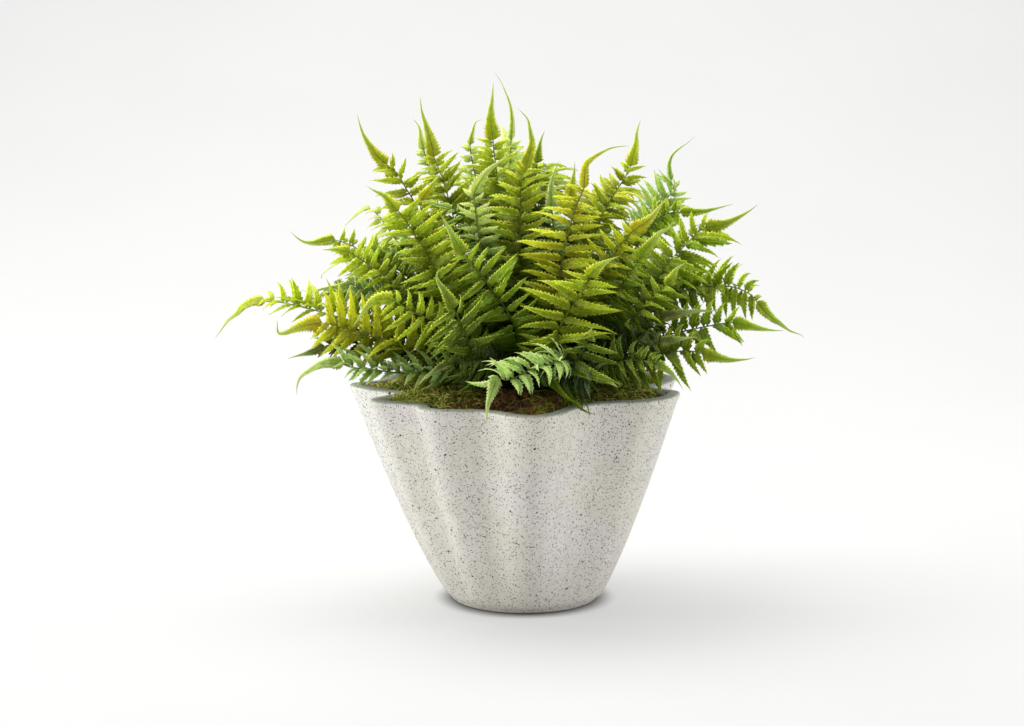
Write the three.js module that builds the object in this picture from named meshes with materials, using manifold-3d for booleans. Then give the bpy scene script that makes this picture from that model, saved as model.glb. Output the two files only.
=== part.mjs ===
// Potted leather fern: a fluted, speckled stone-finish planter holding a growing block,
// a ring of moss and a dome of once-divided fronds. Millimetres, +Z up,
// origin at the centre of the planter's base, on the surface it stands on; -Y is the front.
import * as THREE from 'three';
import * as BufferGeometryUtils from 'three/addons/utils/BufferGeometryUtils.js';
import Module from 'manifold-3d';

// ---- driving dimensions (mm) ----
const POT_HEIGHT = 200;        // rim above the surface
const BASE_RADIUS = 69;        // round base, where the flutes have faded out
const BASE_EDGE = 5;           // rounding of the base edge
const FLARE_POWER = 0.80;      // slightly convex flaring side
const WALL = 11;               // wall thickness, square to the wall
const FLOOR = 12;              // thickness of the planter's floor
const POT_SEGMENTS = 64;       // stations round the fluted wall
const GAP = 0.4;               // clearance between pieces that rest on each other
const BLOCK_TOP = 190;         // top of the growing block
const MOSS_OPENING = 69;       // radius of the moss ring's opening round the stems
const MOSS_EDGE_TOP = 195.5;   // moss height at the wall
const MOSS_CREST = 203.5;      // moss height at its crest
const HOLE_RADIUS = 3.1;       // planting hole of each stem, across corners
const STEM_FOOT = 178;         // depth the stems are pushed to
const STEM_WIDTH = 2.4;        // bare stem
const RIB_WIDTH = 1.8;         // midrib between the leaflets
const BLADE = 1.0;             // thickness of stem and blade
const LEAFLET_ROOT = 5.6;      // width of a leaflet where it joins the midrib
const BEND_STEP = 26;          // longest straight stretch of a stem

// Rim outline: [angle from +X in degrees, radius]; angles run once round from 175 degrees.
const RIM = [[175,164],[187,146],[199,124],[204.5,141],[210.5,161],[220,150],[228,144],[233,155],[238,159],
  [247.5,151.5],[253.7,146],[259,150],[266.5,165],[272,170],[279,161],[285,143],[295,121],[303,118],[311,123],
  [324,141],[335.5,147],[346.5,146],[357,121],[369,136],[381.7,154],[396,156],[408,136],[420,122],[432,140],
  [444,158],[456,152],[468,128],[478,122],[490,142],[502,155],[514,148],[524,140]];

// Foliage tints, from golden young growth to shaded old growth.
const TINTS = { lime: 0x8fae3c, gold: 0xa2a640, olive: 0x82973c, mid: 0x5f8c3a, deep: 0x3c6c34, blue: 0x55886a, pale: 0x9dc084, mint: 0x7fb27a, shade: 0x48603a };

// Fronds. stem: points from the foot to the tip. leafFrom: the stem point where the long end leaf
// begins. face: direction the end leaf's upper side looks. leaflets: [side, distance up the stem, x, y, z],
// the last three being the leaflet's midline from stem to tip.
const FRONDS = [
  { name: 'frond_left_01', tint: 'lime', leafFrom: 14, leafWidth: 12, face: [0.006, -0.577, 0.817],
    stem: [[-46.8,-12.6,178],[-46.8,-12.6,186],[-46.8,-12.6,194],[-47.9,-12.9,203],[-62.8,-16.6,224.2],[-87.4,-23,240.6],[-116.8,-30.2,252.9],[-145.7,-36.5,262.1],[-169,-40,268.9],[-177.9,-40.7,271.8],[-190.4,-41.8,275.5],[-202.9,-42.8,278.8],[-216.3,-43.9,282.1],[-227.9,-44.9,283.6],[-234.1,-45.4,283.7],[-244.9,-46.2,282.4],[-253,-46.9,278.9],[-258.4,-47.5,273.5],[-267.4,-48.5,266.4],[-274.7,-49.4,256.5],[-279.2,-50,251.1]],
    leaflets: [[-1,168,-2.7,9.2,26.3],[1,171.7,-14,-23.3,-11.7],[-1,178.5,-2.4,3.9,26.2],[1,182.2,-14.8,-20.3,-8.8],[-1,189,-7.2,14.6,21.2],[1,192.7,-15.1,-18.2,-5],[-1,199.5,1,14,22.7],[1,203.2,-16,-18.7,-5.6],[-1,210,-7.3,12.7,18.2],[1,213.7,-16.1,-16.6,-5.6],[-1,220.5,-6.1,8.8,15.4],[1,224.2,-11.5,-12.8,-4.3],[-1,231,-4.9,10.8,7.7],[1,234.7,-8,-11.4,-3.2]] },
  { name: 'frond_left_02', tint: 'gold', leafFrom: 16, leafWidth: 13.8, face: [0.036, -0.99, 0.138],
    stem: [[-39,-30,178],[-39,-30,186],[-39,-30,194],[-40,-30.8,203],[-55.2,-45.8,222],[-79.8,-68.1,233.1],[-102.2,-80,242.7],[-111,-80.4,248.1],[-119.8,-80.8,252.6],[-128.7,-81.1,254.5],[-137.5,-81.4,257.2],[-146.3,-81.8,259.9],[-154.2,-82.1,262.2],[-161.2,-82.4,264.9],[-168.3,-82.6,266.7],[-174.4,-82.9,268.6],[-179.7,-83.1,269],[-194.7,-83.6,267.3],[-203.6,-84,264.2],[-212.5,-84.3,260.3],[-217.8,-84.5,259.9],[-219,-84.7,263],[-218.9,-85,272]],
    leaflets: [[-1,129.8,2.9,4.5,30.1],[1,133.4,-20,-20.4,-10.5],[-1,140.3,-7.8,4.4,30],[1,143.9,-21.2,-3.2,-21.7],[-1,150.8,-1.8,10.4,30.8],[1,154.4,-23.8,-3,-20],[-1,161.3,-1.8,5,33.8],[1,164.9,-23.2,-3.1,-21],[-1,171.8,-1.6,5,33.5],[1,175.4,-21.5,-2.8,-19.2],[-1,182.3,-6.6,4,27.3],[1,185.9,-20.2,-2.5,-16.8],[-1,192.8,-4.6,3.8,24],[1,196.4,-11.9,3.5,-13.2]] },
  { name: 'frond_left_03', tint: 'shade', leafFrom: 9, leafWidth: 10.1, face: [-0.126, -0.927, 0.354],
    stem: [[-52.4,-3.6,178],[-52.4,-3.6,186],[-52.4,-3.6,194],[-53.6,-3.7,203],[-73.6,-5.6,222.9],[-105.3,-8.5,234.4],[-133,-10,239.2],[-151.4,-10,241],[-169.8,-10,241],[-183.7,-10,237.8],[-192.9,-10,233.6],[-202.2,-10,230.8],[-211.4,-10,228.5],[-218.8,-10,226.2]],
    leaflets: [[-1,97.7,-13.6,10.6,13.9],[1,101.4,-16.7,-5.2,-10.2],[-1,108.2,-13.9,6.9,14.6],[1,111.9,-16.3,-11.4,-9.8],[-1,118.7,-14.2,11.1,14.6],[1,122.4,-17.6,-9.3,-10.4],[-1,129.2,-15.2,7.1,15.2],[1,132.9,-17.4,-8.4,-12.2],[-1,139.7,-14.5,7,16.2],[1,143.4,-17.2,-5.8,-12.1],[-1,150.2,-15.4,1.6,10.7],[1,153.9,-13.5,-6.6,-9.7],[-1,160.7,-13.7,-0.3,5.6],[1,164.4,-8.1,1.2,-9.8]] },
  { name: 'frond_left_04', tint: 'mid', leafFrom: 10, leafWidth: 11, face: [0.24, -0.749, 0.617],
    stem: [[-36.7,-39.2,178],[-36.7,-39.2,186],[-36.7,-39.2,194],[-37.6,-40.1,203],[-56.8,-63.6,221.1],[-84.3,-85,224.6],[-110.8,-87.9,225],[-132.8,-90.4,228.1],[-145.9,-91.8,229.6],[-154.6,-92.8,231.1],[-160.7,-93.5,233.5],[-175.6,-95.2,234.6],[-183.5,-96.1,232.1],[-190.5,-97,228.2],[-196.7,-97.8,223.9],[-199.3,-98.3,220.4],[-201.1,-99,214.2],[-201.1,-100,205.5]],
    leaflets: [[-1,104.9,-13.3,2.7,18.4],[1,108.6,-9,-18.4,-7.8],[-1,115.4,-14.1,-1.7,18.8],[1,119.1,-10.6,-19.1,-6.6],[-1,125.9,-14.2,9.1,18.5],[1,129.6,-11.7,-17.2,-5.4],[-1,136.4,-13.1,13,16.6],[1,140.1,-10.8,-21.2,-5.9],[-1,146.9,-14,-9.3,18.1],[1,150.6,-11.1,-17.7,-4.4],[-1,157.4,-16.8,4.2,16],[1,161.1,-9.7,-12,-5.5],[-1,167.9,-13.3,-0.7,18.4],[1,171.6,-8.9,-7.3,-0.6]] },
  { name: 'frond_left_05', tint: 'mid', leafFrom: 12, leafWidth: 10.1, face: [-0.018, -0.877, 0.479],
    stem: [[-36.2,2.8,178],[-36.2,2.8,186],[-36.2,2.8,194],[-37.4,3,203],[-51.2,4.7,230.9],[-71.7,7.3,259.1],[-95.9,10.3,285.1],[-120.7,13,306.2],[-143.1,15,319.8],[-152.3,15.6,323.9],[-158.8,16.1,328.1],[-166.2,16.6,330.8],[-175.5,17.2,333.5],[-197.9,18.6,330.6],[-205.3,19,332],[-211.8,19.5,336.1],[-217.3,20,341.6]],
    leaflets: [[-1,162.1,3.4,12,11.8],[1,165.2,-11.1,-1.7,-11.7],[-1,171.1,3.5,14.7,11.8],[1,174.2,-11.3,-11.6,-10.6],[-1,180.1,5.9,14.9,11.4],[1,183.2,-11.1,-8,-12],[-1,189.1,3.2,12.2,13.1],[1,192.2,-10.6,-12.3,-12.4],[-1,198.1,5.9,11.8,11.1],[1,201.2,-12.4,-8.5,-9.4],[-1,207.1,3,5.5,12.9],[1,210.2,-9.7,-5.4,-9.8],[-1,216.1,2.7,1.7,11.3],[1,219.2,-4.8,-1.4,-9.7]] },
  { name: 'frond_left_06', tint: 'pale', leafFrom: 10, leafWidth: 8.3, face: [-0.319, -0.417, 0.851],
    stem: [[-37.1,18.9,178],[-37.1,18.9,186],[-37.1,18.9,194],[-38.2,19.2,203],[-50.6,23.6,229.5],[-69.1,30.4,256.7],[-91.2,38.1,281.3],[-114.3,45.2,300.1],[-136,50,309.8],[-153.1,52.7,313.3],[-167.4,55,312.1],[-177.1,56.6,307.2],[-184.8,58,302.3],[-191.6,59.4,296.5],[-192.2,60,292.6]],
    leaflets: [[-1,150.2,4,12.5,7.2],[1,153.4,-6.5,-12.9,-6.3],[-1,159.2,3.6,12.3,9.6],[1,162.4,-5.9,-12.5,-6.4],[-1,168.2,1.6,15.2,5.1],[1,171.4,-5.1,-12.9,-7.2],[-1,177.2,1.8,13.3,10.8],[1,180.4,-5.3,-14,-7.9],[-1,186.2,-0.2,14.7,7.1],[1,189.4,-5.1,-13.4,-7.5],[-1,195.2,-3.2,11.6,4.9],[1,198.4,-3.1,-10.3,-6.2],[-1,204.2,-3.2,8,2.8],[1,207.4,-1.5,-7.5,-4.7]] },
  { name: 'frond_left_07', tint: 'lime', leafFrom: 14, leafWidth: 11, face: [0.024, -0.979, 0.204],
    stem: [[-36.7,-11,178],[-36.7,-11,186],[-36.7,-11,194],[-37.8,-11.4,203],[-51.4,-16.8,227.8],[-72.2,-25.1,251.5],[-94.5,-32.5,272.5],[-113,-35,289.3],[-123.8,-34.1,299.6],[-131,-33.5,307.3],[-134.6,-33.2,310.9],[-140.1,-32.8,314.5],[-143.7,-32.5,317.7],[-150.9,-32,322.1],[-158.1,-31.5,326.2],[-167.2,-31,328.9],[-176.3,-30.4,329.3],[-183.5,-30,328.8]],
    leaflets: [[-1,142.7,5.8,15.5,11.7],[1,145.8,-15,-15.1,-7.3],[-1,151.7,6.4,14.3,12],[1,154.8,-15.7,-13.6,-7.3],[-1,160.7,7.1,14.1,12.2],[1,163.8,-16.3,-11.2,-7.4],[-1,169.7,7.4,16.9,12],[1,172.8,-16,-13.2,-6.7],[-1,178.7,4.4,8.5,14.8],[1,181.8,-18.1,-1.5,-10.2],[-1,187.7,5.2,2.2,15.2],[1,190.8,-17.8,-2,-13.2],[-1,196.7,6.2,1.9,13.1],[1,199.8,-19.3,5,-8.3]] },
  { name: 'frond_left_08', tint: 'deep', leafFrom: 9, leafWidth: 8.3, face: [0.002, -0.536, 0.844],
    stem: [[-26.8,1.6,178],[-26.8,1.6,186],[-26.8,1.6,194],[-28,1.5,203],[-40.5,-0.1,233.7],[-57.4,-2.7,266.5],[-76.7,-3.6,295.1],[-96.2,0,313],[-112,5.7,321.7],[-124.2,9.5,324.1],[-130.8,11.6,325.7],[-140.2,15,331]],
    leaflets: [[-1,138.3,4.5,12,4.4],[1,141.4,-10.4,-9.2,-6.3],[-1,147.3,4.1,13.3,5.4],[1,150.4,-9.7,-9.7,-7.7],[-1,156.3,4.3,12.7,5],[1,159.4,-9.5,-10,-8.3],[-1,165.3,2,12.7,5.9],[1,168.4,-9.1,-9.8,-8.4],[-1,174.3,0.3,9.9,4.8],[1,177.4,-7.1,-7.5,-6.3],[-1,183.3,-1.7,6.9,3],[1,186.4,-4.6,-5.2,-4.7]] },
  { name: 'frond_left_09', tint: 'blue', leafFrom: 10, leafWidth: 9.2, face: [-0.078, -0.976, 0.205],
    stem: [[-43,-3.9,178],[-43,-3.9,186],[-43,-3.9,194],[-44.2,-3.9,203],[-62,-3.2,234.1],[-88.8,-2,262.4],[-114.8,0,279.7],[-124.1,1,283.3],[-138,2.5,287.7],[-151.9,3.9,290.3],[-159.3,4.8,294],[-170.5,5.9,291.5],[-184.5,7.3,289.5],[-199.4,8.9,286.5],[-210.6,10,288.7]],
    leaflets: [[-1,116,-3.3,11.1,14.4],[1,119.4,-19.6,-1,-6.5],[-1,125.5,-5.5,9.1,14.6],[1,128.9,-18.9,-5.3,-8.1],[-1,135,-4.9,4.7,15.9],[1,138.4,-19,-5.4,-9.3],[-1,144.5,-9.1,14.1,11.1],[1,147.9,-18.6,-1.8,-12.3],[-1,154,-7.3,5.6,14.2],[1,157.4,-13.8,-0.1,-14.3],[-1,163.5,-9.1,0.5,13.4],[1,166.9,-12.6,-1.6,-11.1],[-1,173,-2.9,3.3,13.8],[1,176.4,-7.4,-1.6,-9.7]] },
  { name: 'frond_left_10', tint: 'pale', leafFrom: 11, leafWidth: 10.1, face: [0.065, -0.45, 0.89],
    stem: [[-29.3,24.2,178],[-29.3,24.2,186],[-29.3,24.2,194],[-30.3,24.8,203],[-42.6,32.3,229.9],[-61.1,43.7,256.3],[-82.1,56.3,281.3],[-102.5,65.5,304.1],[-118.5,72.3,323.5],[-130.1,78,339.4],[-139.5,82,351.6],[-147.2,84,357.1],[-154.9,85.6,355.1],[-163.8,87.8,348.2],[-171.7,90,340.4]],
    leaflets: [[-1,183.2,8,14.5,6.7],[1,186.7,-12.7,-12.3,-3],[-1,193.2,9.9,15.8,6.1],[1,196.6,-14,-13.2,-3.2],[-1,203.1,8.2,15.2,7.1],[1,206.6,-12.3,-12.1,-3.3],[-1,213.1,5.2,12.8,7.1],[1,216.6,-9.7,-8.5,-2],[-1,223.1,0.4,7.5,4.9],[1,226.6,-5.4,-6.5,-3.3]] },
  { name: 'frond_upper_01', tint: 'olive', leafFrom: 15, leafWidth: 11, face: [0.081, -0.917, 0.39],
    stem: [[-23.5,-7.3,178],[-23.5,-7.3,186],[-23.5,-7.3,194],[-24.7,-7.7,203],[-35.2,-11.7,230.9],[-48.2,-17.5,261.1],[-62.1,-23,291.2],[-75.2,-26.2,318.7],[-85.9,-25,341],[-96.9,-20.1,364.2],[-99.6,-18.8,370],[-103.2,-17.5,376.3],[-108.7,-15.5,384.7],[-113.3,-13.6,393.7],[-117.9,-12.3,399],[-125.2,-10.5,404.4],[-133.4,-8.5,411.5],[-140.8,-6.1,421.4],[-146.7,-3.9,431.2],[-149.9,-2.1,440.2],[-152.7,0,451]],
    leaflets: [[-1,191.9,16,13.5,10.2],[1,195.2,-32.2,-5.1,-7.1],[-1,201.4,16.7,11.2,10.5],[1,204.7,-29.1,5.8,-16.6],[-1,210.9,13.2,13.2,10.2],[1,214.2,-31.6,-1.4,-9.3],[-1,220.4,11.2,15.5,8.2],[1,223.7,-27,-0.6,-4],[-1,229.9,10.9,11.2,9.3],[1,233.2,-24.3,0.2,1.4],[-1,239.4,4.8,5.5,13.7],[1,242.7,-18.1,-1.8,1.1],[-1,248.9,-0.2,2.4,12.7],[1,252.2,-13.4,1.8,-3.7]] },
  { name: 'frond_upper_02', tint: 'lime', leafFrom: 13, leafWidth: 11, face: [0.041, -0.999, 0.035],
    stem: [[-23.4,-26.2,178],[-23.4,-26.2,186],[-23.4,-26.2,194],[-24.3,-27,203],[-36.5,-43.1,235.1],[-53.7,-64.4,266.2],[-68.4,-75,293],[-78,-75,313.5],[-80.7,-75,317.1],[-85.9,-75,328.2],[-93.3,-75,340.2],[-100.8,-75,351.7],[-106.9,-75,360.9],[-112.1,-75,367.6],[-117.4,-75,373.3],[-124.4,-75,381.2],[-132.3,-75,385.2],[-140.1,-75,389.6]],
    leaflets: [[-1,157.8,25.4,3,20.1],[1,161.3,-27.1,-5.2,-8.4],[-1,167.8,26.5,3,20],[1,171.3,-26.1,0.3,1.9],[-1,177.8,26.8,3,20.2],[1,181.3,-24.4,5.4,-2.5],[-1,187.8,27.3,2.7,18.2],[1,191.3,-25.6,-4.6,-3.4],[-1,197.8,20.6,2.8,18.8],[1,201.3,-24.3,0.9,-2.4],[-1,207.8,17.5,2.4,16.1],[1,211.3,-21.7,-0.2,-1.6],[-1,217.8,13,2.1,14.3],[1,221.3,-16.1,-0.2,-6.2]] },
  { name: 'frond_upper_03', tint: 'lime', leafFrom: 12, leafWidth: 12, face: [-0.013, -0.991, 0.136],
    stem: [[-18.8,6.7,178],[-18.8,6.7,186],[-18.8,6.7,194],[-20,6.9,203],[-30,8.3,233.6],[-40.5,9.4,267.7],[-50.7,10.7,302.1],[-59.8,12.4,333.8],[-67,15,359.7],[-72.5,17.8,379.8],[-78.1,20.2,396.2],[-80.8,21.1,402.6],[-83.6,22.2,409.9],[-84.5,23.1,416.3],[-87.3,24.6,427.3],[-91,26.3,439.1],[-94.7,28,451],[-96.5,30,465.6]],
    leaflets: [[-1,179.7,20,6.4,21.9],[1,183,-23.1,1.2,0.3],[-1,189.2,20.6,0.2,23.3],[1,192.5,-23.6,0.3,1.9],[-1,198.7,20.1,9.5,21.3],[1,202,-24.2,0.1,0.3],[-1,208.2,17.7,3.1,21.1],[1,211.5,-23.6,1,-1.3],[-1,217.7,15.5,2.8,19],[1,221,-19.9,-0.1,-1],[-1,227.2,14.2,2.3,15.5],[1,230.5,-15.5,1.6,-0.1],[-1,236.7,13,1.5,9.8],[1,240,-12,0.2,1.4]] },
  { name: 'frond_upper_04', tint: 'pale', leafFrom: 11, leafWidth: 8.3, face: [0.226, -0.947, 0.227],
    stem: [[-21.6,17.3,178],[-21.6,17.3,186],[-21.6,17.3,194],[-22.5,18,203],[-30.5,25.1,228.6],[-40.7,32.8,256.3],[-52,40.4,284.5],[-62.9,48.4,311.8],[-72.5,55.3,336.8],[-79.5,60,358],[-89,65.7,390.7],[-94.7,69.7,414],[-97.5,71.3,423.3],[-99.4,73.3,435.4],[-105.6,75,443.4]],
    leaflets: [[-1,191.7,11.2,11.8,4.3],[1,195.1,-12.1,2.5,-1.2],[-1,201.2,11.2,10.6,2.5],[1,204.6,-12.4,2.6,-0.9],[-1,210.7,12.1,12.3,3.9],[1,214.1,-13,-4.5,-1.1],[-1,220.2,10.9,11,3.3],[1,223.6,-12.5,-4.8,-1.2],[-1,229.7,10.6,11.9,5.3],[1,233.1,-12.4,2.7,-0],[-1,239.2,7.4,10.4,6.3],[1,242.6,-9.4,4.8,1.2],[-1,248.7,4.7,6.4,3.8],[1,252.1,-6.7,5.9,1.4]] },
  { name: 'frond_upper_05', tint: 'lime', leafFrom: 13, leafWidth: 12.9, face: [0.091, -0.983, 0.162],
    stem: [[-10.5,2,178],[-10.5,2,186],[-10.5,2,194],[-11.7,1.7,203],[-17.5,-0.1,230.9],[-19.1,-1.7,262.6],[-18.7,-2.5,295.1],[-18.3,-2.1,324.9],[-19.9,0,348.9],[-23.5,3.5,371.6],[-24.9,6.3,389.7],[-26.3,8.3,402.4],[-28.1,10.2,415.1],[-29,11.9,426],[-30.9,14,439.6],[-30.9,16.1,453.2],[-29.9,17.5,462.3],[-28.6,20,478.6]],
    leaflets: [[-1,187.8,24.3,11.9,10.6],[1,191.2,-29.1,0.2,1.3],[-1,197.3,25.3,1.7,11.3],[1,200.7,-29.3,0.7,4.9],[-1,206.8,22.5,2.2,14.8],[1,210.2,-28.5,8.5,4.9],[-1,216.3,21.9,-1,12.6],[1,219.7,-26.7,1.1,7.4],[-1,225.8,18.3,1.8,12.3],[1,229.2,-23.5,1,6.6],[-1,235.3,15,5.1,9.4],[1,238.7,-19,0.7,4.8],[-1,244.8,12.6,6.8,5.7],[1,248.2,-14.7,0.6,4]] },
  { name: 'frond_upper_06', tint: 'pale', leafFrom: 11, leafWidth: 8.3, face: [0.243, -0.954, 0.174],
    stem: [[-12.1,16.7,178],[-12.1,16.7,186],[-12.1,16.7,194],[-12.8,17.7,203],[-17.7,25.2,229.4],[-22.8,33.3,258.7],[-27.9,41.4,289],[-32.9,48.9,318.5],[-37.6,55.3,345.2],[-41.8,60,367.5],[-47.5,65.3,395.4],[-51.2,69.6,418.7],[-48.4,72.3,432.7],[-45.6,73.7,440.1],[-39,75,442.4]],
    leaflets: [[-1,187.8,11.9,11.8,3.2],[1,191.1,-12,2.5,-0.9],[-1,197.3,12.4,12,2.9],[1,200.6,-11.9,2.6,-0.2],[-1,206.8,12.5,12.1,2.9],[1,210.1,-14.2,3.1,-0.2],[-1,216.3,13.6,13.3,3.4],[1,219.6,-14.2,3.2,0.3],[-1,225.8,10.2,11.5,5.1],[1,229.1,-11.9,2.7,0.3],[-1,235.3,7.5,9.6,5.4],[1,238.6,-10.1,4.1,1],[-1,244.8,5.7,6.7,3.3],[1,248.1,-5.5,6.3,2.9]] },
  { name: 'frond_upper_07', tint: 'pale', leafFrom: 11, leafWidth: 9.2, face: [-0.064, -0.99, 0.126],
    stem: [[-2.6,16.8,178],[-2.6,16.8,186],[-2.6,16.8,194],[-3.1,17.9,203],[-7.3,25.4,234.8],[-10.6,30.7,270.7],[-12.9,34.4,307.4],[-14.2,37.3,341.3],[-14.4,40,368.9],[-13.9,43.2,394.8],[-13,44.8,407.8],[-12.5,46.8,424.4],[-11.6,48,433.7],[-11.6,49.3,444.7],[-13.5,50.9,457.7],[-18.1,52.5,469.7],[-22.8,53.9,479.8],[-28.4,55,487.2]],
    leaflets: [[-1,186.5,15.7,7,2.1],[1,189.8,-14.4,5.6,1.4],[-1,196,15.8,8.3,2.5],[1,199.3,-17.1,6,1.5],[-1,205.5,19.4,9.4,2.8],[1,208.8,-17,10.1,2.4],[-1,215,15.7,11.5,3.4],[1,218.3,-16.3,12.4,3],[-1,224.5,14.7,11.4,3.4],[1,227.8,-12.5,12.5,3.8],[-1,234,11.2,10,3.9],[1,237.3,-11.2,11.9,4.5],[-1,243.5,7.7,7.5,3.9],[1,246.8,-7.9,8.8,3.9]] },
  { name: 'frond_upper_08', tint: 'lime', leafFrom: 13, leafWidth: 12, face: [-0.17, -0.971, 0.166],
    stem: [[-2,-17.2,178],[-2,-17.2,186],[-2,-17.2,194],[-2.2,-18.3,203],[-3,-27.3,232.9],[-3.7,-34.9,266.5],[-4.2,-39.7,298.9],[-4.4,-40,325.2],[-4.4,-38,343.1],[-4.4,-37.2,351.1],[-3.5,-35.6,365.4],[-4,-34.2,377.9],[-2.6,-32.5,393.1],[0.1,-31.5,402],[6.4,-29.1,423.4],[4.6,-27.6,436.7],[2.8,-26.6,445.6],[-1.7,-25.8,451.4],[-7.1,-25,456.3]],
    leaflets: [[-1,161.7,24.8,1.7,11.4],[1,165.2,-33.6,1.4,9.6],[-1,171.7,22.1,13.7,11.9],[1,175.2,-33.9,9.6,6.5],[-1,181.7,18.4,19.1,8.8],[1,185.2,-34.4,0.9,6.1],[-1,191.7,22.7,-0.6,15],[1,195.2,-26.9,6.3,7.8],[-1,201.7,23.5,1.9,12.7],[1,205.2,-17.5,10.4,10.3],[-1,211.7,20.2,1.3,9],[1,215.2,-13.5,9.6,10.6],[-1,221.7,16.5,2.4,3.9],[1,225.2,-8.7,0.2,11]] },
  { name: 'frond_upper_09', tint: 'deep', leafFrom: 10, leafWidth: 10.1, face: [-0.067, -0.989, 0.132],
    stem: [[6.8,15.2,178],[6.8,15.2,186],[6.8,15.2,194],[6.8,16.4,203],[7.4,23.6,232.1],[7.2,31.8,264.8],[6.5,39.2,298.1],[6.9,46.1,328.9],[8.1,50,354.1],[10,52.9,377.4],[11.9,56,402.5],[13.7,57.6,414.6],[15.6,58.8,423.9],[19.4,60,433.2]],
    leaflets: [[-1,156.8,15.3,4.8,1.1],[-1,175.7,17.4,4.2,2],[1,179.1,-16.6,6.6,3.1],[-1,185.2,16.5,4.4,2],[1,188.6,-11,-2.5,6.1],[-1,194.7,18.2,3.8,1.8],[1,198.1,-19.1,-1.2,5.4],[-1,204.2,16.4,5.3,2.5],[1,207.6,-12.8,9,8.5],[-1,213.7,11.5,7.2,3.9],[1,217,-12.5,8.4,5.7],[-1,223.2,8.3,5.4,3.4],[1,226.5,-7.7,5.9,5.1]] },
  { name: 'frond_upper_10', tint: 'blue', leafFrom: 9, leafWidth: 12, face: [0.025, -0.991, 0.135],
    stem: [[13,-4,178],[13,-4,186],[13,-4,194],[14.1,-4.5,203],[21,-8.3,235.4],[24.5,-10.9,272.1],[25.7,-11.7,307.5],[25.9,-10,336],[25.8,-7.7,353.2],[24.9,-6.4,363.2],[24,-4.5,376.7],[24.9,-2.7,390.3],[27.7,-1.6,398.4],[32.2,0,409.3]],
    leaflets: [[-1,124.1,13.3,6.6,2.5],[1,127.5,-13.9,5.6,2.6],[-1,133.6,17,2.8,0.3],[1,137,-13.7,5.9,2.8],[-1,143.1,15.3,8,3],[1,146.5,-17.1,6.3,2.9],[-1,152.6,14.9,5.7,2.1],[1,156,-16.2,3.5,1.6],[-1,162.1,13,9.6,3.8],[1,165.5,-17.2,10.4,4.9],[-1,171.6,12.1,8.8,3.3],[1,175,-11.6,7.5,4.3],[-1,181.1,6.7,6.3,4.7],[1,184.5,-7.9,5.2,3.3]] },
  { name: 'frond_upper_11', tint: 'gold', leafFrom: 9, leafWidth: 11, face: [0.231, -0.947, 0.223],
    stem: [[15.5,8,178],[15.5,8,186],[15.5,8,194],[16.7,8.2,203],[27,9.6,236.3],[36.7,10.1,273.6],[43.6,11.4,309.4],[45.7,15,338.4],[44.8,19.7,359.3],[42.1,22.6,372],[44,25.3,383.9],[45.9,28,395.7],[46.8,30,404.9]],
    leaflets: [[-1,136.5,18.3,2.5,0.2],[1,139.8,-17.7,-1.8,21.5],[-1,146,20.1,4.5,2.1],[1,149.3,-20.9,8.2,17.8],[-1,155.5,21,6,2.8],[1,158.8,-22.1,-2.9,19.3],[-1,165,18.8,8.3,3.9],[1,168.3,-24.1,8.3,16.2],[-1,174.5,13.1,8.2,4.3],[1,177.8,-22.1,-3.2,14.7],[-1,184,12.9,8.9,6.4],[1,187.3,-20.2,3.5,9],[-1,193.5,6.2,7.3,6.2],[1,196.8,-14.8,1.3,8.6]] },
  { name: 'frond_centre_01', tint: 'gold', leafFrom: 14, leafWidth: 12.9, face: [-0.35, -0.917, 0.193],
    stem: [[10.3,-30,178],[10.3,-30,186],[10.3,-30,194],[10.6,-31.1,203],[15.5,-50.3,236.2],[22.1,-74.5,269.6],[28.1,-85,298.6],[31.6,-83.3,316.2],[33.3,-82.1,328.4],[36,-80.9,340.7],[39.5,-79.6,353.8],[42.6,-78.5,365.2],[45.6,-77.7,373.1],[50.9,-76.3,386.2],[51.8,-76.1,387.9],[52.6,-74.6,403.6],[54.4,-74,409.7],[59.6,-73.3,414.1],[65.8,-72.6,418],[74.6,-71.7,422.3],[83.4,-70.8,424],[92.3,-70,424.4]],
    leaflets: [[-1,161.1,35.9,0.2,1],[1,164.8,-34.7,9.2,2.9],[-1,171.6,37.5,0.4,2.5],[1,175.3,-39.2,1.1,7.1],[-1,182.1,35.4,0.8,5.5],[1,185.8,-32.4,8.5,5.6],[-1,192.6,28.2,5.7,3],[1,196.3,-33.7,1.8,12.2],[-1,203.1,24.5,3.7,0.1],[1,206.8,-29.4,4.6,5.9],[-1,213.6,17,-11.9,-1.9],[1,217.3,-22.1,8.4,4.3],[-1,224.1,13.1,-8.9,-2.1],[1,227.8,-14.9,6.7,5.2]] },
  { name: 'frond_upper_12', tint: 'lime', leafFrom: 13, leafWidth: 11, face: [-0.317, -0.914, 0.254],
    stem: [[22.4,1.5,178],[22.4,1.5,186],[22.4,1.5,194],[23.6,1.5,203],[32.8,1.8,232.2],[41.8,1.7,264.9],[50.9,1.8,297.8],[60,2.7,327.7],[69.3,5,351.2],[79.4,8.4,372.1],[83.6,9.5,378.5],[89.1,11,386.7],[94.2,12.4,394.8],[97.4,13.5,402.1],[102.4,16.4,421.2],[103.4,18.2,433],[107.1,20,444.9]],
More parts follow.
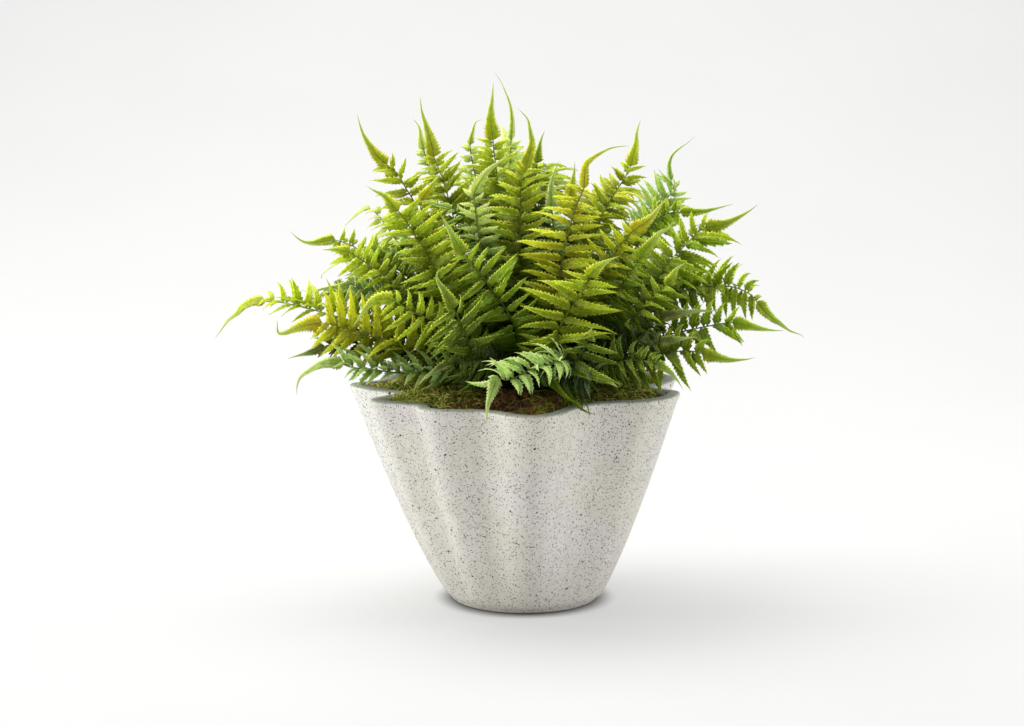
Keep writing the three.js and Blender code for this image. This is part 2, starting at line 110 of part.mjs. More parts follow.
    leaflets: [[-1,176.6,20,-4.4,-2.6],[1,180,-13,8.4,15.7],[-1,186.1,20.6,-5.7,-2],[1,189.5,-13.9,7.3,15.9],[-1,195.6,20.7,-10.3,-3.1],[1,199,-11.4,12.9,17.6],[-1,205.1,21.8,-4,-2.5],[1,208.5,-11,14.9,16.8],[-1,214.6,22.3,-0.4,-2.4],[1,218,-8.3,13.3,11.6],[-1,224.1,20.2,0.4,2.6],[1,227.5,-6.8,11.3,8.4],[-1,233.6,13.6,0.8,5.2],[1,237,-6.3,8.8,5]] },
  { name: 'frond_upper_13', tint: 'deep', leafFrom: 13, leafWidth: 9.2, face: [0.17, -0.966, 0.196],
    stem: [[29.5,9.1,178],[29.5,9.1,186],[29.5,9.1,194],[30.6,9.4,203],[41.9,12.5,229.1],[57.4,16.7,256.3],[75.2,21.5,283.4],[93.4,26.4,309.3],[109.9,31.1,332.7],[122.7,35,352.5],[133,38.3,370],[136.8,39.5,376],[137.7,40.6,382.4],[136.8,41.3,386.6],[134.9,43.7,401.3],[137.8,45.2,410.1],[143.4,46.5,415.6],[152.8,48.3,422],[160.3,50,428.9]],
    leaflets: [[-1,185.7,20.2,1.4,1.2],[1,188.6,-12.8,-2.3,25.8],[-1,194.2,22.3,0.3,2.4],[1,197.1,-14,9.9,24.2],[-1,202.7,22.3,-1.2,5.6],[1,205.6,-14.4,-2.5,26.8],[-1,211.2,22.8,5,3.6],[1,214.1,-16,10.4,24.8],[-1,219.7,20.9,-1.3,4.3],[1,222.6,-9.8,3.9,25.1],[-1,228.2,14.3,8.1,2.6],[1,231.1,-10,-3.2,17.9],[-1,236.7,6.9,5.3,5.1],[1,239.6,-12.9,5.3,8.3]] },
  { name: 'frond_upper_14', tint: 'gold', leafFrom: 10, leafWidth: 12, face: [-0.1, -0.975, 0.198],
    stem: [[17.1,-21.3,178],[17.1,-21.3,186],[17.1,-21.3,194],[17.9,-22.1,203],[27.5,-34.7,234],[40.6,-52.9,266],[55.6,-68.9,295.5],[70.7,-75,318.9],[83.5,-73.7,335.6],[89.2,-73.2,342.6],[94.9,-72.7,349.2],[111.3,-71.4,361.1],[120.1,-70.6,372.5],[126.7,-70,379.6]],
    leaflets: [[-1,137.4,18.2,-11.4,-4.4],[1,140.9,-16.9,11,14.7],[-1,147.4,19.2,-7.8,-3.3],[1,150.9,-17.9,10.6,14.7],[-1,157.4,19.7,-10.6,-3.3],[1,160.9,-17.2,10.1,16.4],[-1,167.4,20,-12.3,-3.9],[1,170.9,-17.4,2.7,18.3],[-1,177.4,19.3,-5.1,-2.5],[1,180.9,-13,2.7,18.1],[-1,187.4,16.4,-6.3,-4.7],[1,190.9,-10.6,3.6,14.3],[-1,197.4,15,2.9,-4.6],[1,200.9,-6.2,5.7,9.1]] },
  { name: 'frond_right_01', tint: 'mid', leafFrom: 14, leafWidth: 10.1, face: [0.004, -0.926, 0.378],
    stem: [[29.7,-4.7,178],[29.7,-4.7,186],[29.7,-4.7,194],[30.8,-4.9,203],[41.5,-6.7,228.8],[55.5,-9.3,256.4],[71,-12,283.5],[86.3,-14.1,307.9],[99.6,-15,327.3],[109.5,-15,341],[114,-15,347.4],[120.8,-15,355.2],[125.8,-15,358.8],[133,-15,361.5],[141.2,-15,362],[150.3,-15,361.5],[159.4,-15,362],[168.5,-15,363.8],[179.3,-15,366.5],[189.7,-15,369.3]],
    leaflets: [[-1,162.4,19.5,-1.3,-8.8],[1,165.8,-4.4,13.8,15.4],[-1,171.9,20.3,-7.4,-7.3],[1,175.3,-7.4,14.8,14.7],[-1,181.4,19.8,-12.7,-8.9],[1,184.8,-7.3,14,15.3],[-1,190.9,18.7,-2,-13.3],[1,194.3,-6.2,7.4,16.9],[-1,200.4,19.4,-1.9,-12.9],[1,203.8,-0.8,9.3,17.8],[-1,209.9,16.3,-3.4,-9.6],[1,213.3,0.4,9.4,13.2],[-1,219.4,9.6,1.4,-12.2],[1,222.8,3.6,6.8,9.6]] },
  { name: 'frond_right_02', tint: 'mid', leafFrom: 13, leafWidth: 11, face: [-0.031, -0.97, 0.242],
    stem: [[33.8,-17.2,178],[33.8,-17.2,186],[33.8,-17.2,194],[34.9,-17.7,203],[49,-27.1,230.3],[70.4,-41.7,256.1],[93.3,-54.8,279.5],[111.7,-60,299.4],[124.1,-59.2,315],[131.2,-58.7,323.9],[138.2,-58.3,331],[147.5,-57.8,340.4],[155.1,-57.4,348.4],[161.3,-57.1,351.9],[174.7,-56.5,353.2],[181.8,-56.2,356.3],[190.7,-55.8,360.7],[200.4,-55.4,366.5],[208,-55,372.3]],
    leaflets: [[-1,167,32.5,-5.4,-9.5],[1,170.3,-15.5,14.3,16.3],[-1,176.5,33.4,2.5,-10.4],[1,179.8,-16.2,18.4,15.9],[-1,186,32.6,-10,-11.4],[1,189.3,-14.2,17.8,18.1],[-1,195.5,32,5.8,-11.6],[1,198.8,-10,3.2,21.7],[-1,205,27.5,-4.5,-8.7],[1,208.3,-6.4,3,20.1],[-1,214.5,38.5,-4.4,-3.5],[1,217.8,-2.6,6.7,17.2],[-1,224,25.1,9.8,-6.5],[1,227.3,4.8,8,12.4]] },
  { name: 'frond_right_03', tint: 'mid', leafFrom: 15, leafWidth: 11, face: [0.351, -0.868, 0.352],
    stem: [[40.3,-6.4,178],[40.3,-6.4,186],[40.3,-6.4,194],[41.5,-6.6,203],[56.9,-9.3,230.1],[81,-13.6,255.8],[108.1,-17.7,276.2],[132.5,-20,287.5],[150.7,-20.7,292.2],[170.6,-21.4,295],[183.3,-21.9,295.1],[193.3,-22.2,293.3],[199.7,-22.5,290.6],[205.2,-22.7,287.9],[209.8,-22.9,282.4],[211.7,-23,280.6],[217.2,-23.4,273.3],[223.7,-23.7,266.9],[231.9,-24,261.4],[242.1,-24.5,254.1],[252.1,-24.9,250.5],[254.9,-25,247.7]],
    leaflets: [[-1,175.4,5.9,-15,-17.9],[1,178.7,10.4,9.2,20.6],[-1,184.9,5.8,-16.6,-18.1],[1,188.2,11.5,3.4,23.1],[-1,194.4,0.8,-14.3,-21.1],[1,197.7,13,3.6,24.5],[-1,203.9,1.5,-3.5,-23.7],[1,207.2,11.7,13.2,15.4],[-1,213.4,-1,-3.5,-23.8],[1,216.7,11.6,12.4,10.9],[-1,222.9,1.5,-3.5,-23.8],[1,226.2,11.1,11.7,4.5],[-1,232.4,-0.2,-0.5,-18.9],[1,235.7,6.5,9.9,1.1]] },
  { name: 'frond_right_04', tint: 'deep', leafFrom: 11, leafWidth: 11, face: [0.016, -0.972, 0.234],
    stem: [[44.1,-20,178],[44.1,-20,186],[44.1,-20,194],[45.2,-20.5,203],[61.2,-29.6,225.5],[87.8,-44.6,241.8],[117.6,-58.8,252.9],[143,-65,259.5],[159.1,-65,263.1],[169.7,-65,264.9],[178.7,-65,266.7],[185.3,-65,267.1],[196.5,-65,264.9],[207.3,-65,262.2],[219,-65,260.4],[231.5,-65,259.5]],
    leaflets: [[-1,128.1,12.2,-3.4,-23.2],[1,131.6,4.5,16.7,18.8],[-1,138.1,8.7,-3.8,-25.4],[1,141.6,6.8,13,19.3],[-1,148.1,11.5,-3.7,-25],[1,151.6,4.4,13.6,20.4],[-1,158.1,12.7,-3.7,-25.1],[1,161.6,5.3,12.9,20],[-1,168.1,11.8,-3.3,-22.3],[1,171.6,6.4,10.5,19],[-1,178.1,22.2,-4.5,-14.7],[1,181.6,5.9,2.5,17],[-1,188.1,15.2,2.1,-15.8],[1,191.6,7.4,0.3,12.1]] },
  { name: 'frond_right_05', tint: 'deep', leafFrom: 10, leafWidth: 11, face: [0.043, -0.929, 0.368],
    stem: [[41.1,-34,178],[41.1,-34,186],[41.1,-34,194],[42,-34.8,203],[57.9,-53,224.2],[84.1,-80.3,235.2],[110,-95,241.3],[125.8,-95.9,244.9],[131,-96.1,245.4],[145.9,-96.9,246],[155.6,-97.4,243.8],[167,-98.1,240.8],[179.3,-98.7,238.2],[193.3,-99.5,238.8],[202.9,-100,240.6]],
    leaflets: [[-1,108.2,10.6,-0.9,-25.6],[1,111.7,8.8,18.3,16.2],[-1,118.2,9.2,-3.9,-26.5],[1,121.7,7.5,15.3,17.7],[-1,128.2,8.5,-4.1,-27.5],[1,131.7,9.4,19.5,16.9],[-1,138.2,-0.7,-8.2,-30],[1,141.7,6.9,13.4,18.9],[-1,148.2,13.4,-4.1,-27.5],[1,151.7,7,13.9,18.3],[-1,158.2,12.8,-2.7,-18.3],[1,161.7,8,9.3,15.3],[-1,168.2,9.3,-0.8,-16.9],[1,171.7,8.2,6.5,9.8]] },
  { name: 'frond_right_06', tint: 'shade', leafFrom: 10, leafWidth: 11, face: [-0.316, -0.737, 0.598],
    stem: [[30.1,-34.7,178],[30.1,-34.7,186],[30.1,-34.7,194],[30.9,-35.5,203],[44.9,-55.5,224.9],[67.4,-84.9,238.6],[89.4,-100,250.9],[95.5,-100,255.3],[102.5,-100,261.5],[109.5,-100,266.8],[119,-100,274.8],[135.7,-100,279.2],[153.2,-100,281.8],[163.7,-100,281.8],[173.3,-100,284]],
    leaflets: [[-1,99.5,8.6,-12.9,-12.9],[1,103,-3.2,12.7,14.3],[-1,109.5,10.6,-14.4,-14],[1,113,-4.2,12.6,14],[-1,119.5,10.7,-12.9,-11.9],[1,123,-5.6,14.6,16.1],[-1,129.5,15.8,-14.2,-9.9],[1,133,-9.9,12.1,15.9],[-1,139.5,14.5,-11.2,-5.6],[1,143,-11.3,4,15.8],[-1,149.5,10.4,-8.4,-4.6],[1,153,-3,10.9,12.4],[-1,159.5,8,-5.9,-2.3],[1,163,-0.8,6.8,7.8]] },
  { name: 'frond_right_07', tint: 'mid', leafFrom: 11, leafWidth: 10.1, face: [-0.431, -0.819, 0.377],
    stem: [[35.2,-26.6,178],[35.2,-26.6,186],[35.2,-26.6,194],[36.1,-27.4,203],[46.5,-40.6,225.3],[63.1,-61.7,244.3],[81.6,-81.4,260.9],[97.7,-90,276.1],[108.1,-90,287.7],[114.3,-90,293],[122.1,-90,301],[126.5,-90,303.6],[129,-90,309.8],[134.2,-90,318.6],[142.1,-90,323.9]],
    leaflets: [[-1,119.1,15.4,-12.4,-11.3],[1,122.4,-3,18.1,12.9],[-1,128.6,14.3,-12.5,-12.3],[1,131.9,-8,15.2,15.3],[-1,138.1,13.8,-9,-14],[1,141.4,-11.8,13.5,15.6],[-1,147.6,15.2,-16.4,-6],[1,150.9,-10.3,12,14],[-1,157.1,14.4,-9,-4.6],[1,160.4,-6.3,11.1,14.1],[-1,166.6,14.6,-5.7,-2.7],[1,169.9,-5.1,9.6,12.4],[-1,176.1,9.1,-4.3,-2],[1,179.4,1.4,7.5,8.3]] },
  { name: 'frond_right_08', tint: 'mid', leafFrom: 9, leafWidth: 12, face: [-0.345, -0.884, 0.317],
    stem: [[26.4,-23.1,178],[26.4,-23.1,186],[26.4,-23.1,194],[27.2,-23.9,203],[37.8,-36.7,230.7],[53.4,-56,257.7],[70.5,-73.3,282.5],[85.6,-80,303.4],[94.4,-79,315.7],[101.5,-78.2,326.3],[110.2,-77.2,337.7],[119,-76.3,348.2],[127,-75.7,352.6],[132.2,-75,362.3]],
    leaflets: [[-1,120.9,15.4,-10.7,-7.8],[1,124.2,-15.9,1.7,7.9],[-1,130.4,14.8,-9.8,-6.3],[1,133.7,-11.8,11,11.4],[-1,139.9,14.7,-9.9,-6.6],[1,143.2,-10.1,11.6,13.4],[-1,149.4,17,-11.7,-8.3],[1,152.7,-3.9,18.9,4.4],[-1,158.9,16.5,-7.1,-3.3],[1,162.2,-9.1,11,12.9],[-1,168.4,13.4,-4.4,-2.1],[1,171.7,-7.3,8.7,10.2],[-1,177.9,8.8,1.1,-0.6],[1,181.2,-3,8.4,7.1]] },
  { name: 'frond_centre_02', tint: 'lime', leafFrom: 14, leafWidth: 12, face: [-0.042, -0.996, -0.081],
    stem: [[9.2,-40.6,178],[9.2,-40.6,186],[9.2,-40.6,194],[9.4,-41.8,203],[11.4,-61.4,220.1],[16.3,-101.6,230.3],[21.4,-119.3,244.1],[23.4,-118.7,254],[26.3,-118.1,262.9],[30,-118,270],[35.2,-118.5,279.7],[41.3,-119.5,289.5],[49,-120.6,299.2],[53.3,-121.6,309.8],[54.9,-122,314.1],[62.6,-123.1,322.9],[72.9,-124.2,329.1],[81.5,-125,332.7]],
    leaflets: [[-1,131.3,45.9,-15.5,11.3],[1,134.8,-30.3,-4.7,-3.8],[-1,141.1,45.2,9.5,-9.8],[1,144.5,-34.9,-0.1,-0.5],[-1,150.8,46.5,-12.2,-7.3],[1,154.2,-39.3,5.3,11.8],[-1,160.6,43.7,9.1,-1.7],[1,164,-41.3,-0.5,18.7],[-1,170.3,36.7,-8.6,-5.5],[1,173.7,-34.1,10.3,16.6],[-1,180,32.1,0,0.2],[1,183.5,-29.7,1.3,8.9],[-1,189.8,25.9,-0.4,-3],[1,193.2,-20.7,1.2,8.1]] },
  { name: 'frond_centre_03', tint: 'mid', leafFrom: 12, leafWidth: 12, face: [0.094, -0.986, 0.136],
    stem: [[-5,-37.4,178],[-5,-37.4,186],[-5,-37.4,194],[-5.2,-38.6,203],[-5.2,-59,230.3],[-6.1,-86.6,255.8],[-13.4,-100,277.4],[-23,-99.2,292.3],[-29.1,-98.7,300.2],[-36.1,-98.2,310.3],[-43.1,-97.6,319.4],[-50.1,-97.1,328.2],[-53.6,-96.9,331.6],[-61.4,-96.2,343.9],[-67.5,-95.6,355.2],[-74.4,-95,367.4]],
    leaflets: [[-1,128.8,22.5,2.8,18.9],[1,132.2,-25.8,-8.7,-10.9],[-1,138.3,21.1,3.2,21.5],[1,141.7,-27.3,-1.9,-12.5],[-1,147.8,17.5,3.9,26.6],[1,151.2,-24,4.7,-18.5],[-1,157.3,23.3,-4.5,26.1],[1,160.7,-24.8,-2.7,-18],[-1,166.8,18.8,3.4,22.8],[1,170.2,-19,-8.9,-6.9],[-1,176.3,11.1,2.7,18.4],[1,179.7,-18.1,-0.9,-6.1],[-1,185.8,8.9,2,13.8],[1,189.2,-13.7,0.9,-4.2]] },
  { name: 'frond_centre_04', tint: 'mid', leafFrom: 11, leafWidth: 11, face: [0.187, -0.982, -0.031],
    stem: [[-20.3,-46.6,178],[-20.3,-46.6,186],[-20.3,-46.6,194],[-20.7,-47.7,203],[-26.7,-69.5,219.5],[-36.4,-101.7,228.4],[-44.9,-119.1,241.4],[-48.3,-120.4,252.1],[-50.4,-121.6,261],[-55,-123.1,270.7],[-59.2,-124.6,281.4],[-61.8,-125.2,286.7],[-69.4,-127.1,301.7],[-75.4,-128.4,311.4],[-76.2,-129,317.5],[-70.9,-130,324.5]],
    leaflets: [[-1,98.5,3.7,9.5,15.2],[1,101.8,-29.1,-1.9,-12.9],[-1,107.9,3.1,20.7,14.5],[1,111.2,-11.2,4.1,-5.4],[-1,117.4,24.7,6.2,18],[1,120.7,-25.8,-20,8.2],[-1,126.8,29.3,-5.7,11.7],[1,130.2,-34.5,-0.4,-2.4],[-1,136.3,21.2,3.1,21.1],[1,139.6,-26.8,-10.3,-20.3],[-1,145.8,17.7,3.3,22.5],[1,149.1,-29.1,-2.7,-18.4],[-1,155.2,2.3,4.7,15.9],[1,158.5,-20.1,-1.8,-12.2]] },
  { name: 'frond_centre_05', tint: 'lime', leafFrom: 12, leafWidth: 11, face: [0.16, -0.951, 0.265],
    stem: [[-21.9,-37.2,178],[-21.9,-37.2,186],[-21.9,-37.2,194],[-22.5,-38.3,203],[-30.1,-59.1,228.6],[-43,-89.1,249.2],[-60.6,-105,263.9],[-74.6,-105.7,272],[-82.4,-106.1,275.1],[-92,-106.6,279.1],[-100.7,-107,283.1],[-108.5,-107.4,288],[-115.4,-107.8,292.4],[-124.1,-108.2,294.2],[-132.8,-108.6,291.7],[-138.9,-109,285.6],[-146,-109.5,275.1],[-152.1,-110,266.4]],
    leaflets: [[-1,125.5,6.1,18.2,16.3],[1,128.8,-19.3,-3.1,-20.9],[-1,135,4.9,15.2,17.6],[1,138.3,-16.2,-0,-24.4],[-1,144.5,0.5,16.6,18.5],[1,147.8,-18,-3.7,-24.8],[-1,154,3,14.7,18.7],[1,157.3,-26.4,-6.6,-20],[-1,163.5,0.5,8.5,18.9],[1,166.8,-27.5,0.8,-16.9],[-1,173,-1.6,10.8,15.3],[1,176.3,-20.9,-2.3,-12.3],[-1,182.5,-2.8,8.6,11.7],[1,185.8,-13.4,-1.9,-12.5]] },
  { name: 'frond_centre_06', tint: 'pale', leafFrom: 11, leafWidth: 10.1, face: [0.042, -0.999, -0.008],
    stem: [[-11.8,-24.8,178],[-11.8,-24.8,186],[-11.8,-24.8,194],[-12.5,-25.8,203],[-18.9,-36.6,233.9],[-26.3,-49.5,267.5],[-33.2,-60.4,299.8],[-38.3,-65,326.8],[-41.3,-65,346.4],[-42.6,-65,357.9],[-44.4,-65,372.1],[-45.2,-65,381.9],[-37.3,-65,396.9],[-29.3,-65,405.7],[-11.6,-65,416.3]],
    leaflets: [[-1,150.8,17.8,8.7,4.1],[1,154.1,-17,-4.2,-0.3],[-1,160.3,19.4,11.8,5.6],[1,163.6,-15.6,-4.1,-3],[-1,169.8,19.7,12.1,5.7],[1,173.1,-18,-7.1,3.4],[-1,179.3,18.5,11.1,5.2],[1,182.6,-18.8,-4.7,0.6],[-1,188.8,14.6,9.4,5.6],[1,192.1,-16.2,6,9],[-1,198.3,11.9,8.6,6.7],[1,201.6,-13.8,7.1,3.3],[-1,207.8,7,6.4,6.5],[1,211.1,-9,7.3,6.6]] },
  { name: 'frond_centre_07', tint: 'gold', leafFrom: 10, leafWidth: 10.1, face: [0.031, -0.992, 0.122],
    stem: [[-24.7,-16.7,178],[-24.7,-16.7,186],[-24.7,-16.7,194],[-25.8,-17.4,203],[-37.2,-26,234.5],[-51.9,-37.8,268],[-67.1,-47.5,299.5],[-79.7,-50,325.3],[-88.7,-47.5,343.9],[-93.1,-45.1,362.6],[-92.2,-43.6,375],[-85,-42,385.6],[-75.2,-40,398.9]],
    leaflets: [[-1,153.5,12.5,9.5,8.1],[1,156.9,-11.4,-7.7,-1.9],[-1,163,14.2,11.1,9.8],[1,166.4,-13.3,-11.2,-2.7],[-1,172.5,14.7,11.3,9.8],[1,175.9,-16.2,-13.1,-3.2],[-1,182,14.7,10.5,8],[1,185.4,-15.2,3.1,-1.4],[-1,191.5,12.9,9.3,7.3],[1,194.9,-12.5,3.8,0.9],[-1,201,9.9,7.1,5.4],[1,204.4,-8.4,8.3,2.4],[-1,210.5,8.4,5.6,3.7],[1,213.9,-5.2,6.9,4.1]] },
  { name: 'frond_centre_08', tint: 'blue', leafFrom: 10, leafWidth: 9.2, face: [0.252, -0.714, 0.653],
    stem: [[-14.3,-15.6,178],[-14.3,-15.6,186],[-14.3,-15.6,194],[-14.9,-16.6,203],[-19,-26.1,230.5],[-22.6,-37.9,260.9],[-27,-49.3,291.5],[-33,-57.6,319],[-41.9,-60,340.6],[-52.5,-58.5,358.3],[-65,-57.4,368],[-78.4,-56.4,371.5],[-89,-55.7,375],[-98,-55,372.3]],
    leaflets: [[-1,147.1,12.6,10.2,5.8],[1,150.5,-14.3,2.1,-1.2],[-1,156.6,12.2,9.7,5.2],[1,160,-13.5,-5.1,-1.9],[-1,166.1,12.3,11.1,7.7],[1,169.5,-15.4,-7.5,-2.8],[-1,175.6,11.9,11.3,8.5],[1,179,-14.8,-8.2,-3],[-1,185.1,10.1,10.8,9.1],[1,188.5,-13.8,-8.6,-3.2],[-1,194.6,5,9,9.5],[1,198,-12.1,-8.9,-3.5],[-1,204.1,-0.6,6,6.9],[1,207.5,-7.5,-5.9,-3]] },
  { name: 'frond_front_01', tint: 'mint', leafFrom: 12, leafWidth: 11, face: [0.123, -0.814, 0.568],
    stem: [[9,-56.2,178],[9,-56.2,186],[9,-56.2,194],[9.2,-57.4,203],[20.1,-86.1,228.1],[33,-121.1,241.8],[27.2,-145.2,243.3],[16.8,-147.7,240.2],[6.4,-150.2,237.6],[-2.2,-152.4,234.9],[-9,-154.3,230.8],[-17.6,-156.4,229.4],[-22.7,-157.8,231.4],[-26.1,-159.1,227.2],[-29.5,-161.7,217.3],[-32.1,-163.8,209],[-32.9,-165.5,202.4],[-33.7,-168,192.4]],
    leaflets: [[-1,128.8,-22.1,0.1,12.3],[1,131.8,2.5,-17.2,-12.3],[-1,137.3,-23.2,7.6,7.8],[1,140.3,1.5,-16.2,-14.8],[-1,145.8,-22.6,-2.5,13.6],[1,148.8,9.2,-20,-5.9],[-1,154.3,-25.8,5,7.5],[1,157.3,8.9,-15.4,-11.7],[-1,162.9,-27.8,-6.9,8.6],[1,165.8,8.3,-15.1,-11.8],[-1,171.4,-27.3,12.3,12.1],[1,174.4,6.4,-10.8,-10.8],[-1,179.9,-12.1,0.2,17.5],[1,182.9,-27.9,7.5,-2.8]] },
  { name: 'frond_front_02', tint: 'shade', leafFrom: 9, leafWidth: 10.1, face: [-0.469, -0.812, 0.348],
    stem: [[3.7,-48.3,178],[3.7,-48.3,186],[3.7,-48.3,194],[4,-49.5,203],[7.3,-76.2,227.1],[20,-104.3,236.1],[31.9,-116.3,235.5],[43.2,-125.2,234.9],[51.6,-130.5,233.2],[61.7,-137.6,230],[71,-144.5,226.7],[80.1,-152,221.8]],
    leaflets: [[-1,92.4,4.8,-5.1,-8.7],[1,95.4,-4.1,3,20.1],[-1,100.9,0.1,-3.6,-8.1],[1,112.3,12.8,12.5,9.4],[-1,117.8,9.7,6.5,-20.7],[1,120.8,12.5,14.5,-8.1],[-1,126.3,10.7,8.9,-19.5],[1,129.2,13.2,2.1,16.2],[-1,134.7,3.1,-4,-26.7],[1,137.7,14.4,6.3,8.8],[-1,143.2,-1.5,-21.7,-19.9],[1,146.2,10.1,-6,11]] },
  { name: 'frond_front_03', tint: 'deep', leafFrom: 9, leafWidth: 11, face: [-0.201, -0.968, -0.152],
    stem: [[17.4,-51.7,178],[17.4,-51.7,186],[17.4,-51.7,194],[17.6,-52.9,203],[21.4,-74.7,221.4],[27.7,-109.8,222.9],[36.9,-130,232.3],[42.9,-132.4,241.4],[48.8,-134.7,250.5],[53.8,-137.4,261.3],[57.1,-140,272.9]],
    leaflets: [[-1,89,37.8,5.7,-4.5],[-1,98.1,27.6,-4,-27.2],[1,101.3,2.7,8.9,8.7],[-1,107.3,23.7,-15.2,-28.8],[1,110.5,-10.6,10.1,16],[-1,116.4,31.4,-26.1,-7.7],[1,119.6,-6.5,9.1,2.6],[-1,125.5,33.7,-21.8,-12.8],[1,128.7,-12.3,17.3,11.4],[-1,134.7,33.9,6.6,-7.9],[1,137.9,-18.8,2.3,0.3],[-1,143.8,27.1,2.3,-5.3],[1,147,-15.3,0.2,1.6]] },
  { name: 'frond_front_04', tint: 'shade', leafFrom: 9, leafWidth: 10.1, face: [-0.276, -0.753, 0.597],
    stem: [[33.6,-43.5,178],[33.6,-43.5,186],[33.6,-43.5,194],[34.4,-44.4,203],[46.1,-63.9,223.9],[65.8,-93.2,236.2],[87.2,-110,244.3],[100.2,-112,249],[108.8,-113.4,252.7],[117.4,-114.8,255.6],[131.1,-116.9,258.5],[141.4,-118.4,260.5],[151.7,-120,261.5]],
    leaflets: [[-1,92.3,8.3,-16.1,-17.2],[1,95.6,-1.6,15.1,20.5],[-1,101.8,8.1,-16.1,-17.2],[1,105.1,-0.9,13.7,18.8],[-1,111.3,6.2,-15.8,-17.4],[1,114.6,-0.2,15.9,21.7],[-1,120.8,8.9,-16.2,-17.1],[1,124.1,-1,15.9,21.7],[-1,130.3,12,-13.7,-12.2],[1,133.6,0.8,9.4,16.4],[-1,139.8,11.1,-10.6,-8.1],[1,143.1,1.7,9.9,16.9],[-1,149.3,5.9,-6.4,-7.7],[1,152.6,1.8,4.8,10.7]] },
  { name: 'frond_front_05', tint: 'deep', leafFrom: 9, leafWidth: 10.1, face: [0.063, -0.683, 0.728],
    stem: [[24.3,-45.2,178],[24.3,-45.2,186],[24.3,-45.2,194],[25,-46.2,203],[35.7,-67.5,223.9],[54,-99.9,234.7],[75.4,-120,239.6],[90.8,-124.4,242],[103.6,-128.1,241.7],[112.1,-130.6,239.4],[123.2,-134.3,233.8],[130,-137,227.3],[135.9,-140,219]],
    leaflets: [[-1,105.4,4.8,-15,-14.2],[1,108.6,3.4,14.6,16.6],[-1,114.4,3.8,-15.4,-14.9],[1,117.6,2.5,14.8,16.9],[-1,123.4,8.2,-12.9,-18.4],[1,126.6,0.7,15.6,18],[-1,132.4,6.2,-17.3,-12.5],[1,135.6,1.7,16.5,19],[-1,141.4,6.6,-15.4,-14.2],[1,144.6,6.5,13.3,14.4],[-1,150.4,5.5,-11.2,-10],[1,153.6,7.5,10.6,10.5],[-1,159.4,2.6,-7.4,-7],[1,162.6,8.7,6.4,5.7]] },
  { name: 'frond_front_06', tint: 'shade', leafFrom: 8, leafWidth: 9.2, face: [-0.008, -0.636, 0.771],
    stem: [[-10.9,-48.2,178],[-10.9,-48.2,186],[-10.9,-48.2,194],[-11.3,-49.3,203],[-15.4,-69.5,223.4],[-23.3,-100.5,236.3],[-37.5,-120.9,241.4],[-52.6,-126.6,242.2],[-65.4,-131.4,239.5],[-77.2,-136.3,234.1],[-87.4,-141,227.9],[-94.2,-145,220.7]],
    leaflets: [[-1,85.1,2.8,16,10.1],[1,88.3,-7.9,-12.8,-13.1],[-1,94.2,-0.2,16.4,10.6],[1,97.3,-9.3,-13.9,-16.3],[-1,103.2,-2.7,17.3,11],[1,106.4,-4.9,-13.7,-15.2],[-1,112.3,-2.1,19.5,12.5],[1,115.4,-5.5,-16,-17.8],[-1,121.3,-0.6,-2.3,17.8],[1,124.5,-3.4,-13.2,-14.9],[-1,130.4,-5.2,11.4,6],[1,133.5,-1.7,-11.9,-13.7],[-1,139.4,-5.5,8.8,3.5],[1,142.6,-1.4,-6.8,-7.8]] },
  { name: 'frond_back_01', tint: 'mid', leafFrom: 9, leafWidth: 14, face: [-0.294, 0.088, 0.952],
    stem: [[-41.7,10.6,178],[-41.7,10.6,186],[-41.7,10.6,194],[-41.7,10.6,203],[-47.9,11.9,225.5],[-69.6,17.4,255.4],[-98.7,24.6,277.5],[-133.6,33.3,287],[-169.6,42.3,283.9],[-186.6,46.5,279.1],[-196.5,49,275.5],[-206.1,51.4,271.2],[-215.6,53.8,266.6],[-225.1,56.1,262]],
    leaflets: [[-1,147.5,-10.1,-23.8,-2.4],[1,151.2,2.2,28.3,-2.8],[-1,157.9,-12.1,-26.7,-2.5],[1,161.6,3,28.6,-2.7],[-1,168.3,-12.5,-29.4,-6],[1,172,2.9,29,-3.7],[-1,178.8,-14.6,-27,-5.2],[1,182.4,-1.6,29.3,-4.2],[-1,189.2,-15.4,-20.6,-5.4],[1,192.8,-2.6,21.5,-5.1],[-1,199.6,-11.2,-16,-4.5],[1,203.2,-4.9,22.5,-5.2],[-1,210,-8.4,-9.9,-5.4],[1,213.6,-2.3,12.9,-6.5]] },
  { name: 'frond_back_02', tint: 'deep', leafFrom: 9, leafWidth: 14, face: [-0.286, 0.193, 0.938],
    stem: [[-29.9,12.7,178],[-29.9,12.7,186],[-29.9,12.7,194],[-29.9,12.7,203],[-32.3,19.9,226.5],[-47.6,29.8,263.5],[-68.8,44.7,295.7],[-98.1,66.8,315.7],[-132.9,88.6,316.2],[-147.6,96.2,311.1],[-155.8,101.3,307.2],[-163.8,106.4,302.4],[-171.6,111.5,297.2],[-179.5,116.6,292]],
    leaflets: [[-1,163.9,-21,-18.6,-1.2],[1,167.6,11.6,26.9,-1.5],[-1,174.4,-19.7,-20,-4.2],[1,178.1,12.2,23.7,-4.5],[-1,184.9,-15.4,-18.2,16.3],[1,188.6,10.7,26.2,-5.5],[-1,195.4,-22.5,-16.8,-2.9],[1,199.1,7.2,27.1,-5.5],[-1,206,-18,-13.6,-5.2],[1,209.6,4.3,21.1,-5.4],[-1,216.5,-15.5,-11.3,-5.4],[1,220.2,3.9,19.6,-6.5],[-1,227,-12.3,-5.6,-5.6],[1,230.7,2.1,13.1,-6.7]] },
  { name: 'frond_back_03', tint: 'lime', leafFrom: 9, leafWidth: 14, face: [-0.245, 0.325, 0.914],
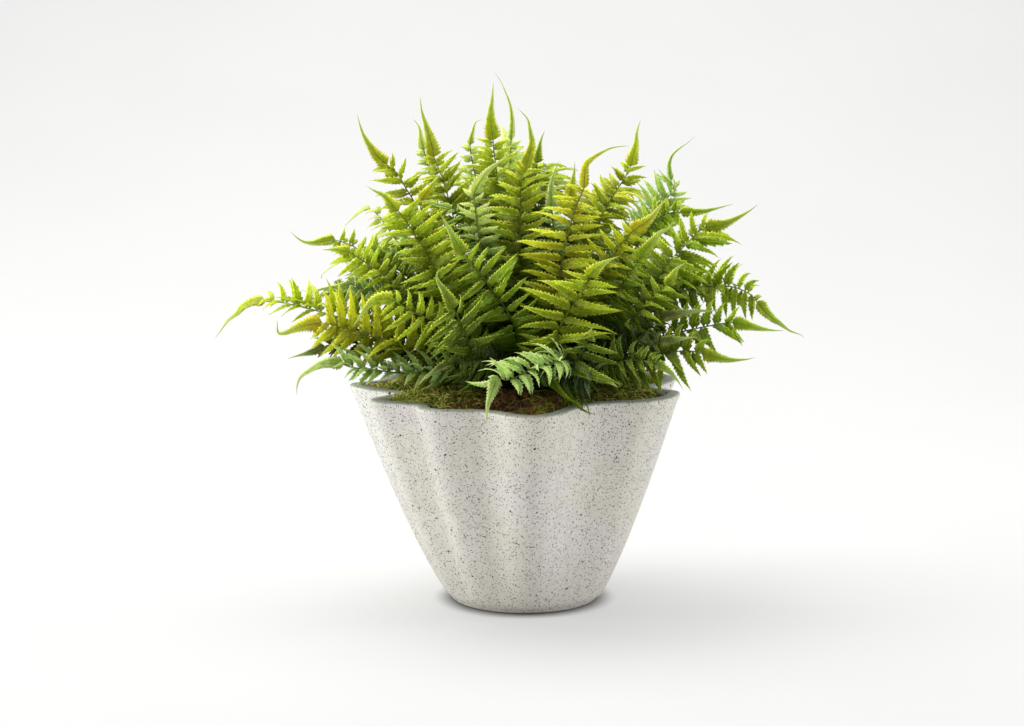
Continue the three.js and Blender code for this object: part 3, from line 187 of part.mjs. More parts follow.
    stem: [[-28.3,33.7,178],[-28.3,33.7,186],[-28.3,33.7,194],[-28.3,33.7,203],[-35.1,41.8,225.6],[-47.4,56.5,253],[-64.3,76.6,273.4],[-85.1,101.4,281.1],[-106.3,126.6,275.8],[-117.1,139.5,269.2],[-123.7,147.5,264.2],[-130.2,155.1,258.4],[-136.4,162.6,252.2],[-142.7,170.1,246]],
    leaflets: [[-1,132.7,-27.2,-16.1,-4.2],[1,136.4,18,27.2,-4.2],[-1,143.2,-27.1,-15.2,-3.6],[1,146.9,21.3,21.7,-1.2],[-1,153.7,-33,-12.8,-7.9],[1,157.4,18.1,22.7,-6.8],[-1,164.2,-28.3,-10,-7.7],[1,167.9,13.8,24.1,-6.4],[-1,174.7,-24.8,-8.3,-8],[1,178.4,10.4,21.6,-7.7],[-1,185.2,-20.1,-7.6,-5.2],[1,188.9,8.1,18.7,-6.5],[-1,195.7,-14.6,-3.6,-9],[1,199.4,4.1,13.9,-8.5]] },
  { name: 'frond_back_04', tint: 'mid', leafFrom: 9, leafWidth: 14, face: [-0.007, -0.009, 1],
    stem: [[-9.6,25.9,178],[-9.6,25.9,186],[-9.6,25.9,194],[-9.6,25.9,203],[-12.1,28.6,227.4],[-17,40.1,272.3],[-23.5,55.3,315.9],[-32.9,77.5,355.7],[-47.5,112,382.4],[-54.5,128.3,384.9],[-58.8,138.6,383.8],[-63.1,148.6,381],[-67.1,158.1,376.6],[-71.1,167.5,372]],
    leaflets: [[-1,184.7,-27.7,-4.7,2.5],[1,188.4,23.8,17.7,1.9],[-1,195.2,-28.5,-4.6,-1.1],[1,198.9,24.3,21.5,0.3],[-1,205.7,-29.2,-5.8,-0.9],[1,209.4,23.9,18,-0.7],[-1,216.2,-29.3,-1,-0.1],[1,219.9,20.8,20,-0.9],[-1,226.7,-24.6,0.8,0.2],[1,230.4,16.7,17.5,-1.7],[-1,237.2,-21,4.6,-0.5],[1,240.8,12.3,15.9,-0.4],[-1,247.7,-14.7,1.7,-4],[1,251.3,6.6,12.5,-6]] },
  { name: 'frond_back_05', tint: 'deep', leafFrom: 9, leafWidth: 14, face: [-0.021, 0.39, 0.921],
    stem: [[-3.2,45.9,178],[-3.2,45.9,186],[-3.2,45.9,194],[-3.2,45.9,203],[-3.9,55.7,225.6],[-5.3,75.9,257.3],[-7.3,104.2,282],[-9.8,140,292.5],[-12.4,177.1,287.5],[-13.6,193.8,281.3],[-14.3,204.7,276.3],[-15,215.1,270.5],[-15.8,225.3,264.3],[-16.5,235.4,258]],
    leaflets: [[-1,149.2,-33.8,3.8,-4.8],[1,152.8,31.3,10.1,-4.5],[-1,159.7,-32.3,5.1,-4.1],[1,163.3,29.7,7.5,-5.1],[-1,170.2,-33.1,4.9,-6],[1,173.8,29.7,9.7,-5.9],[-1,180.7,-28.5,10.3,-6.7],[1,184.3,26,13.5,-6.5],[-1,191.2,-24.4,5.4,-5.7],[1,194.8,22.5,13.3,-6.7],[-1,201.7,-19.8,7.4,-6.7],[1,205.3,18.8,11.5,-8.6],[-1,212.2,-12.8,7.2,-7.4],[1,215.8,13.8,6.9,-7.1]] },
  { name: 'frond_back_06', tint: 'lime', leafFrom: 9, leafWidth: 14, face: [-0.02, -0.042, 0.999],
    stem: [[4.4,25,178],[4.4,25,186],[4.4,25,194],[4.4,25,203],[4.2,28.1,227.5],[6.2,39.7,274.2],[9.5,53.9,319.8],[13.4,75.9,362.1],[19.7,112,392.4],[22.8,129.3,395.7],[24.7,139.8,395],[26.5,150,392.5],[28.2,159.8,388.4],[29.9,169.4,384]],
    leaflets: [[-1,190.6,-27.7,10.9,1.1],[1,194.2,30.4,2.1,0.5],[-1,201,-28.6,10.6,1],[1,204.7,30.9,-0.4,-2.7],[-1,211.5,-26.9,13.8,0.4],[1,215.2,30.1,3.2,0.4],[-1,222,-25.6,16,0.5],[1,225.6,28.8,4.1,-0.5],[-1,232.4,-19.6,13.5,3],[1,236.1,24.2,6,0.9],[-1,242.9,-15.1,14.1,0.5],[1,246.6,17.4,6.5,-0.7],[-1,253.4,-9.2,11.4,-4.6],[1,257,12.9,6.3,-5.9]] },
  { name: 'frond_back_07', tint: 'mid', leafFrom: 9, leafWidth: 14, face: [0.169, 0.348, 0.922],
    stem: [[16.7,34.2,178],[16.7,34.2,186],[16.7,34.2,194],[16.7,34.2,203],[20.1,41.2,227],[27.9,57.3,265.6],[39.1,80.1,299.5],[55,112.8,320.5],[73.4,150.6,319.5],[80.9,165.9,313.5],[85.2,174.7,308.9],[89.3,183.1,303.5],[93.3,191.3,297.7],[97.3,199.5,292]],
    leaflets: [[-1,168.9,-22.2,19.6,-1.5],[1,172.6,32.2,-5.6,-4.3],[-1,179.4,-21.3,18.5,-4.4],[1,183.1,31.8,-8.8,-2.6],[-1,189.9,-22.1,19.8,-4],[1,193.6,31,-7.6,-5.7],[-1,200.4,-21.3,20.2,-4.1],[1,204.1,28.3,-6.6,-6.7],[-1,210.9,-15.6,20.3,-5.9],[1,214.6,26.7,-2.7,-4.7],[-1,221.4,-13.5,17.4,-5.2],[1,225.1,20.8,2.5,-6.7],[-1,231.9,-8.8,10.5,-6],[1,235.6,15.3,1.2,-6.7]] },
  { name: 'frond_back_08', tint: 'gold', leafFrom: 9, leafWidth: 14, face: [0.08, 0.062, 0.995],
    stem: [[18.4,21.1,178],[18.4,21.1,186],[18.4,21.1,194],[18.4,21.1,203],[22,25.3,227.2],[30.8,35.4,271.3],[42.7,49.1,313.6],[60.2,69.2,350.9],[86.4,99.4,372.2],[98.1,112.9,372.5],[105.1,120.9,370.5],[111.8,128.6,367.1],[118.2,136,362.6],[124.7,143.4,358]],
    leaflets: [[-1,182.4,-15.8,23.4,1.6],[1,186.1,23.3,-12.6,-0.7],[-1,192.9,-17.7,26.2,-1.8],[1,196.6,25.3,-17.2,-2],[-1,203.4,-16.9,22,-2.5],[1,207.1,25,-15.3,-0.8],[-1,213.9,-16,24.5,-2.5],[1,217.6,25.9,-9.5,-1.9],[-1,224.4,-10.7,20,-1.3],[1,228.1,25.1,-4.9,-2],[-1,234.9,-7,19,-0.6],[1,238.6,20.2,-4.2,-3],[-1,245.4,-3.9,13.7,-4.6],[1,249.1,14.6,-0.9,-4.4]] },
  { name: 'frond_back_09', tint: 'deep', leafFrom: 9, leafWidth: 14, face: [0.301, 0.176, 0.937],
    stem: [[35.2,22.9,178],[35.2,22.9,186],[35.2,22.9,194],[35.2,22.9,203],[43.3,28.1,226.1],[60.4,39.2,259.6],[84.1,54.6,286.6],[114.7,74.5,299.9],[147.4,95.7,297],[161.8,105.1,291.5],[170.3,110.6,287.4],[178.5,115.9,282.5],[186.5,121.1,277.2],[194.6,126.4,272]],
    leaflets: [[-1,155.7,-11.3,23.8,-2.2],[1,159.4,23.5,-20.7,-2.5],[-1,166.2,-9.8,26,-4],[1,169.9,20.7,-23.7,-3.3],[-1,176.7,-11.4,24.9,-5.3],[1,180.4,18.1,-21.3,-5.9],[-1,187.2,-10.1,23.3,-3.8],[1,190.9,22.6,-16.9,-4.3],[-1,197.7,-4.5,23.2,-6.2],[1,201.4,19.2,-15.4,-6.4],[-1,208.2,-4.1,20.3,-4.5],[1,211.9,18.2,-10.6,-5.1],[-1,218.7,-2.5,14.2,-5.5],[1,222.4,11.8,-5.5,-9.2]] },
  { name: 'frond_back_10', tint: 'mid', leafFrom: 9, leafWidth: 14, face: [0.352, 0.088, 0.932],
    stem: [[40.8,10.2,178],[40.8,10.2,186],[40.8,10.2,194],[40.8,10.2,203],[50.2,12.5,226.1],[69.4,17.3,258.3],[96.1,24,283.9],[130.5,32.5,296.2],[166.8,41.6,292.7],[183.4,45.7,287],[192.7,48,282.9],[201.7,50.3,278.2],[210.5,52.5,273.1],[219.3,54.7,268]],
    leaflets: [[-1,150.1,4.4,24.8,-11.3],[1,153.7,12.1,-23.1,-3.2],[-1,160.6,2.5,26.2,-6.8],[1,164.2,9.6,-25.7,-4.3],[-1,171.1,0.5,28.6,-5.7],[1,174.7,10.2,-27.1,-5.7],[-1,181.6,-0.4,26.9,-4.1],[1,185.2,13.1,-20.8,-5.4],[-1,192.1,4.1,23.7,-4.6],[1,195.7,12.1,-17.7,-3.8],[-1,202.6,3.2,18.2,-4.3],[1,206.2,12.6,-14.4,-5.9],[-1,213.1,4.9,11.5,-6.4],[1,216.7,9.2,-9,-5.9]] },
  { name: 'frond_back_11', tint: 'pale', leafFrom: 9, leafWidth: 14, face: [0.163, -0.734, 0.659],
    stem: [[-1,7.4,178],[-1,7.4,186],[-1,7.4,194],[-1,7.4,203],[-3,15.3,227.8],[-4.6,23.4,272.1],[-6.5,33.7,316],[-9.2,47.4,358.8],[-13.1,67.2,399.1],[-15.1,77.8,413.5],[-16.6,85.4,421.3],[-18.3,93.9,427.9],[-20.1,103.6,432.6],[-22.1,113.9,436]],
    leaflets: [[-1,179.9,-24.6,1.6,2.1],[1,183.6,16.7,9.3,9.2],[-1,190.5,-27.4,2.3,2.6],[1,194.2,24.8,13.6,5.3],[-1,201,-26.9,2.1,5.1],[1,204.7,27.4,12.2,2.2],[-1,211.6,-26.5,0.6,4.3],[1,215.3,21.3,12.7,4.7],[-1,222.1,-23.7,3.2,4.4],[1,225.8,19.4,11.6,5.4],[-1,232.7,-18.1,4.8,5.8],[1,236.4,15.1,11.3,4.5],[-1,243.2,-12.8,4.7,3.9],[1,246.9,10.5,9.4,3.2]] },
];

// ---- helpers ----
const material = (color, roughness) => new THREE.MeshStandardMaterial({ color, roughness, metalness: 0, side: THREE.FrontSide });

function weld(geometry) {
  geometry.deleteAttribute('normal');
  geometry.deleteAttribute('uv');
  return BufferGeometryUtils.mergeVertices(geometry, 1e-3);
}

function named(name, geometry, mat) {
  geometry.computeVertexNormals();
  const mesh = new THREE.Mesh(geometry, mat);
  mesh.name = name;
  return mesh;
}

// Smooth closed curve through the rim stations (monotone between stations).
const rimRadius = (() => {
  const n = RIM.length;
  const a = i => RIM[((i % n) + n) % n][0] + 360 * Math.floor(i / n);
  const r = i => RIM[((i % n) + n) % n][1];
  const slope = i => {
    const h0 = a(i) - a(i - 1), h1 = a(i + 1) - a(i);
    const d0 = (r(i) - r(i - 1)) / h0, d1 = (r(i + 1) - r(i)) / h1;
    if (d0 * d1 <= 0) return 0;
    const w0 = 2 * h1 + h0, w1 = h1 + 2 * h0;
    return (w0 + w1) / (w0 / d0 + w1 / d1);
  };
  return degrees => {
    let t = (((degrees - 175) % 360) + 360) % 360 + 175;
    let i = 0;
    while (i < n - 1 && a(i + 1) <= t) i++;
    const h = a(i + 1) - a(i), u = (t - a(i)) / h;
    return (2 * u ** 3 - 3 * u ** 2 + 1) * r(i) + (u ** 3 - 2 * u ** 2 + u) * h * slope(i)
      + (-2 * u ** 3 + 3 * u ** 2) * r(i + 1) + (u ** 3 - u ** 2) * h * slope(i + 1);
  };
})();

// Point of the planter's outer wall at an angle and height, set back square to the wall by `inset`.
function wallPoint(degrees, z, inset = 0) {
  const f = Math.pow(Math.max(0, Math.min(1, z / POT_HEIGHT)), FLARE_POWER);
  const at = deg => {
    const r = BASE_RADIUS + (rimRadius(deg) - BASE_RADIUS) * f;
    return new THREE.Vector2(r * Math.cos(deg * Math.PI / 180), r * Math.sin(deg * Math.PI / 180));
  };
  const p = at(degrees);
  if (!inset) return p;
  const t = at(degrees + 1.5).sub(at(degrees - 1.5)).normalize();
  return p.sub(new THREE.Vector2(t.y, -t.x).multiplyScalar(inset));
}

// A lathe grid whose rows are bent to the fluted plan. rows: functions angle -> {x, y, z}, the first
// and last giving points on the axis.
function flutedSolid(rows) {
  const profile = rows.map((_, j) => new THREE.Vector2(j === 0 || j === rows.length - 1 ? 0 : 10 + j, j));
  const geometry = new THREE.LatheGeometry(profile, POT_SEGMENTS);
  const pos = geometry.attributes.position;
  for (let i = 0; i <= POT_SEGMENTS; i++) {
    const degrees = (i % POT_SEGMENTS) * 360 / POT_SEGMENTS;
    for (let j = 0; j < rows.length; j++) {
      const p = rows[j](degrees);
      pos.setXYZ(i * rows.length + j, p.x, p.y, p.z);
    }
  }
  return weld(geometry);
}

// A closed ring: the rows go once round its section.
function flutedRing(rows) {
  const profile = rows.map((_, j) => new THREE.Vector2(20 + Math.cos(j), Math.sin(j)));
  profile.push(profile[0].clone());
  const geometry = new THREE.LatheGeometry(profile, POT_SEGMENTS);
  const pos = geometry.attributes.position, m = rows.length + 1;
  for (let i = 0; i <= POT_SEGMENTS; i++) {
    const degrees = (i % POT_SEGMENTS) * 360 / POT_SEGMENTS;
    for (let j = 0; j < m; j++) {
      const p = rows[j % rows.length](degrees);
      pos.setXYZ(i * m + j, p.x, p.y, p.z);
    }
  }
  return weld(geometry);
}

function volume(geometry) {
  const p = geometry.attributes.position, idx = geometry.index;
  const a = new THREE.Vector3(), b = new THREE.Vector3(), c = new THREE.Vector3();
  let v = 0;
  for (let i = 0; i < idx.count; i += 3) {
    a.fromBufferAttribute(p, idx.getX(i)); b.fromBufferAttribute(p, idx.getX(i + 1)); c.fromBufferAttribute(p, idx.getX(i + 2));
    v += a.dot(b.cross(c)) / 6;
  }
  return v;
}

function facingOut(geometry) {
  if (volume(geometry) < 0) {
    const idx = geometry.index;
    for (let i = 0; i < idx.count; i += 3) {
      const t = idx.getX(i); idx.setX(i, idx.getX(i + 1)); idx.setX(i + 1, t);
    }
  }
  return geometry;
}

const wasm = await Module();
wasm.setup();
const toSolid = geometry => new wasm.Manifold(new wasm.Mesh({
  numProp: 3, vertProperties: new Float32Array(geometry.attributes.position.array),
  triVerts: new Uint32Array(geometry.index.array) }));
function fromSolid(solid) {
  const m = solid.getMesh(), geometry = new THREE.BufferGeometry();
  const p = new Float32Array(m.numVert * 3);
  for (let i = 0; i < m.numVert; i++) for (let k = 0; k < 3; k++) p[i * 3 + k] = m.vertProperties[i * m.numProp + k];
  geometry.setAttribute('position', new THREE.BufferAttribute(p, 3));
  geometry.setIndex(new THREE.BufferAttribute(new Uint32Array(m.triVerts), 1));
  return geometry;
}

// ---- planter ----
const axis = z => () => ({ x: 0, y: 0, z });
const disc = (radius, z) => d => ({ x: radius * Math.cos(d * Math.PI / 180), y: radius * Math.sin(d * Math.PI / 180), z });
const wall = (z, inset) => d => { const p = wallPoint(d, z, inset); return { x: p.x, y: p.y, z }; };
const pot = facingOut(flutedSolid([
  axis(0), disc(BASE_RADIUS - BASE_EDGE + 1, 0), disc(BASE_RADIUS - 1.2, 1.6), wall(BASE_EDGE, 0),
  wall(38, 0), wall(80, 0), wall(130, 0), wall(POT_HEIGHT - 3, 0), wall(POT_HEIGHT, 2.2),
  wall(POT_HEIGHT, WALL - 2.2), wall(POT_HEIGHT - 3, WALL), wall(130, WALL), wall(75, WALL), wall(FLOOR + 22, WALL),
  wall(FLOOR, WALL), axis(FLOOR),
]));

// ---- growing block, filling the planter up to the moss, with a planting hole for each stem ----
let block = toSolid(facingOut(flutedSolid([
  axis(FLOOR + GAP), wall(FLOOR + GAP, WALL + 3), wall(FLOOR + 22, WALL + 1), wall(75, WALL + 1), wall(130, WALL + 1),
  wall(BLOCK_TOP, WALL + 1.6), axis(BLOCK_TOP),
])));
for (const { stem } of FRONDS) {
  const hole = new THREE.CylinderGeometry(HOLE_RADIUS, HOLE_RADIUS, 40, 6).rotateX(Math.PI / 2)
    .translate(stem[0][0], stem[0][1], STEM_FOOT - GAP + 20);
  block = block.subtract(toSolid(facingOut(weld(hole))));
}

// ---- moss ring, lying on the block between the wall and the stems ----
const mix = (a, b, t) => a + (b - a) * t;
const mossRow = (t, z) => d => {
  const p = wallPoint(d, z, WALL + 1.6), c = Math.cos(d * Math.PI / 180), s = Math.sin(d * Math.PI / 180);
  return { x: mix(MOSS_OPENING * c, p.x, t), y: mix(MOSS_OPENING * s, p.y, t), z };
};
const moss = facingOut(flutedRing([
  mossRow(0, BLOCK_TOP + GAP), mossRow(1, BLOCK_TOP + GAP), mossRow(1, MOSS_EDGE_TOP), mossRow(0.62, MOSS_CREST - 1),
  mossRow(0.3, MOSS_CREST), mossRow(0.02, MOSS_CREST - 3),
]));

// ---- fronds ----
function smooth(points) {
  const P = points.map(p => new THREE.Vector3(...p)), n = P.length, t = [0];
  for (let i = 1; i < n; i++) t.push(t[i - 1] + Math.sqrt(Math.max(P[i].distanceTo(P[i - 1]), 1e-6)));
  const m = P.map((_, i) => {
    const d = (a, b) => P[b].clone().sub(P[a]).divideScalar(t[b] - t[a]);
    if (i === 0) return d(0, 1);
    if (i === n - 1) return d(n - 2, n - 1);
    const h0 = t[i] - t[i - 1], h1 = t[i + 1] - t[i];
    return d(i - 1, i).multiplyScalar(h1).add(d(i, i + 1).multiplyScalar(h0)).divideScalar(h0 + h1);
  });
  const out = [];
  for (let i = 0; i < n - 1; i++) for (let j = 0; j < 6; j++) {
    const h = t[i + 1] - t[i], u = j / 6;
    out.push(P[i].clone().multiplyScalar(2 * u ** 3 - 3 * u ** 2 + 1)
      .addScaledVector(m[i], (u ** 3 - 2 * u ** 2 + u) * h)
      .addScaledVector(P[i + 1], -2 * u ** 3 + 3 * u ** 2)
      .addScaledVector(m[i + 1], (u ** 3 - u ** 2) * h));
  }
  out.push(P[n - 1].clone());
  const s = [0];
  for (let i = 1; i < out.length; i++) s.push(s[i - 1] + out[i].distanceTo(out[i - 1]));
  const at = x => {
    const c = Math.max(0, Math.min(s[s.length - 1], x));
    let i = 1;
    while (i < s.length - 1 && s[i] < c) i++;
    return out[i - 1].clone().lerp(out[i], (c - s[i - 1]) / (s[i] - s[i - 1]));
  };
  const tangent = x => at(x + 1.5).sub(at(x - 1.5)).normalize();
  return { at, tangent, length: s[s.length - 1], knot: i => s[i * 6] };
}

function frond({ stem, leafFrom, leafWidth, face, leaflets }) {
  const curve = smooth(stem), leafStart = curve.knot(leafFrom), L = curve.length;
  const faceV = new THREE.Vector3(...face);
  const votes = leaflets.map(([side, s, x, y, z]) => ({ s,
    n: new THREE.Vector3().crossVectors(curve.tangent(s), new THREE.Vector3(x, y, z)).multiplyScalar(side).normalize() }));
  const voted = s => {
    const N = new THREE.Vector3();
    for (const v of votes) N.addScaledVector(v.n, 1 / (1 + ((s - v.s) / 14) ** 2) ** 2);
    return N.normalize();
  };
  const sign = voted(leafStart).dot(faceV) < 0 ? -1 : 1;
  const frame = s => {
    const T = curve.tangent(s);
    const t = Math.max(0, Math.min(1, (s - leafStart + 12) / 14));
    const N = voted(s).multiplyScalar(1 - t).addScaledVector(faceV, sign * t);
    N.addScaledVector(T, -N.dot(T)).normalize();
    return { T, N, S: new THREE.Vector3().crossVectors(N, T) };
  };
  // outline of the blade: up the left side, over the tip, down the right side
  const points = [];
  const edge = (s, y) => {
    const f = frame(s);
    points.push({ s, p: curve.at(s).addScaledVector(f.S, y), n: f.N, rib: true });
  };
  const tipOf = (side, s, v) => {
    const n = new THREE.Vector3().crossVectors(curve.tangent(s), v).multiplyScalar(side).normalize();
    points.push({ s, p: curve.at(s).add(v), n, rib: false });
  };
  const half = s => (s < 34 ? STEM_WIDTH : RIB_WIDTH) / 2;
  const flank = side => {
    const list = leaflets.filter(l => l[0] === side).sort((a, b) => a[1] - b[1]);
    let last = 0;
    const fill = to => {
      const n = Math.ceil((to - last) / BEND_STEP);
      for (let k = 1; k < n; k++) { const s = last + (to - last) * k / n; edge(s, side * half(s)); }
    };
    edge(0, side * half(0));
    for (const [, s, x, y, z] of list) {
      const a = Math.max(s - LEAFLET_ROOT / 2, last + 0.6), b = Math.min(s + LEAFLET_ROOT / 2, leafStart - 0.4);
      if (b - a < 1.2) continue;
      fill(a);
      edge(a, side * half(a));
      tipOf(side, (a + b) / 2, new THREE.Vector3(x, y, z));
      edge(b, side * half(b));
      last = b;
    }
    fill(leafStart);
    edge(leafStart, side * RIB_WIDTH / 2);
    const w = leafWidth / 2, len = L - leafStart;
    for (const [u, k] of [[0.10, 0.92], [0.42, 0.52], [0.74, 0.18]]) edge(leafStart + len * u, side * w * k);
  };
  flank(1);
  const left = points.splice(0), right = (flank(-1), points.splice(0));
  edge(L, 0);
  const outline = [...left, points[0], ...right.slice().reverse()], n = outline.length;

  // upper face: rungs between the two sides of the rib, and a pointed leaflet on each pair of edge points
  const faces = [];
  const at = q => outline.indexOf(q);
  const ribs = chain => [...chain.filter(q => q.rib), points[0]];
  const l = ribs(left), r = ribs(right);
  for (let i = 0, j = 0; i < l.length - 1 || j < r.length - 1;) {
    if (j === r.length - 1 || (i < l.length - 1 && l[i + 1].s <= r[j + 1].s)) {
      if (l[i + 1] !== r[j]) faces.push([at(l[i]), at(l[i + 1]), at(r[j])]);
      i++;
    } else {
      if (r[j + 1] !== l[i]) faces.push([at(l[i]), at(r[j + 1]), at(r[j])]);
      j++;
    }
  }
  outline.forEach((q, i) => { if (!q.rib) faces.push([i - 1, i, i + 1]); });
  const index = [];
  for (const [a, b, c] of faces) index.push(a, b, c, b + n, a + n, c + n);
  for (let i = 0; i < n; i++) {
    const k = (i + 1) % n;
    index.push(k, i, i + n, k, i + n, k + n);
  }
  const position = [];
  for (const d of [BLADE / 2, -BLADE / 2]) for (const q of outline) position.push(...q.p.clone().addScaledVector(q.n, d).toArray());
  const geometry = new THREE.BufferGeometry();
  geometry.setAttribute('position', new THREE.Float32BufferAttribute(position, 3));
  geometry.setIndex(index);
  return facingOut(geometry);
}

// ---- assembly ----
const group = new THREE.Group();
group.name = 'potted_leather_fern';
group.add(named('pot', pot, material(0xcdcbc2, 0.72)));
group.add(named('growing_block', fromSolid(block), material(0x3a3026, 0.95)));
group.add(named('moss_ring', moss, material(0x5d5a26, 0.95)));
for (const f of FRONDS) group.add(named(f.name, frond(f), material(TINTS[f.tint], 0.5)));

export default group;
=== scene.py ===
import math
import bpy
import numpy as np
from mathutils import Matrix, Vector, noise


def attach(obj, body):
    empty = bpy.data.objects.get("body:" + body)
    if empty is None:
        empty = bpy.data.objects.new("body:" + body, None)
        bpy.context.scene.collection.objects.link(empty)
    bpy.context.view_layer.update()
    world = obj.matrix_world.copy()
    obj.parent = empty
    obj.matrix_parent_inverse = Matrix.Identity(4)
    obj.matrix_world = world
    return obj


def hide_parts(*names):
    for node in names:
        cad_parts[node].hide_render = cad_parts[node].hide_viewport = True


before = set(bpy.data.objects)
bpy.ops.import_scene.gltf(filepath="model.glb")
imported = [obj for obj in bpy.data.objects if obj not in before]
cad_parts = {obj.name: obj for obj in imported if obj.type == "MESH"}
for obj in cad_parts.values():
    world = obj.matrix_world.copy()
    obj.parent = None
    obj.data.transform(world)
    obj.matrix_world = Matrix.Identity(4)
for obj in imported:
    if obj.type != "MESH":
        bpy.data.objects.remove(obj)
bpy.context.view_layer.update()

# Potted leather fern. Metres, +Z up, origin at the centre of the planter's base, -Y the front.
# The tables are in millimetres, as the solids are.
MM = 0.001
POT_HEIGHT, BASE_RADIUS, FLARE_POWER, WALL, FLOOR = 200.0, 69.0, 0.80, 11.0, 12.0
RIM = [(175,164),(187,146),(199,124),(204,141),(208.5,158.5),(213,160),(220.5,150),(228,144),(233,155),(238,159),
  (247.5,151.5),(253.7,146),(259,150),(266.5,165),(272,170),(279,161),(285,143),(295,121),(303,118),(311,123),
  (324,141),(335.5,147),(346.5,146),(357,121),(369,136),(381.7,154),(396,156),(408,136),(420,122),(432,140),
  (444,158),(456,152),(468,128),(478,122),(490,142),(502,155),(514,148),(524,140)]

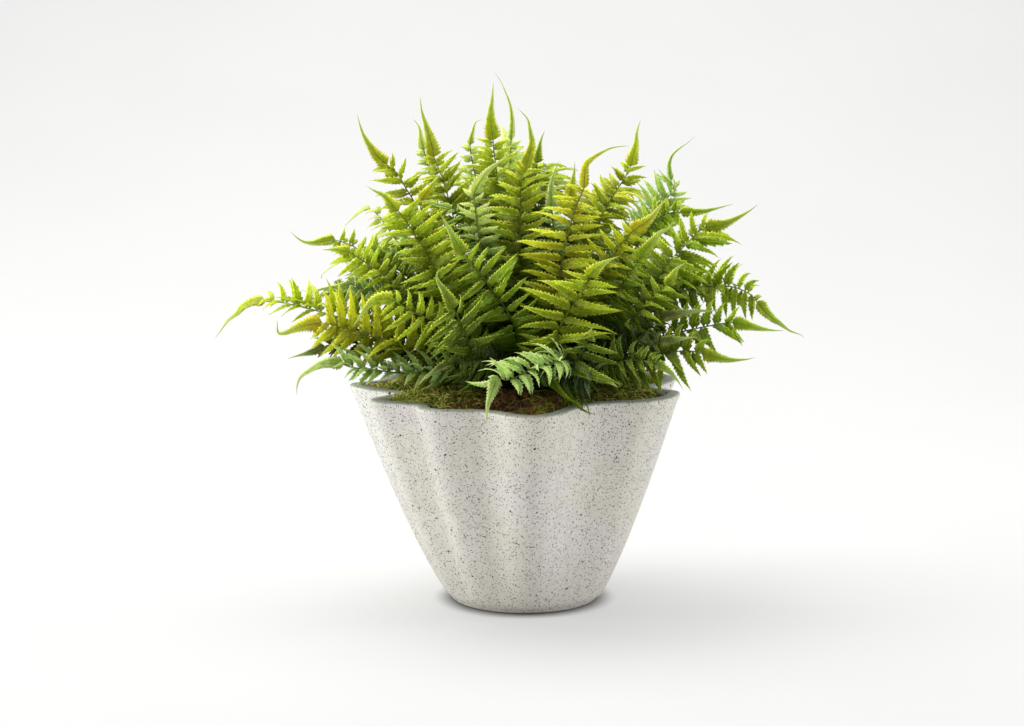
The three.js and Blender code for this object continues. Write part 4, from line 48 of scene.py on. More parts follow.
# name, tint, stem point where the end leaf begins, end leaf width, direction its upper side looks, stem points,
# leaflets (side, distance up the stem, x, y, z of the midline)
FRONDS = [
  ('frond_left_01', 'lime', 14, 12, (0.006, -0.577, 0.817),
   [(-46.8,-12.6,178),(-46.8,-12.6,186),(-46.8,-12.6,194),(-47.9,-12.9,203),(-62.8,-16.6,224.2),(-87.4,-23,240.6),(-116.8,-30.2,252.9),(-145.7,-36.5,262.1),(-169,-40,268.9),(-177.9,-40.7,271.8),(-190.4,-41.8,275.5),(-202.9,-42.8,278.8),(-216.3,-43.9,282.1),(-227.9,-44.9,283.6),(-234.1,-45.4,283.7),(-244.9,-46.2,282.4),(-253,-46.9,278.9),(-258.4,-47.5,273.5),(-267.4,-48.5,266.4),(-274.7,-49.4,256.5),(-279.2,-50,251.1)],
   [(-1,84,1.6,3.8,25.8),(1,87.7,-14,-2,-13.2),(-1,94.5,1.4,3.8,25.8),(1,98.2,-14.5,-3.1,-12.4),(-1,105,-0.6,3.8,25.8),(1,108.7,-14.6,-9.1,-11.5),(-1,115.5,-1.8,3.8,25.7),(1,119.2,-14.3,-13.5,-11.2),(-1,126,1.7,3.8,25.7),(1,129.7,-13,-11.4,-12.8),(-1,136.5,-3.4,14.5,24),(1,140.2,-14.2,-14.8,-11.1),(-1,147,-2.7,10.2,25),(1,150.7,-12.8,-18.9,-12.3),(-1,157.5,-1.2,4.8,26.5),(1,161.2,-13.5,-18.1,-12.3),(-1,168,-2.7,9.2,26.3),(1,171.7,-14,-23.3,-11.7),(-1,178.5,-2.4,3.9,26.2),(1,182.2,-14.8,-20.3,-8.8),(-1,189,-7.2,14.6,21.2),(1,192.7,-15.1,-18.2,-5),(-1,199.5,1,14,22.7),(1,203.2,-16,-18.7,-5.6),(-1,210,-7.3,12.7,18.2),(1,213.7,-16.1,-16.6,-5.6),(-1,220.5,-6.1,8.8,15.4),(1,224.2,-11.5,-12.8,-4.3),(-1,231,-4.9,10.8,7.7),(1,234.7,-8,-11.4,-3.2)]),
  ('frond_left_02', 'gold', 16, 13.8, (0.036, -0.99, 0.138),
   [(-39,-30,178),(-39,-30,186),(-39,-30,194),(-40,-30.8,203),(-55.2,-45.8,222),(-79.8,-68.1,233.1),(-102.2,-80,242.7),(-111,-80.4,248.1),(-119.8,-80.8,252.6),(-128.7,-81.1,254.5),(-137.5,-81.4,257.2),(-146.3,-81.8,259.9),(-154.2,-82.1,262.2),(-161.2,-82.4,264.9),(-168.3,-82.6,266.7),(-174.4,-82.9,268.6),(-179.7,-83.1,269),(-194.7,-83.6,267.3),(-203.6,-84,264.2),(-212.5,-84.3,260.3),(-217.8,-84.5,259.9),(-219,-84.7,263),(-218.9,-85,272)],
   [(-1,56.3,2,4.3,29.1),(1,59.9,-23.7,1.8,-15.9),(-1,66.8,-4.2,4.3,28.9),(1,70.4,-21.4,-2.8,-18.7),(-1,77.3,-8.5,6.5,27.5),(1,80.9,-20.7,-2.9,-19.4),(-1,87.8,-4.6,6.9,28.3),(1,91.4,-21.7,-2.7,-18.4),(-1,98.3,-3.8,4.3,28.9),(1,101.9,-21.9,-2.7,-18.1),(-1,108.8,0.7,4.3,29.2),(1,112.4,-23.7,-2.3,-15.8),(-1,119.3,3.5,13.4,27.9),(1,122.9,-26.7,-10.3,-10.1),(-1,129.8,2.9,4.5,30.1),(1,133.4,-20,-20.4,-10.5),(-1,140.3,-7.8,4.4,30),(1,143.9,-21.2,-3.2,-21.7),(-1,150.8,-1.8,10.4,30.8),(1,154.4,-23.8,-3,-20),(-1,161.3,-1.8,5,33.8),(1,164.9,-23.2,-3.1,-21),(-1,171.8,-1.6,5,33.5),(1,175.4,-21.5,-2.8,-19.2),(-1,182.3,-6.6,4,27.3),(1,185.9,-20.2,-2.5,-16.8),(-1,192.8,-4.6,3.8,24),(1,196.4,-11.9,3.5,-13.2)]),
  ('frond_left_03', 'shade', 9, 9.1, (-0.126, -0.927, 0.354),
   [(-52.4,-3.6,178),(-52.4,-3.6,186),(-52.4,-3.6,194),(-53.6,-3.7,203),(-73.6,-5.6,222.9),(-105.3,-8.5,234.4),(-133,-10,239.2),(-151.4,-10,241),(-169.8,-10,241),(-183.7,-10,237.8),(-192.9,-10,233.6),(-202.2,-10,230.8),(-211.4,-10,228.5),(-218.8,-10,226.2)],
   [(-1,45.2,-3.4,-2.4,20.1),(1,48.9,-19.9,-0.3,-2.2),(-1,55.7,-8.1,-2.3,18.7),(1,59.4,-18.5,-4.1,-6.2),(-1,66.2,-10.7,1,17.4),(1,69.9,-18.4,-0.3,-7.7),(-1,76.7,-9.7,2.6,17.8),(1,80.4,-17.9,-3,-8.6),(-1,87.2,-11.3,8.5,16),(1,90.9,-18.3,-8.1,-7),(-1,97.7,-13.6,10.6,13.9),(1,101.4,-16.7,-5.2,-10.2),(-1,108.2,-13.9,6.9,14.6),(1,111.9,-16.3,-11.4,-9.8),(-1,118.7,-14.2,11.1,14.6),(1,122.4,-17.6,-9.3,-10.4),(-1,129.2,-15.2,7.1,15.2),(1,132.9,-17.4,-8.4,-12.2),(-1,139.7,-14.5,7,16.2),(1,143.4,-17.2,-5.8,-12.1),(-1,150.2,-15.4,1.6,10.7),(1,153.9,-13.5,-6.6,-9.7),(-1,160.7,-13.7,-0.3,5.6),(1,164.4,-8.1,1.2,-9.8)]),
  ('frond_left_04', 'mint', 10, 11, (0.24, -0.749, 0.617),
   [(-36.7,-39.2,178),(-36.7,-39.2,186),(-36.7,-39.2,194),(-37.6,-40.1,203),(-56.8,-63.6,221.1),(-84.3,-85,224.6),(-110.8,-87.9,225),(-132.8,-90.4,228.1),(-145.9,-91.8,229.6),(-154.6,-92.8,231.1),(-160.7,-93.5,233.5),(-175.6,-95.2,234.6),(-183.5,-96.1,232.1),(-190.5,-97,228.2),(-196.7,-97.8,223.9),(-199.3,-98.3,220.4),(-201.1,-99,214.2),(-201.1,-100,205.5)],
   [(-1,41.9,-4,3.3,22),(1,45.6,-13.1,-6,-2.2),(-1,52.4,-4.2,3.3,22),(1,56.1,-10.6,-12.9,-4.7),(-1,62.9,-11.3,2.9,19.4),(1,66.6,-8.9,-11,-5.3),(-1,73.4,-13.2,1,18.4),(1,77.1,-7.3,-17.8,-7.3),(-1,83.9,-13.1,3.4,18.7),(1,87.6,-8.5,-16.8,-8),(-1,94.4,-13,2.7,18.3),(1,98.1,-9.2,-17,-7.4),(-1,104.9,-13.3,2.7,18.4),(1,108.6,-9,-18.4,-7.8),(-1,115.4,-14.1,-1.7,18.8),(1,119.1,-10.6,-19.1,-6.6),(-1,125.9,-14.2,9.1,18.5),(1,129.6,-11.7,-17.2,-5.4),(-1,136.4,-13.1,13,16.6),(1,140.1,-10.8,-21.2,-5.9),(-1,146.9,-14,-9.3,18.1),(1,150.6,-11.1,-17.7,-4.4),(-1,157.4,-16.8,4.2,16),(1,161.1,-9.7,-12,-5.5),(-1,167.9,-13.3,-0.7,18.4),(1,171.6,-8.9,-7.3,-0.6)]),
  ('frond_left_05', 'mid', 12, 10.1, (-0.018, -0.877, 0.479),
   [(-36.2,2.8,178),(-36.2,2.8,186),(-36.2,2.8,194),(-37.4,3,203),(-51.2,4.7,230.9),(-71.7,7.3,259.1),(-95.9,10.3,285.1),(-120.7,13,306.2),(-143.1,15,319.8),(-152.3,15.6,323.9),(-158.8,16.1,328.1),(-166.2,16.6,330.8),(-175.5,17.2,333.5),(-197.9,18.6,330.6),(-205.3,19,332),(-211.8,19.5,336.1),(-217.3,20,341.6)],
   [(-1,108.1,7.7,1.7,11.3),(1,111.2,-10.2,-5.6,-1.6),(-1,117.1,8.1,3.8,10.6),(1,120.2,-11.6,-0.4,-1.9),(-1,126.1,8,8,10.1),(1,129.2,-9,-12.7,-2.8),(-1,135.1,7.1,10.3,10.4),(1,138.2,-13,2.4,-8.8),(-1,144.1,6.7,10.1,10.6),(1,147.2,-13.4,-1.2,-8.4),(-1,153.1,6.5,12.6,10.4),(1,156.2,-12.5,-4.5,-9.2),(-1,162.1,3.4,12,11.8),(1,165.2,-11.1,-1.7,-11.7),(-1,171.1,3.5,14.7,11.8),(1,174.2,-11.3,-11.6,-10.6),(-1,180.1,5.9,14.9,11.4),(1,183.2,-11.1,-8,-12),(-1,189.1,3.2,12.2,13.1),(1,192.2,-10.6,-12.3,-12.4),(-1,198.1,5.9,11.8,11.1),(1,201.2,-12.4,-8.5,-9.4),(-1,207.1,3,5.5,12.9),(1,210.2,-9.7,-5.4,-9.8),(-1,216.1,2.7,1.7,11.3),(1,219.2,-4.8,-1.4,-9.7)]),
  ('frond_left_06', 'pale', 10, 8.3, (-0.319, -0.417, 0.851),
   [(-37.1,18.9,178),(-37.1,18.9,186),(-37.1,18.9,194),(-38.2,19.2,203),(-50.6,23.6,229.5),(-69.1,30.4,256.7),(-91.2,38.1,281.3),(-114.3,45.2,300.1),(-136,50,309.8),(-153.1,52.7,313.3),(-167.4,55,312.1),(-177.1,56.6,307.2),(-184.8,58,302.3),(-191.6,59.4,296.5),(-192.2,60,292.6)],
   [(-1,105.2,3.6,9.3,3.4),(1,108.4,-2.5,-10,1.4),(-1,114.2,4,10.6,3.9),(1,117.4,-3.8,-12,-0.3),(-1,123.2,3.2,10.7,4.4),(1,126.4,-5.5,-10.2,-2.4),(-1,132.2,3.2,11,4.6),(1,135.4,-6.7,-10.6,-4.1),(-1,141.2,3.3,13.9,6.1),(1,144.4,-6.2,-12.1,-5.9),(-1,150.2,4,12.5,7.2),(1,153.4,-6.5,-12.9,-6.3),(-1,159.2,3.6,12.3,9.6),(1,162.4,-5.9,-12.5,-6.4),(-1,168.2,1.6,15.2,5.1),(1,171.4,-5.1,-12.9,-7.2),(-1,177.2,1.8,13.3,10.8),(1,180.4,-5.3,-14,-7.9),(-1,186.2,-0.2,14.7,7.1),(1,189.4,-5.1,-13.4,-7.5),(-1,195.2,-3.2,11.6,4.9),(1,198.4,-3.1,-10.3,-6.2),(-1,204.2,-3.2,8,2.8),(1,207.4,-1.5,-7.5,-4.7)]),
  ('frond_left_07', 'lime', 14, 11, (0.024, -0.979, 0.204),
   [(-36.7,-11,178),(-36.7,-11,186),(-36.7,-11,194),(-37.8,-11.4,203),(-51.4,-16.8,227.8),(-72.2,-25.1,251.5),(-94.5,-32.5,272.5),(-113,-35,289.3),(-123.8,-34.1,299.6),(-131,-33.5,307.3),(-134.6,-33.2,310.9),(-140.1,-32.8,314.5),(-143.7,-32.5,317.7),(-150.9,-32,322.1),(-158.1,-31.5,326.2),(-167.2,-31,328.9),(-176.3,-30.4,329.3),(-183.5,-30,328.8)],
   [(-1,79.7,6,1.9,13.1),(1,82.8,-13.6,-1.5,-10.1),(-1,88.7,4.5,7.2,12.9),(1,91.8,-14.2,-1.4,-9.3),(-1,97.7,4.6,11.1,12.3),(1,100.8,-14.1,-3.7,-9.1),(-1,106.7,6,11.3,11.7),(1,109.8,-12.5,-1.7,-11.4),(-1,115.7,5.2,11.9,12),(1,118.8,-12.8,-13.4,-9.4),(-1,124.7,4.5,16.4,9.8),(1,127.8,-13,-11.6,-9.3),(-1,133.7,4.9,15,11.7),(1,136.8,-13.4,-15.3,-8.8),(-1,142.7,5.8,15.5,11.7),(1,145.8,-15,-15.1,-7.3),(-1,151.7,6.4,14.3,12),(1,154.8,-15.7,-13.6,-7.3),(-1,160.7,7.1,14.1,12.2),(1,163.8,-16.3,-11.2,-7.4),(-1,169.7,7.4,16.9,12),(1,172.8,-16,-13.2,-6.7),(-1,178.7,4.4,8.5,14.8),(1,181.8,-18.1,-1.5,-10.2),(-1,187.7,5.2,2.2,15.2),(1,190.8,-17.8,-2,-13.2),(-1,196.7,6.2,1.9,13.1),(1,199.8,-19.3,5,-8.3)]),
  ('frond_left_08', 'deep', 9, 8.3, (0.002, -0.536, 0.844),
   [(-26.8,1.6,178),(-26.8,1.6,186),(-26.8,1.6,194),(-28,1.5,203),(-40.5,-0.1,233.7),(-57.4,-2.7,266.5),(-76.7,-3.6,295.1),(-96.2,0,313),(-112,5.7,321.7),(-124.2,9.5,324.1),(-130.8,11.6,325.7),(-140.2,15,331)],
   [(-1,93.3,4.2,8.4,2.2),(1,96.4,-8.5,-6.3,-2.6),(-1,102.3,4.8,9.4,2.3),(1,105.4,-9.1,-7,-3.4),(-1,111.3,4.3,9.4,2.9),(1,114.4,-9.5,-7,-2.9),(-1,120.3,4.7,11.1,3.7),(1,123.4,-9,-7.7,-4.9),(-1,129.3,5.3,11.1,5.5),(1,132.4,-10.4,-8.6,-5.2),(-1,138.3,4.5,12,4.4),(1,141.4,-10.4,-9.2,-6.3),(-1,147.3,4.1,13.3,5.4),(1,150.4,-9.7,-9.7,-7.7),(-1,156.3,4.3,12.7,5),(1,159.4,-9.5,-10,-8.3),(-1,165.3,2,12.7,5.9),(1,168.4,-9.1,-9.8,-8.4),(-1,174.3,0.3,9.9,4.8),(1,177.4,-7.1,-7.5,-6.3),(-1,183.3,-1.7,6.9,3),(1,186.4,-4.6,-5.2,-4.7)]),
  ('frond_left_09', 'mint', 10, 6.4, (-0.078, -0.976, 0.205),
   [(-43,-3.9,178),(-43,-3.9,186),(-43,-3.9,194),(-44.2,-3.9,203),(-62,-3.2,234.1),(-88.8,-2,262.4),(-114.8,0,279.7),(-124.1,1,283.3),(-138,2.5,287.7),(-151.9,3.9,290.3),(-159.3,4.8,294),(-170.5,5.9,291.5),(-184.5,7.3,289.5),(-199.4,8.9,286.5),(-210.6,10,288.7)],
   [(-1,59,2.1,2.3,15.7),(1,62.4,-20.2,0.1,0.8),(-1,68.5,1.8,2.3,15.8),(1,71.9,-20.2,-0.2,-1.5),(-1,78,0.9,0.9,16),(1,81.4,-18.1,1.6,-4.6),(-1,87.5,-1.1,5.7,15.3),(1,90.9,-19.7,-0.7,-4.5),(-1,97,-1.1,-3.7,16.3),(1,100.4,-19,-1,-6.9),(-1,106.5,-4.9,1.5,16.2),(1,109.9,-19,-1,-6.8),(-1,116,-3.3,11.1,14.4),(1,119.4,-19.6,-1,-6.5),(-1,125.5,-5.5,9.1,14.6),(1,128.9,-18.9,-5.3,-8.1),(-1,135,-4.9,4.7,15.9),(1,138.4,-19,-5.4,-9.3),(-1,144.5,-9.1,14.1,11.1),(1,147.9,-18.6,-1.8,-12.3),(-1,154,-7.3,5.6,14.2),(1,157.4,-13.8,-0.1,-14.3),(-1,163.5,-9.1,0.5,13.4),(1,166.9,-12.6,-1.6,-11.1),(-1,173,-2.9,3.3,13.8),(1,176.4,-7.4,-1.6,-9.7)]),
  ('frond_left_10', 'pale', 11, 10.1, (0.065, -0.45, 0.89),
   [(-29.3,24.2,178),(-29.3,24.2,186),(-29.3,24.2,194),(-30.3,24.8,203),(-42.6,32.3,229.9),(-61.1,43.7,256.3),(-82.1,56.3,281.3),(-102.5,65.5,304.1),(-118.5,72.3,323.5),(-130.1,78,339.4),(-139.5,82,351.6),(-147.2,84,357.1),(-154.9,85.6,355.1),(-163.8,87.8,348.2),(-171.7,90,340.4)],
   [(-1,123.2,4.7,9.6,4.9),(1,126.7,-7.8,-8.2,-3.1),(-1,133.2,5,10.2,5.1),(1,136.7,-8.1,-9.4,-4.4),(-1,143.2,6.6,12,5.5),(1,146.7,-10.3,-10.8,-3.9),(-1,153.2,6.4,12.1,5.7),(1,156.7,-10.5,-11.8,-5.3),(-1,163.2,2.6,15.2,2.6),(1,166.7,-10.1,-10.4,-3.5),(-1,183.2,8,14.5,6.7),(1,186.7,-12.7,-12.3,-3),(-1,193.2,9.9,15.8,6.1),(1,196.6,-14,-13.2,-3.2),(-1,203.1,8.2,15.2,7.1),(1,206.6,-12.3,-12.1,-3.3),(-1,213.1,5.2,12.8,7.1),(1,216.6,-9.7,-8.5,-2),(-1,223.1,0.4,7.5,4.9),(1,226.6,-5.4,-6.5,-3.3)]),
  ('frond_upper_01', 'olive', 15, 11, (0.081, -0.917, 0.39),
   [(-23.5,-7.3,178),(-23.5,-7.3,186),(-23.5,-7.3,194),(-24.7,-7.7,203),(-35.2,-11.7,230.9),(-48.2,-17.5,261.1),(-62.1,-23,291.2),(-75.2,-26.2,318.7),(-85.9,-25,341),(-96.9,-20.1,364.2),(-99.6,-18.8,370),(-103.2,-17.5,376.3),(-108.7,-15.5,384.7),(-113.3,-13.6,393.7),(-117.9,-12.3,399),(-125.2,-10.5,404.4),(-133.4,-8.5,411.5),(-140.8,-6.1,421.4),(-146.7,-3.9,431.2),(-149.9,-2.1,440.2),(-152.7,0,451)],
   [(-1,125.4,14.2,1.9,13.1),(1,128.7,-30.3,-1.5,-10),(-1,134.9,14.4,1.9,12.9),(1,138.2,-31.4,-0.8,-5.6),(-1,144.4,15.1,9.2,10.9),(1,147.7,-30.4,6.4,-7.6),(-1,153.9,14.2,8.7,12.1),(1,157.2,-31.4,-0.8,-5.7),(-1,163.4,15.6,12.9,9.7),(1,166.7,-30.1,6.4,-8.5),(-1,172.9,16.1,8.9,9.6),(1,176.2,-31,-1.2,-7.8),(-1,182.4,16.1,6.8,10.2),(1,185.7,-31.8,-1,-7),(-1,191.9,16,13.5,10.2),(1,195.2,-32.2,-5.1,-7.1),(-1,201.4,16.7,11.2,10.5),(1,204.7,-29.1,5.8,-16.6),(-1,210.9,13.2,13.2,10.2),(1,214.2,-31.6,-1.4,-9.3),(-1,220.4,11.2,15.5,8.2),(1,223.7,-27,-0.6,-4),(-1,229.9,10.9,11.2,9.3),(1,233.2,-24.3,0.2,1.4),(-1,239.4,4.8,5.5,13.7),(1,242.7,-18.1,-1.8,1.1),(-1,248.9,-0.2,2.4,12.7),(1,252.2,-13.4,1.8,-3.7)]),
  ('frond_upper_02', 'lime', 13, 11, (0.041, -0.999, 0.035),
   [(-23.4,-26.2,178),(-23.4,-26.2,186),(-23.4,-26.2,194),(-24.3,-27,203),(-36.5,-43.1,235.1),(-53.7,-64.4,266.2),(-68.4,-75,293),(-78,-75,313.5),(-80.7,-75,317.1),(-85.9,-75,328.2),(-93.3,-75,340.2),(-100.8,-75,351.7),(-106.9,-75,360.9),(-112.1,-75,367.6),(-117.4,-75,373.3),(-124.4,-75,381.2),(-132.3,-75,385.2),(-140.1,-75,389.6)],
   [(-1,87.8,23.4,0.1,21),(1,91.3,-26.5,-1.1,-7.6),(-1,97.8,22.8,3.2,21.3),(1,101.3,-27.3,-0.6,-4),(-1,107.8,21.8,3.3,22.3),(1,111.3,-27.2,-0.7,-4.8),(-1,117.8,22.2,3.3,22),(1,121.3,-26.9,-0.9,-6.2),(-1,127.8,23.4,3.1,20.7),(1,131.3,-26.6,-1.1,-7.4),(-1,137.8,26.2,2.5,17.1),(1,141.3,-27.6,-0.2,-1.2),(-1,147.8,27.5,2.3,15.7),(1,151.3,-27.3,-10.4,-5.1),(-1,157.8,25.4,3,20.1),(1,161.3,-27.1,-5.2,-8.4),(-1,167.8,26.5,3,20),(1,171.3,-26.1,0.3,1.9),(-1,177.8,26.8,3,20.2),(1,181.3,-24.4,5.4,-2.5),(-1,187.8,27.3,2.7,18.2),(1,191.3,-25.6,-4.6,-3.4),(-1,197.8,20.6,2.8,18.8),(1,201.3,-24.3,0.9,-2.4),(-1,207.8,17.5,2.4,16.1),(1,211.3,-21.7,-0.2,-1.6),(-1,217.8,13,2.1,14.3),(1,221.3,-16.1,-0.2,-6.2)]),
  ('frond_upper_03', 'lime', 12, 12, (-0.013, -0.991, 0.136),
   [(-18.8,6.7,178),(-18.8,6.7,186),(-18.8,6.7,194),(-20,6.9,203),(-30,8.3,233.6),(-40.5,9.4,267.7),(-50.7,10.7,302.1),(-59.8,12.4,333.8),(-67,15,359.7),(-72.5,17.8,379.8),(-78.1,20.2,396.2),(-80.8,21.1,402.6),(-83.6,22.2,409.9),(-84.5,23.1,416.3),(-87.3,24.6,427.3),(-91,26.3,439.1),(-94.7,28,451),(-96.5,30,465.6)],
   [(-1,113.2,21.5,2.9,19.7),(1,116.5,-22.1,-0.1,-0.5),(-1,122.7,18.1,6.2,22.2),(1,126,-22.1,-0.2,-1.4),(-1,132.2,20.1,-3.1,21.1),(1,135.5,-22.1,0.1,0.5),(-1,141.7,19.4,6.2,21),(1,145,-22.1,-0.2,-1.6),(-1,151.2,19.7,0.1,21.7),(1,154.5,-22.1,0,0.2),(-1,160.7,17.4,6.2,22.7),(1,164,-22,-0.4,-2.4),(-1,170.2,20.1,-3.1,21.5),(1,173.5,-22.5,0.7,-0.8),(-1,179.7,20,6.4,21.9),(1,183,-23.1,1.2,0.3),(-1,189.2,20.6,0.2,23.3),(1,192.5,-23.6,0.3,1.9),(-1,198.7,20.1,9.5,21.3),(1,202,-24.2,0.1,0.3),(-1,208.2,17.7,3.1,21.1),(1,211.5,-23.6,1,-1.3),(-1,217.7,15.5,2.8,19),(1,221,-19.9,-0.1,-1),(-1,227.2,14.2,2.3,15.5),(1,230.5,-15.5,1.6,-0.1),(-1,236.7,13,1.5,9.8),(1,240,-12,0.2,1.4)]),
  ('frond_upper_04', 'pale', 11, 8.3, (0.226, -0.947, 0.227),
   [(-21.6,17.3,178),(-21.6,17.3,186),(-21.6,17.3,194),(-22.5,18,203),(-30.5,25.1,228.6),(-40.7,32.8,256.3),(-52,40.4,284.5),(-62.9,48.4,311.8),(-72.5,55.3,336.8),(-79.5,60,358),(-89,65.7,390.7),(-94.7,69.7,414),(-97.5,71.3,423.3),(-99.4,73.3,435.4),(-105.6,75,443.4)],
   [(-1,144.2,7.8,8.7,3.8),(1,147.6,-8.5,-4,-1),(-1,153.7,8.1,8.7,3.4),(1,157.1,-9.6,-6.2,-1.5),(-1,163.2,8.2,8.3,2.7),(1,166.6,-9.9,-3.8,-0.9),(-1,172.7,10.5,10.7,3.5),(1,176.1,-11.6,-5,-1.2),(-1,182.2,11.6,11.9,4),(1,185.6,-11.4,-5,-1.2),(-1,191.7,11.2,11.8,4.3),(1,195.1,-12.1,2.5,-1.2),(-1,201.2,11.2,10.6,2.5),(1,204.6,-12.4,2.6,-0.9),(-1,210.7,12.1,12.3,3.9),(1,214.1,-13,-4.5,-1.1),(-1,220.2,10.9,11,3.3),(1,223.6,-12.5,-4.8,-1.2),(-1,229.7,10.6,11.9,5.3),(1,233.1,-12.4,2.7,-0),(-1,239.2,7.4,10.4,6.3),(1,242.6,-9.4,4.8,1.2),(-1,248.7,4.7,6.4,3.8),(1,252.1,-6.7,5.9,1.4)]),
  ('frond_upper_05', 'lime', 13, 12.9, (0.091, -0.983, 0.162),
   [(-10.5,2,178),(-10.5,2,186),(-10.5,2,194),(-11.7,1.7,203),(-17.5,-0.1,230.9),(-19.1,-1.7,262.6),(-18.7,-2.5,295.1),(-18.3,-2.1,324.9),(-19.9,0,348.9),(-23.5,3.5,371.6),(-24.9,6.3,389.7),(-26.3,8.3,402.4),(-28.1,10.2,415.1),(-29,11.9,426),(-30.9,14,439.6),(-30.9,16.1,453.2),(-29.9,17.5,462.3),(-28.6,20,478.6)],
   [(-1,111.8,24.6,1.2,7.8),(1,115.2,-26.5,1,6.8),(-1,121.3,24.6,1.1,7.6),(1,124.7,-26.6,0.9,6.4),(-1,130.8,24.3,1.3,8.5),(1,134.2,-26.7,0.9,6.2),(-1,140.3,24.2,1.3,8.8),(1,143.7,-26.9,0.8,5.3),(-1,149.8,23.8,1.5,9.8),(1,153.2,-26.3,1.1,7.5),(-1,159.3,22.4,1.9,12.7),(1,162.7,-26.6,0.9,6.4),(-1,168.8,22.9,1.8,12.3),(1,172.2,-27,6.8,0.5),(-1,178.3,22.7,2,13.8),(1,181.7,-28.5,0,0.1),(-1,187.8,24.3,11.9,10.6),(1,191.2,-29.1,0.2,1.3),(-1,197.3,25.3,1.7,11.3),(1,200.7,-29.3,0.7,4.9),(-1,206.8,22.5,2.2,14.8),(1,210.2,-28.5,8.5,4.9),(-1,216.3,21.9,-1,12.6),(1,219.7,-26.7,1.1,7.4),(-1,225.8,18.3,1.8,12.3),(1,229.2,-23.5,1,6.6),(-1,235.3,15,5.1,9.4),(1,238.7,-19,0.7,4.8),(-1,244.8,12.6,6.8,5.7),(1,248.2,-14.7,0.6,4)]),
  ('frond_upper_06', 'pale', 11, 6.2, (0.243, -0.954, 0.174),
   [(-12.1,16.7,178),(-12.1,16.7,186),(-12.1,16.7,194),(-12.8,17.7,203),(-17.7,25.2,229.4),(-22.8,33.3,258.7),(-27.9,41.4,289),(-32.9,48.9,318.5),(-37.6,55.3,345.2),(-41.8,60,367.5),(-47.5,65.3,395.4),(-51.2,69.6,418.7),(-48.4,72.3,432.7),(-45.6,73.7,440.1),(-39,75,442.4)],
   [(-1,140.3,9.8,3.7,2.9),(1,143.6,-8.4,-1.4,0.3),(-1,149.8,10.2,5.3,2.6),(1,153.1,-8.3,2.7,0.6),(-1,159.3,9.7,8.1,1.9),(1,162.6,-9.8,2.1,-0.4),(-1,168.8,11.5,9.1,2.2),(1,172.1,-11.2,2.5,0.1),(-1,178.3,10.3,9.3,2.2),(1,181.6,-11.3,2.3,-1.3),(-1,187.8,11.9,11.8,3.2),(1,191.1,-12,2.5,-0.9),(-1,197.3,12.4,12,2.9),(1,200.6,-11.9,2.6,-0.2),(-1,206.8,12.5,12.1,2.9),(1,210.1,-14.2,3.1,-0.2),(-1,216.3,13.6,13.3,3.4),(1,219.6,-14.2,3.2,0.3),(-1,225.8,10.2,11.5,5.1),(1,229.1,-11.9,2.7,0.3),(-1,235.3,7.5,9.6,5.4),(1,238.6,-10.1,4.1,1),(-1,244.8,5.7,6.7,3.3),(1,248.1,-5.5,6.3,2.9)]),
  ('frond_upper_07', 'pale', 11, 5.5, (-0.064, -0.99, 0.126),
   [(-2.6,16.8,178),(-2.6,16.8,186),(-2.6,16.8,194),(-3.1,17.9,203),(-7.3,25.4,234.8),(-10.6,30.7,270.7),(-12.9,34.4,307.4),(-14.2,37.3,341.3),(-14.4,40,368.9),(-13.9,43.2,394.8),(-13,44.8,407.8),(-12.5,46.8,424.4),(-11.6,48,433.7),(-11.6,49.3,444.7),(-13.5,50.9,457.7),(-18.1,52.5,469.7),(-22.8,53.9,479.8),(-28.4,55,487.2)],
   [(-1,129.5,11.4,4.1,1.2),(1,132.8,-6.4,9.7,-2.6),(-1,139,10.6,4.6,1.4),(1,142.3,-11.4,2.6,0.5),(-1,148.5,11.2,8.9,1.4),(-1,167.5,16.8,1.5,2.9),(1,170.8,-14.4,1.8,1.6),(-1,177,16.6,6.5,1.9),(1,180.3,-14.8,4.6,1.1),(-1,186.5,15.7,7,2.1),(1,189.8,-14.4,5.6,1.4),(-1,196,15.8,8.3,2.5),(1,199.3,-17.1,6,1.5),(-1,205.5,19.4,9.4,2.8),(1,208.8,-17,10.1,2.4),(-1,215,15.7,11.5,3.4),(1,218.3,-16.3,12.4,3),(-1,224.5,14.7,11.4,3.4),(1,227.8,-12.5,12.5,3.8),(-1,234,11.2,10,3.9),(1,237.3,-11.2,11.9,4.5),(-1,243.5,7.7,7.5,3.9),(1,246.8,-7.9,8.8,3.9)]),
  ('frond_upper_08', 'lime', 13, 10.2, (-0.17, -0.971, 0.166),
   [(-2,-17.2,178),(-2,-17.2,186),(-2,-17.2,194),(-2.2,-18.3,203),(-3,-27.3,232.9),(-3.7,-34.9,266.5),(-4.2,-39.7,298.9),(-4.4,-40,325.2),(-4.4,-38,343.1),(-4.4,-37.2,351.1),(-3.5,-35.6,365.4),(-4,-34.2,377.9),(-2.6,-32.5,393.1),(0.1,-31.5,402),(6.4,-29.1,423.4),(4.6,-27.6,436.7),(2.8,-26.6,445.6),(-1.7,-25.8,451.4),(-7.1,-25,456.3)],
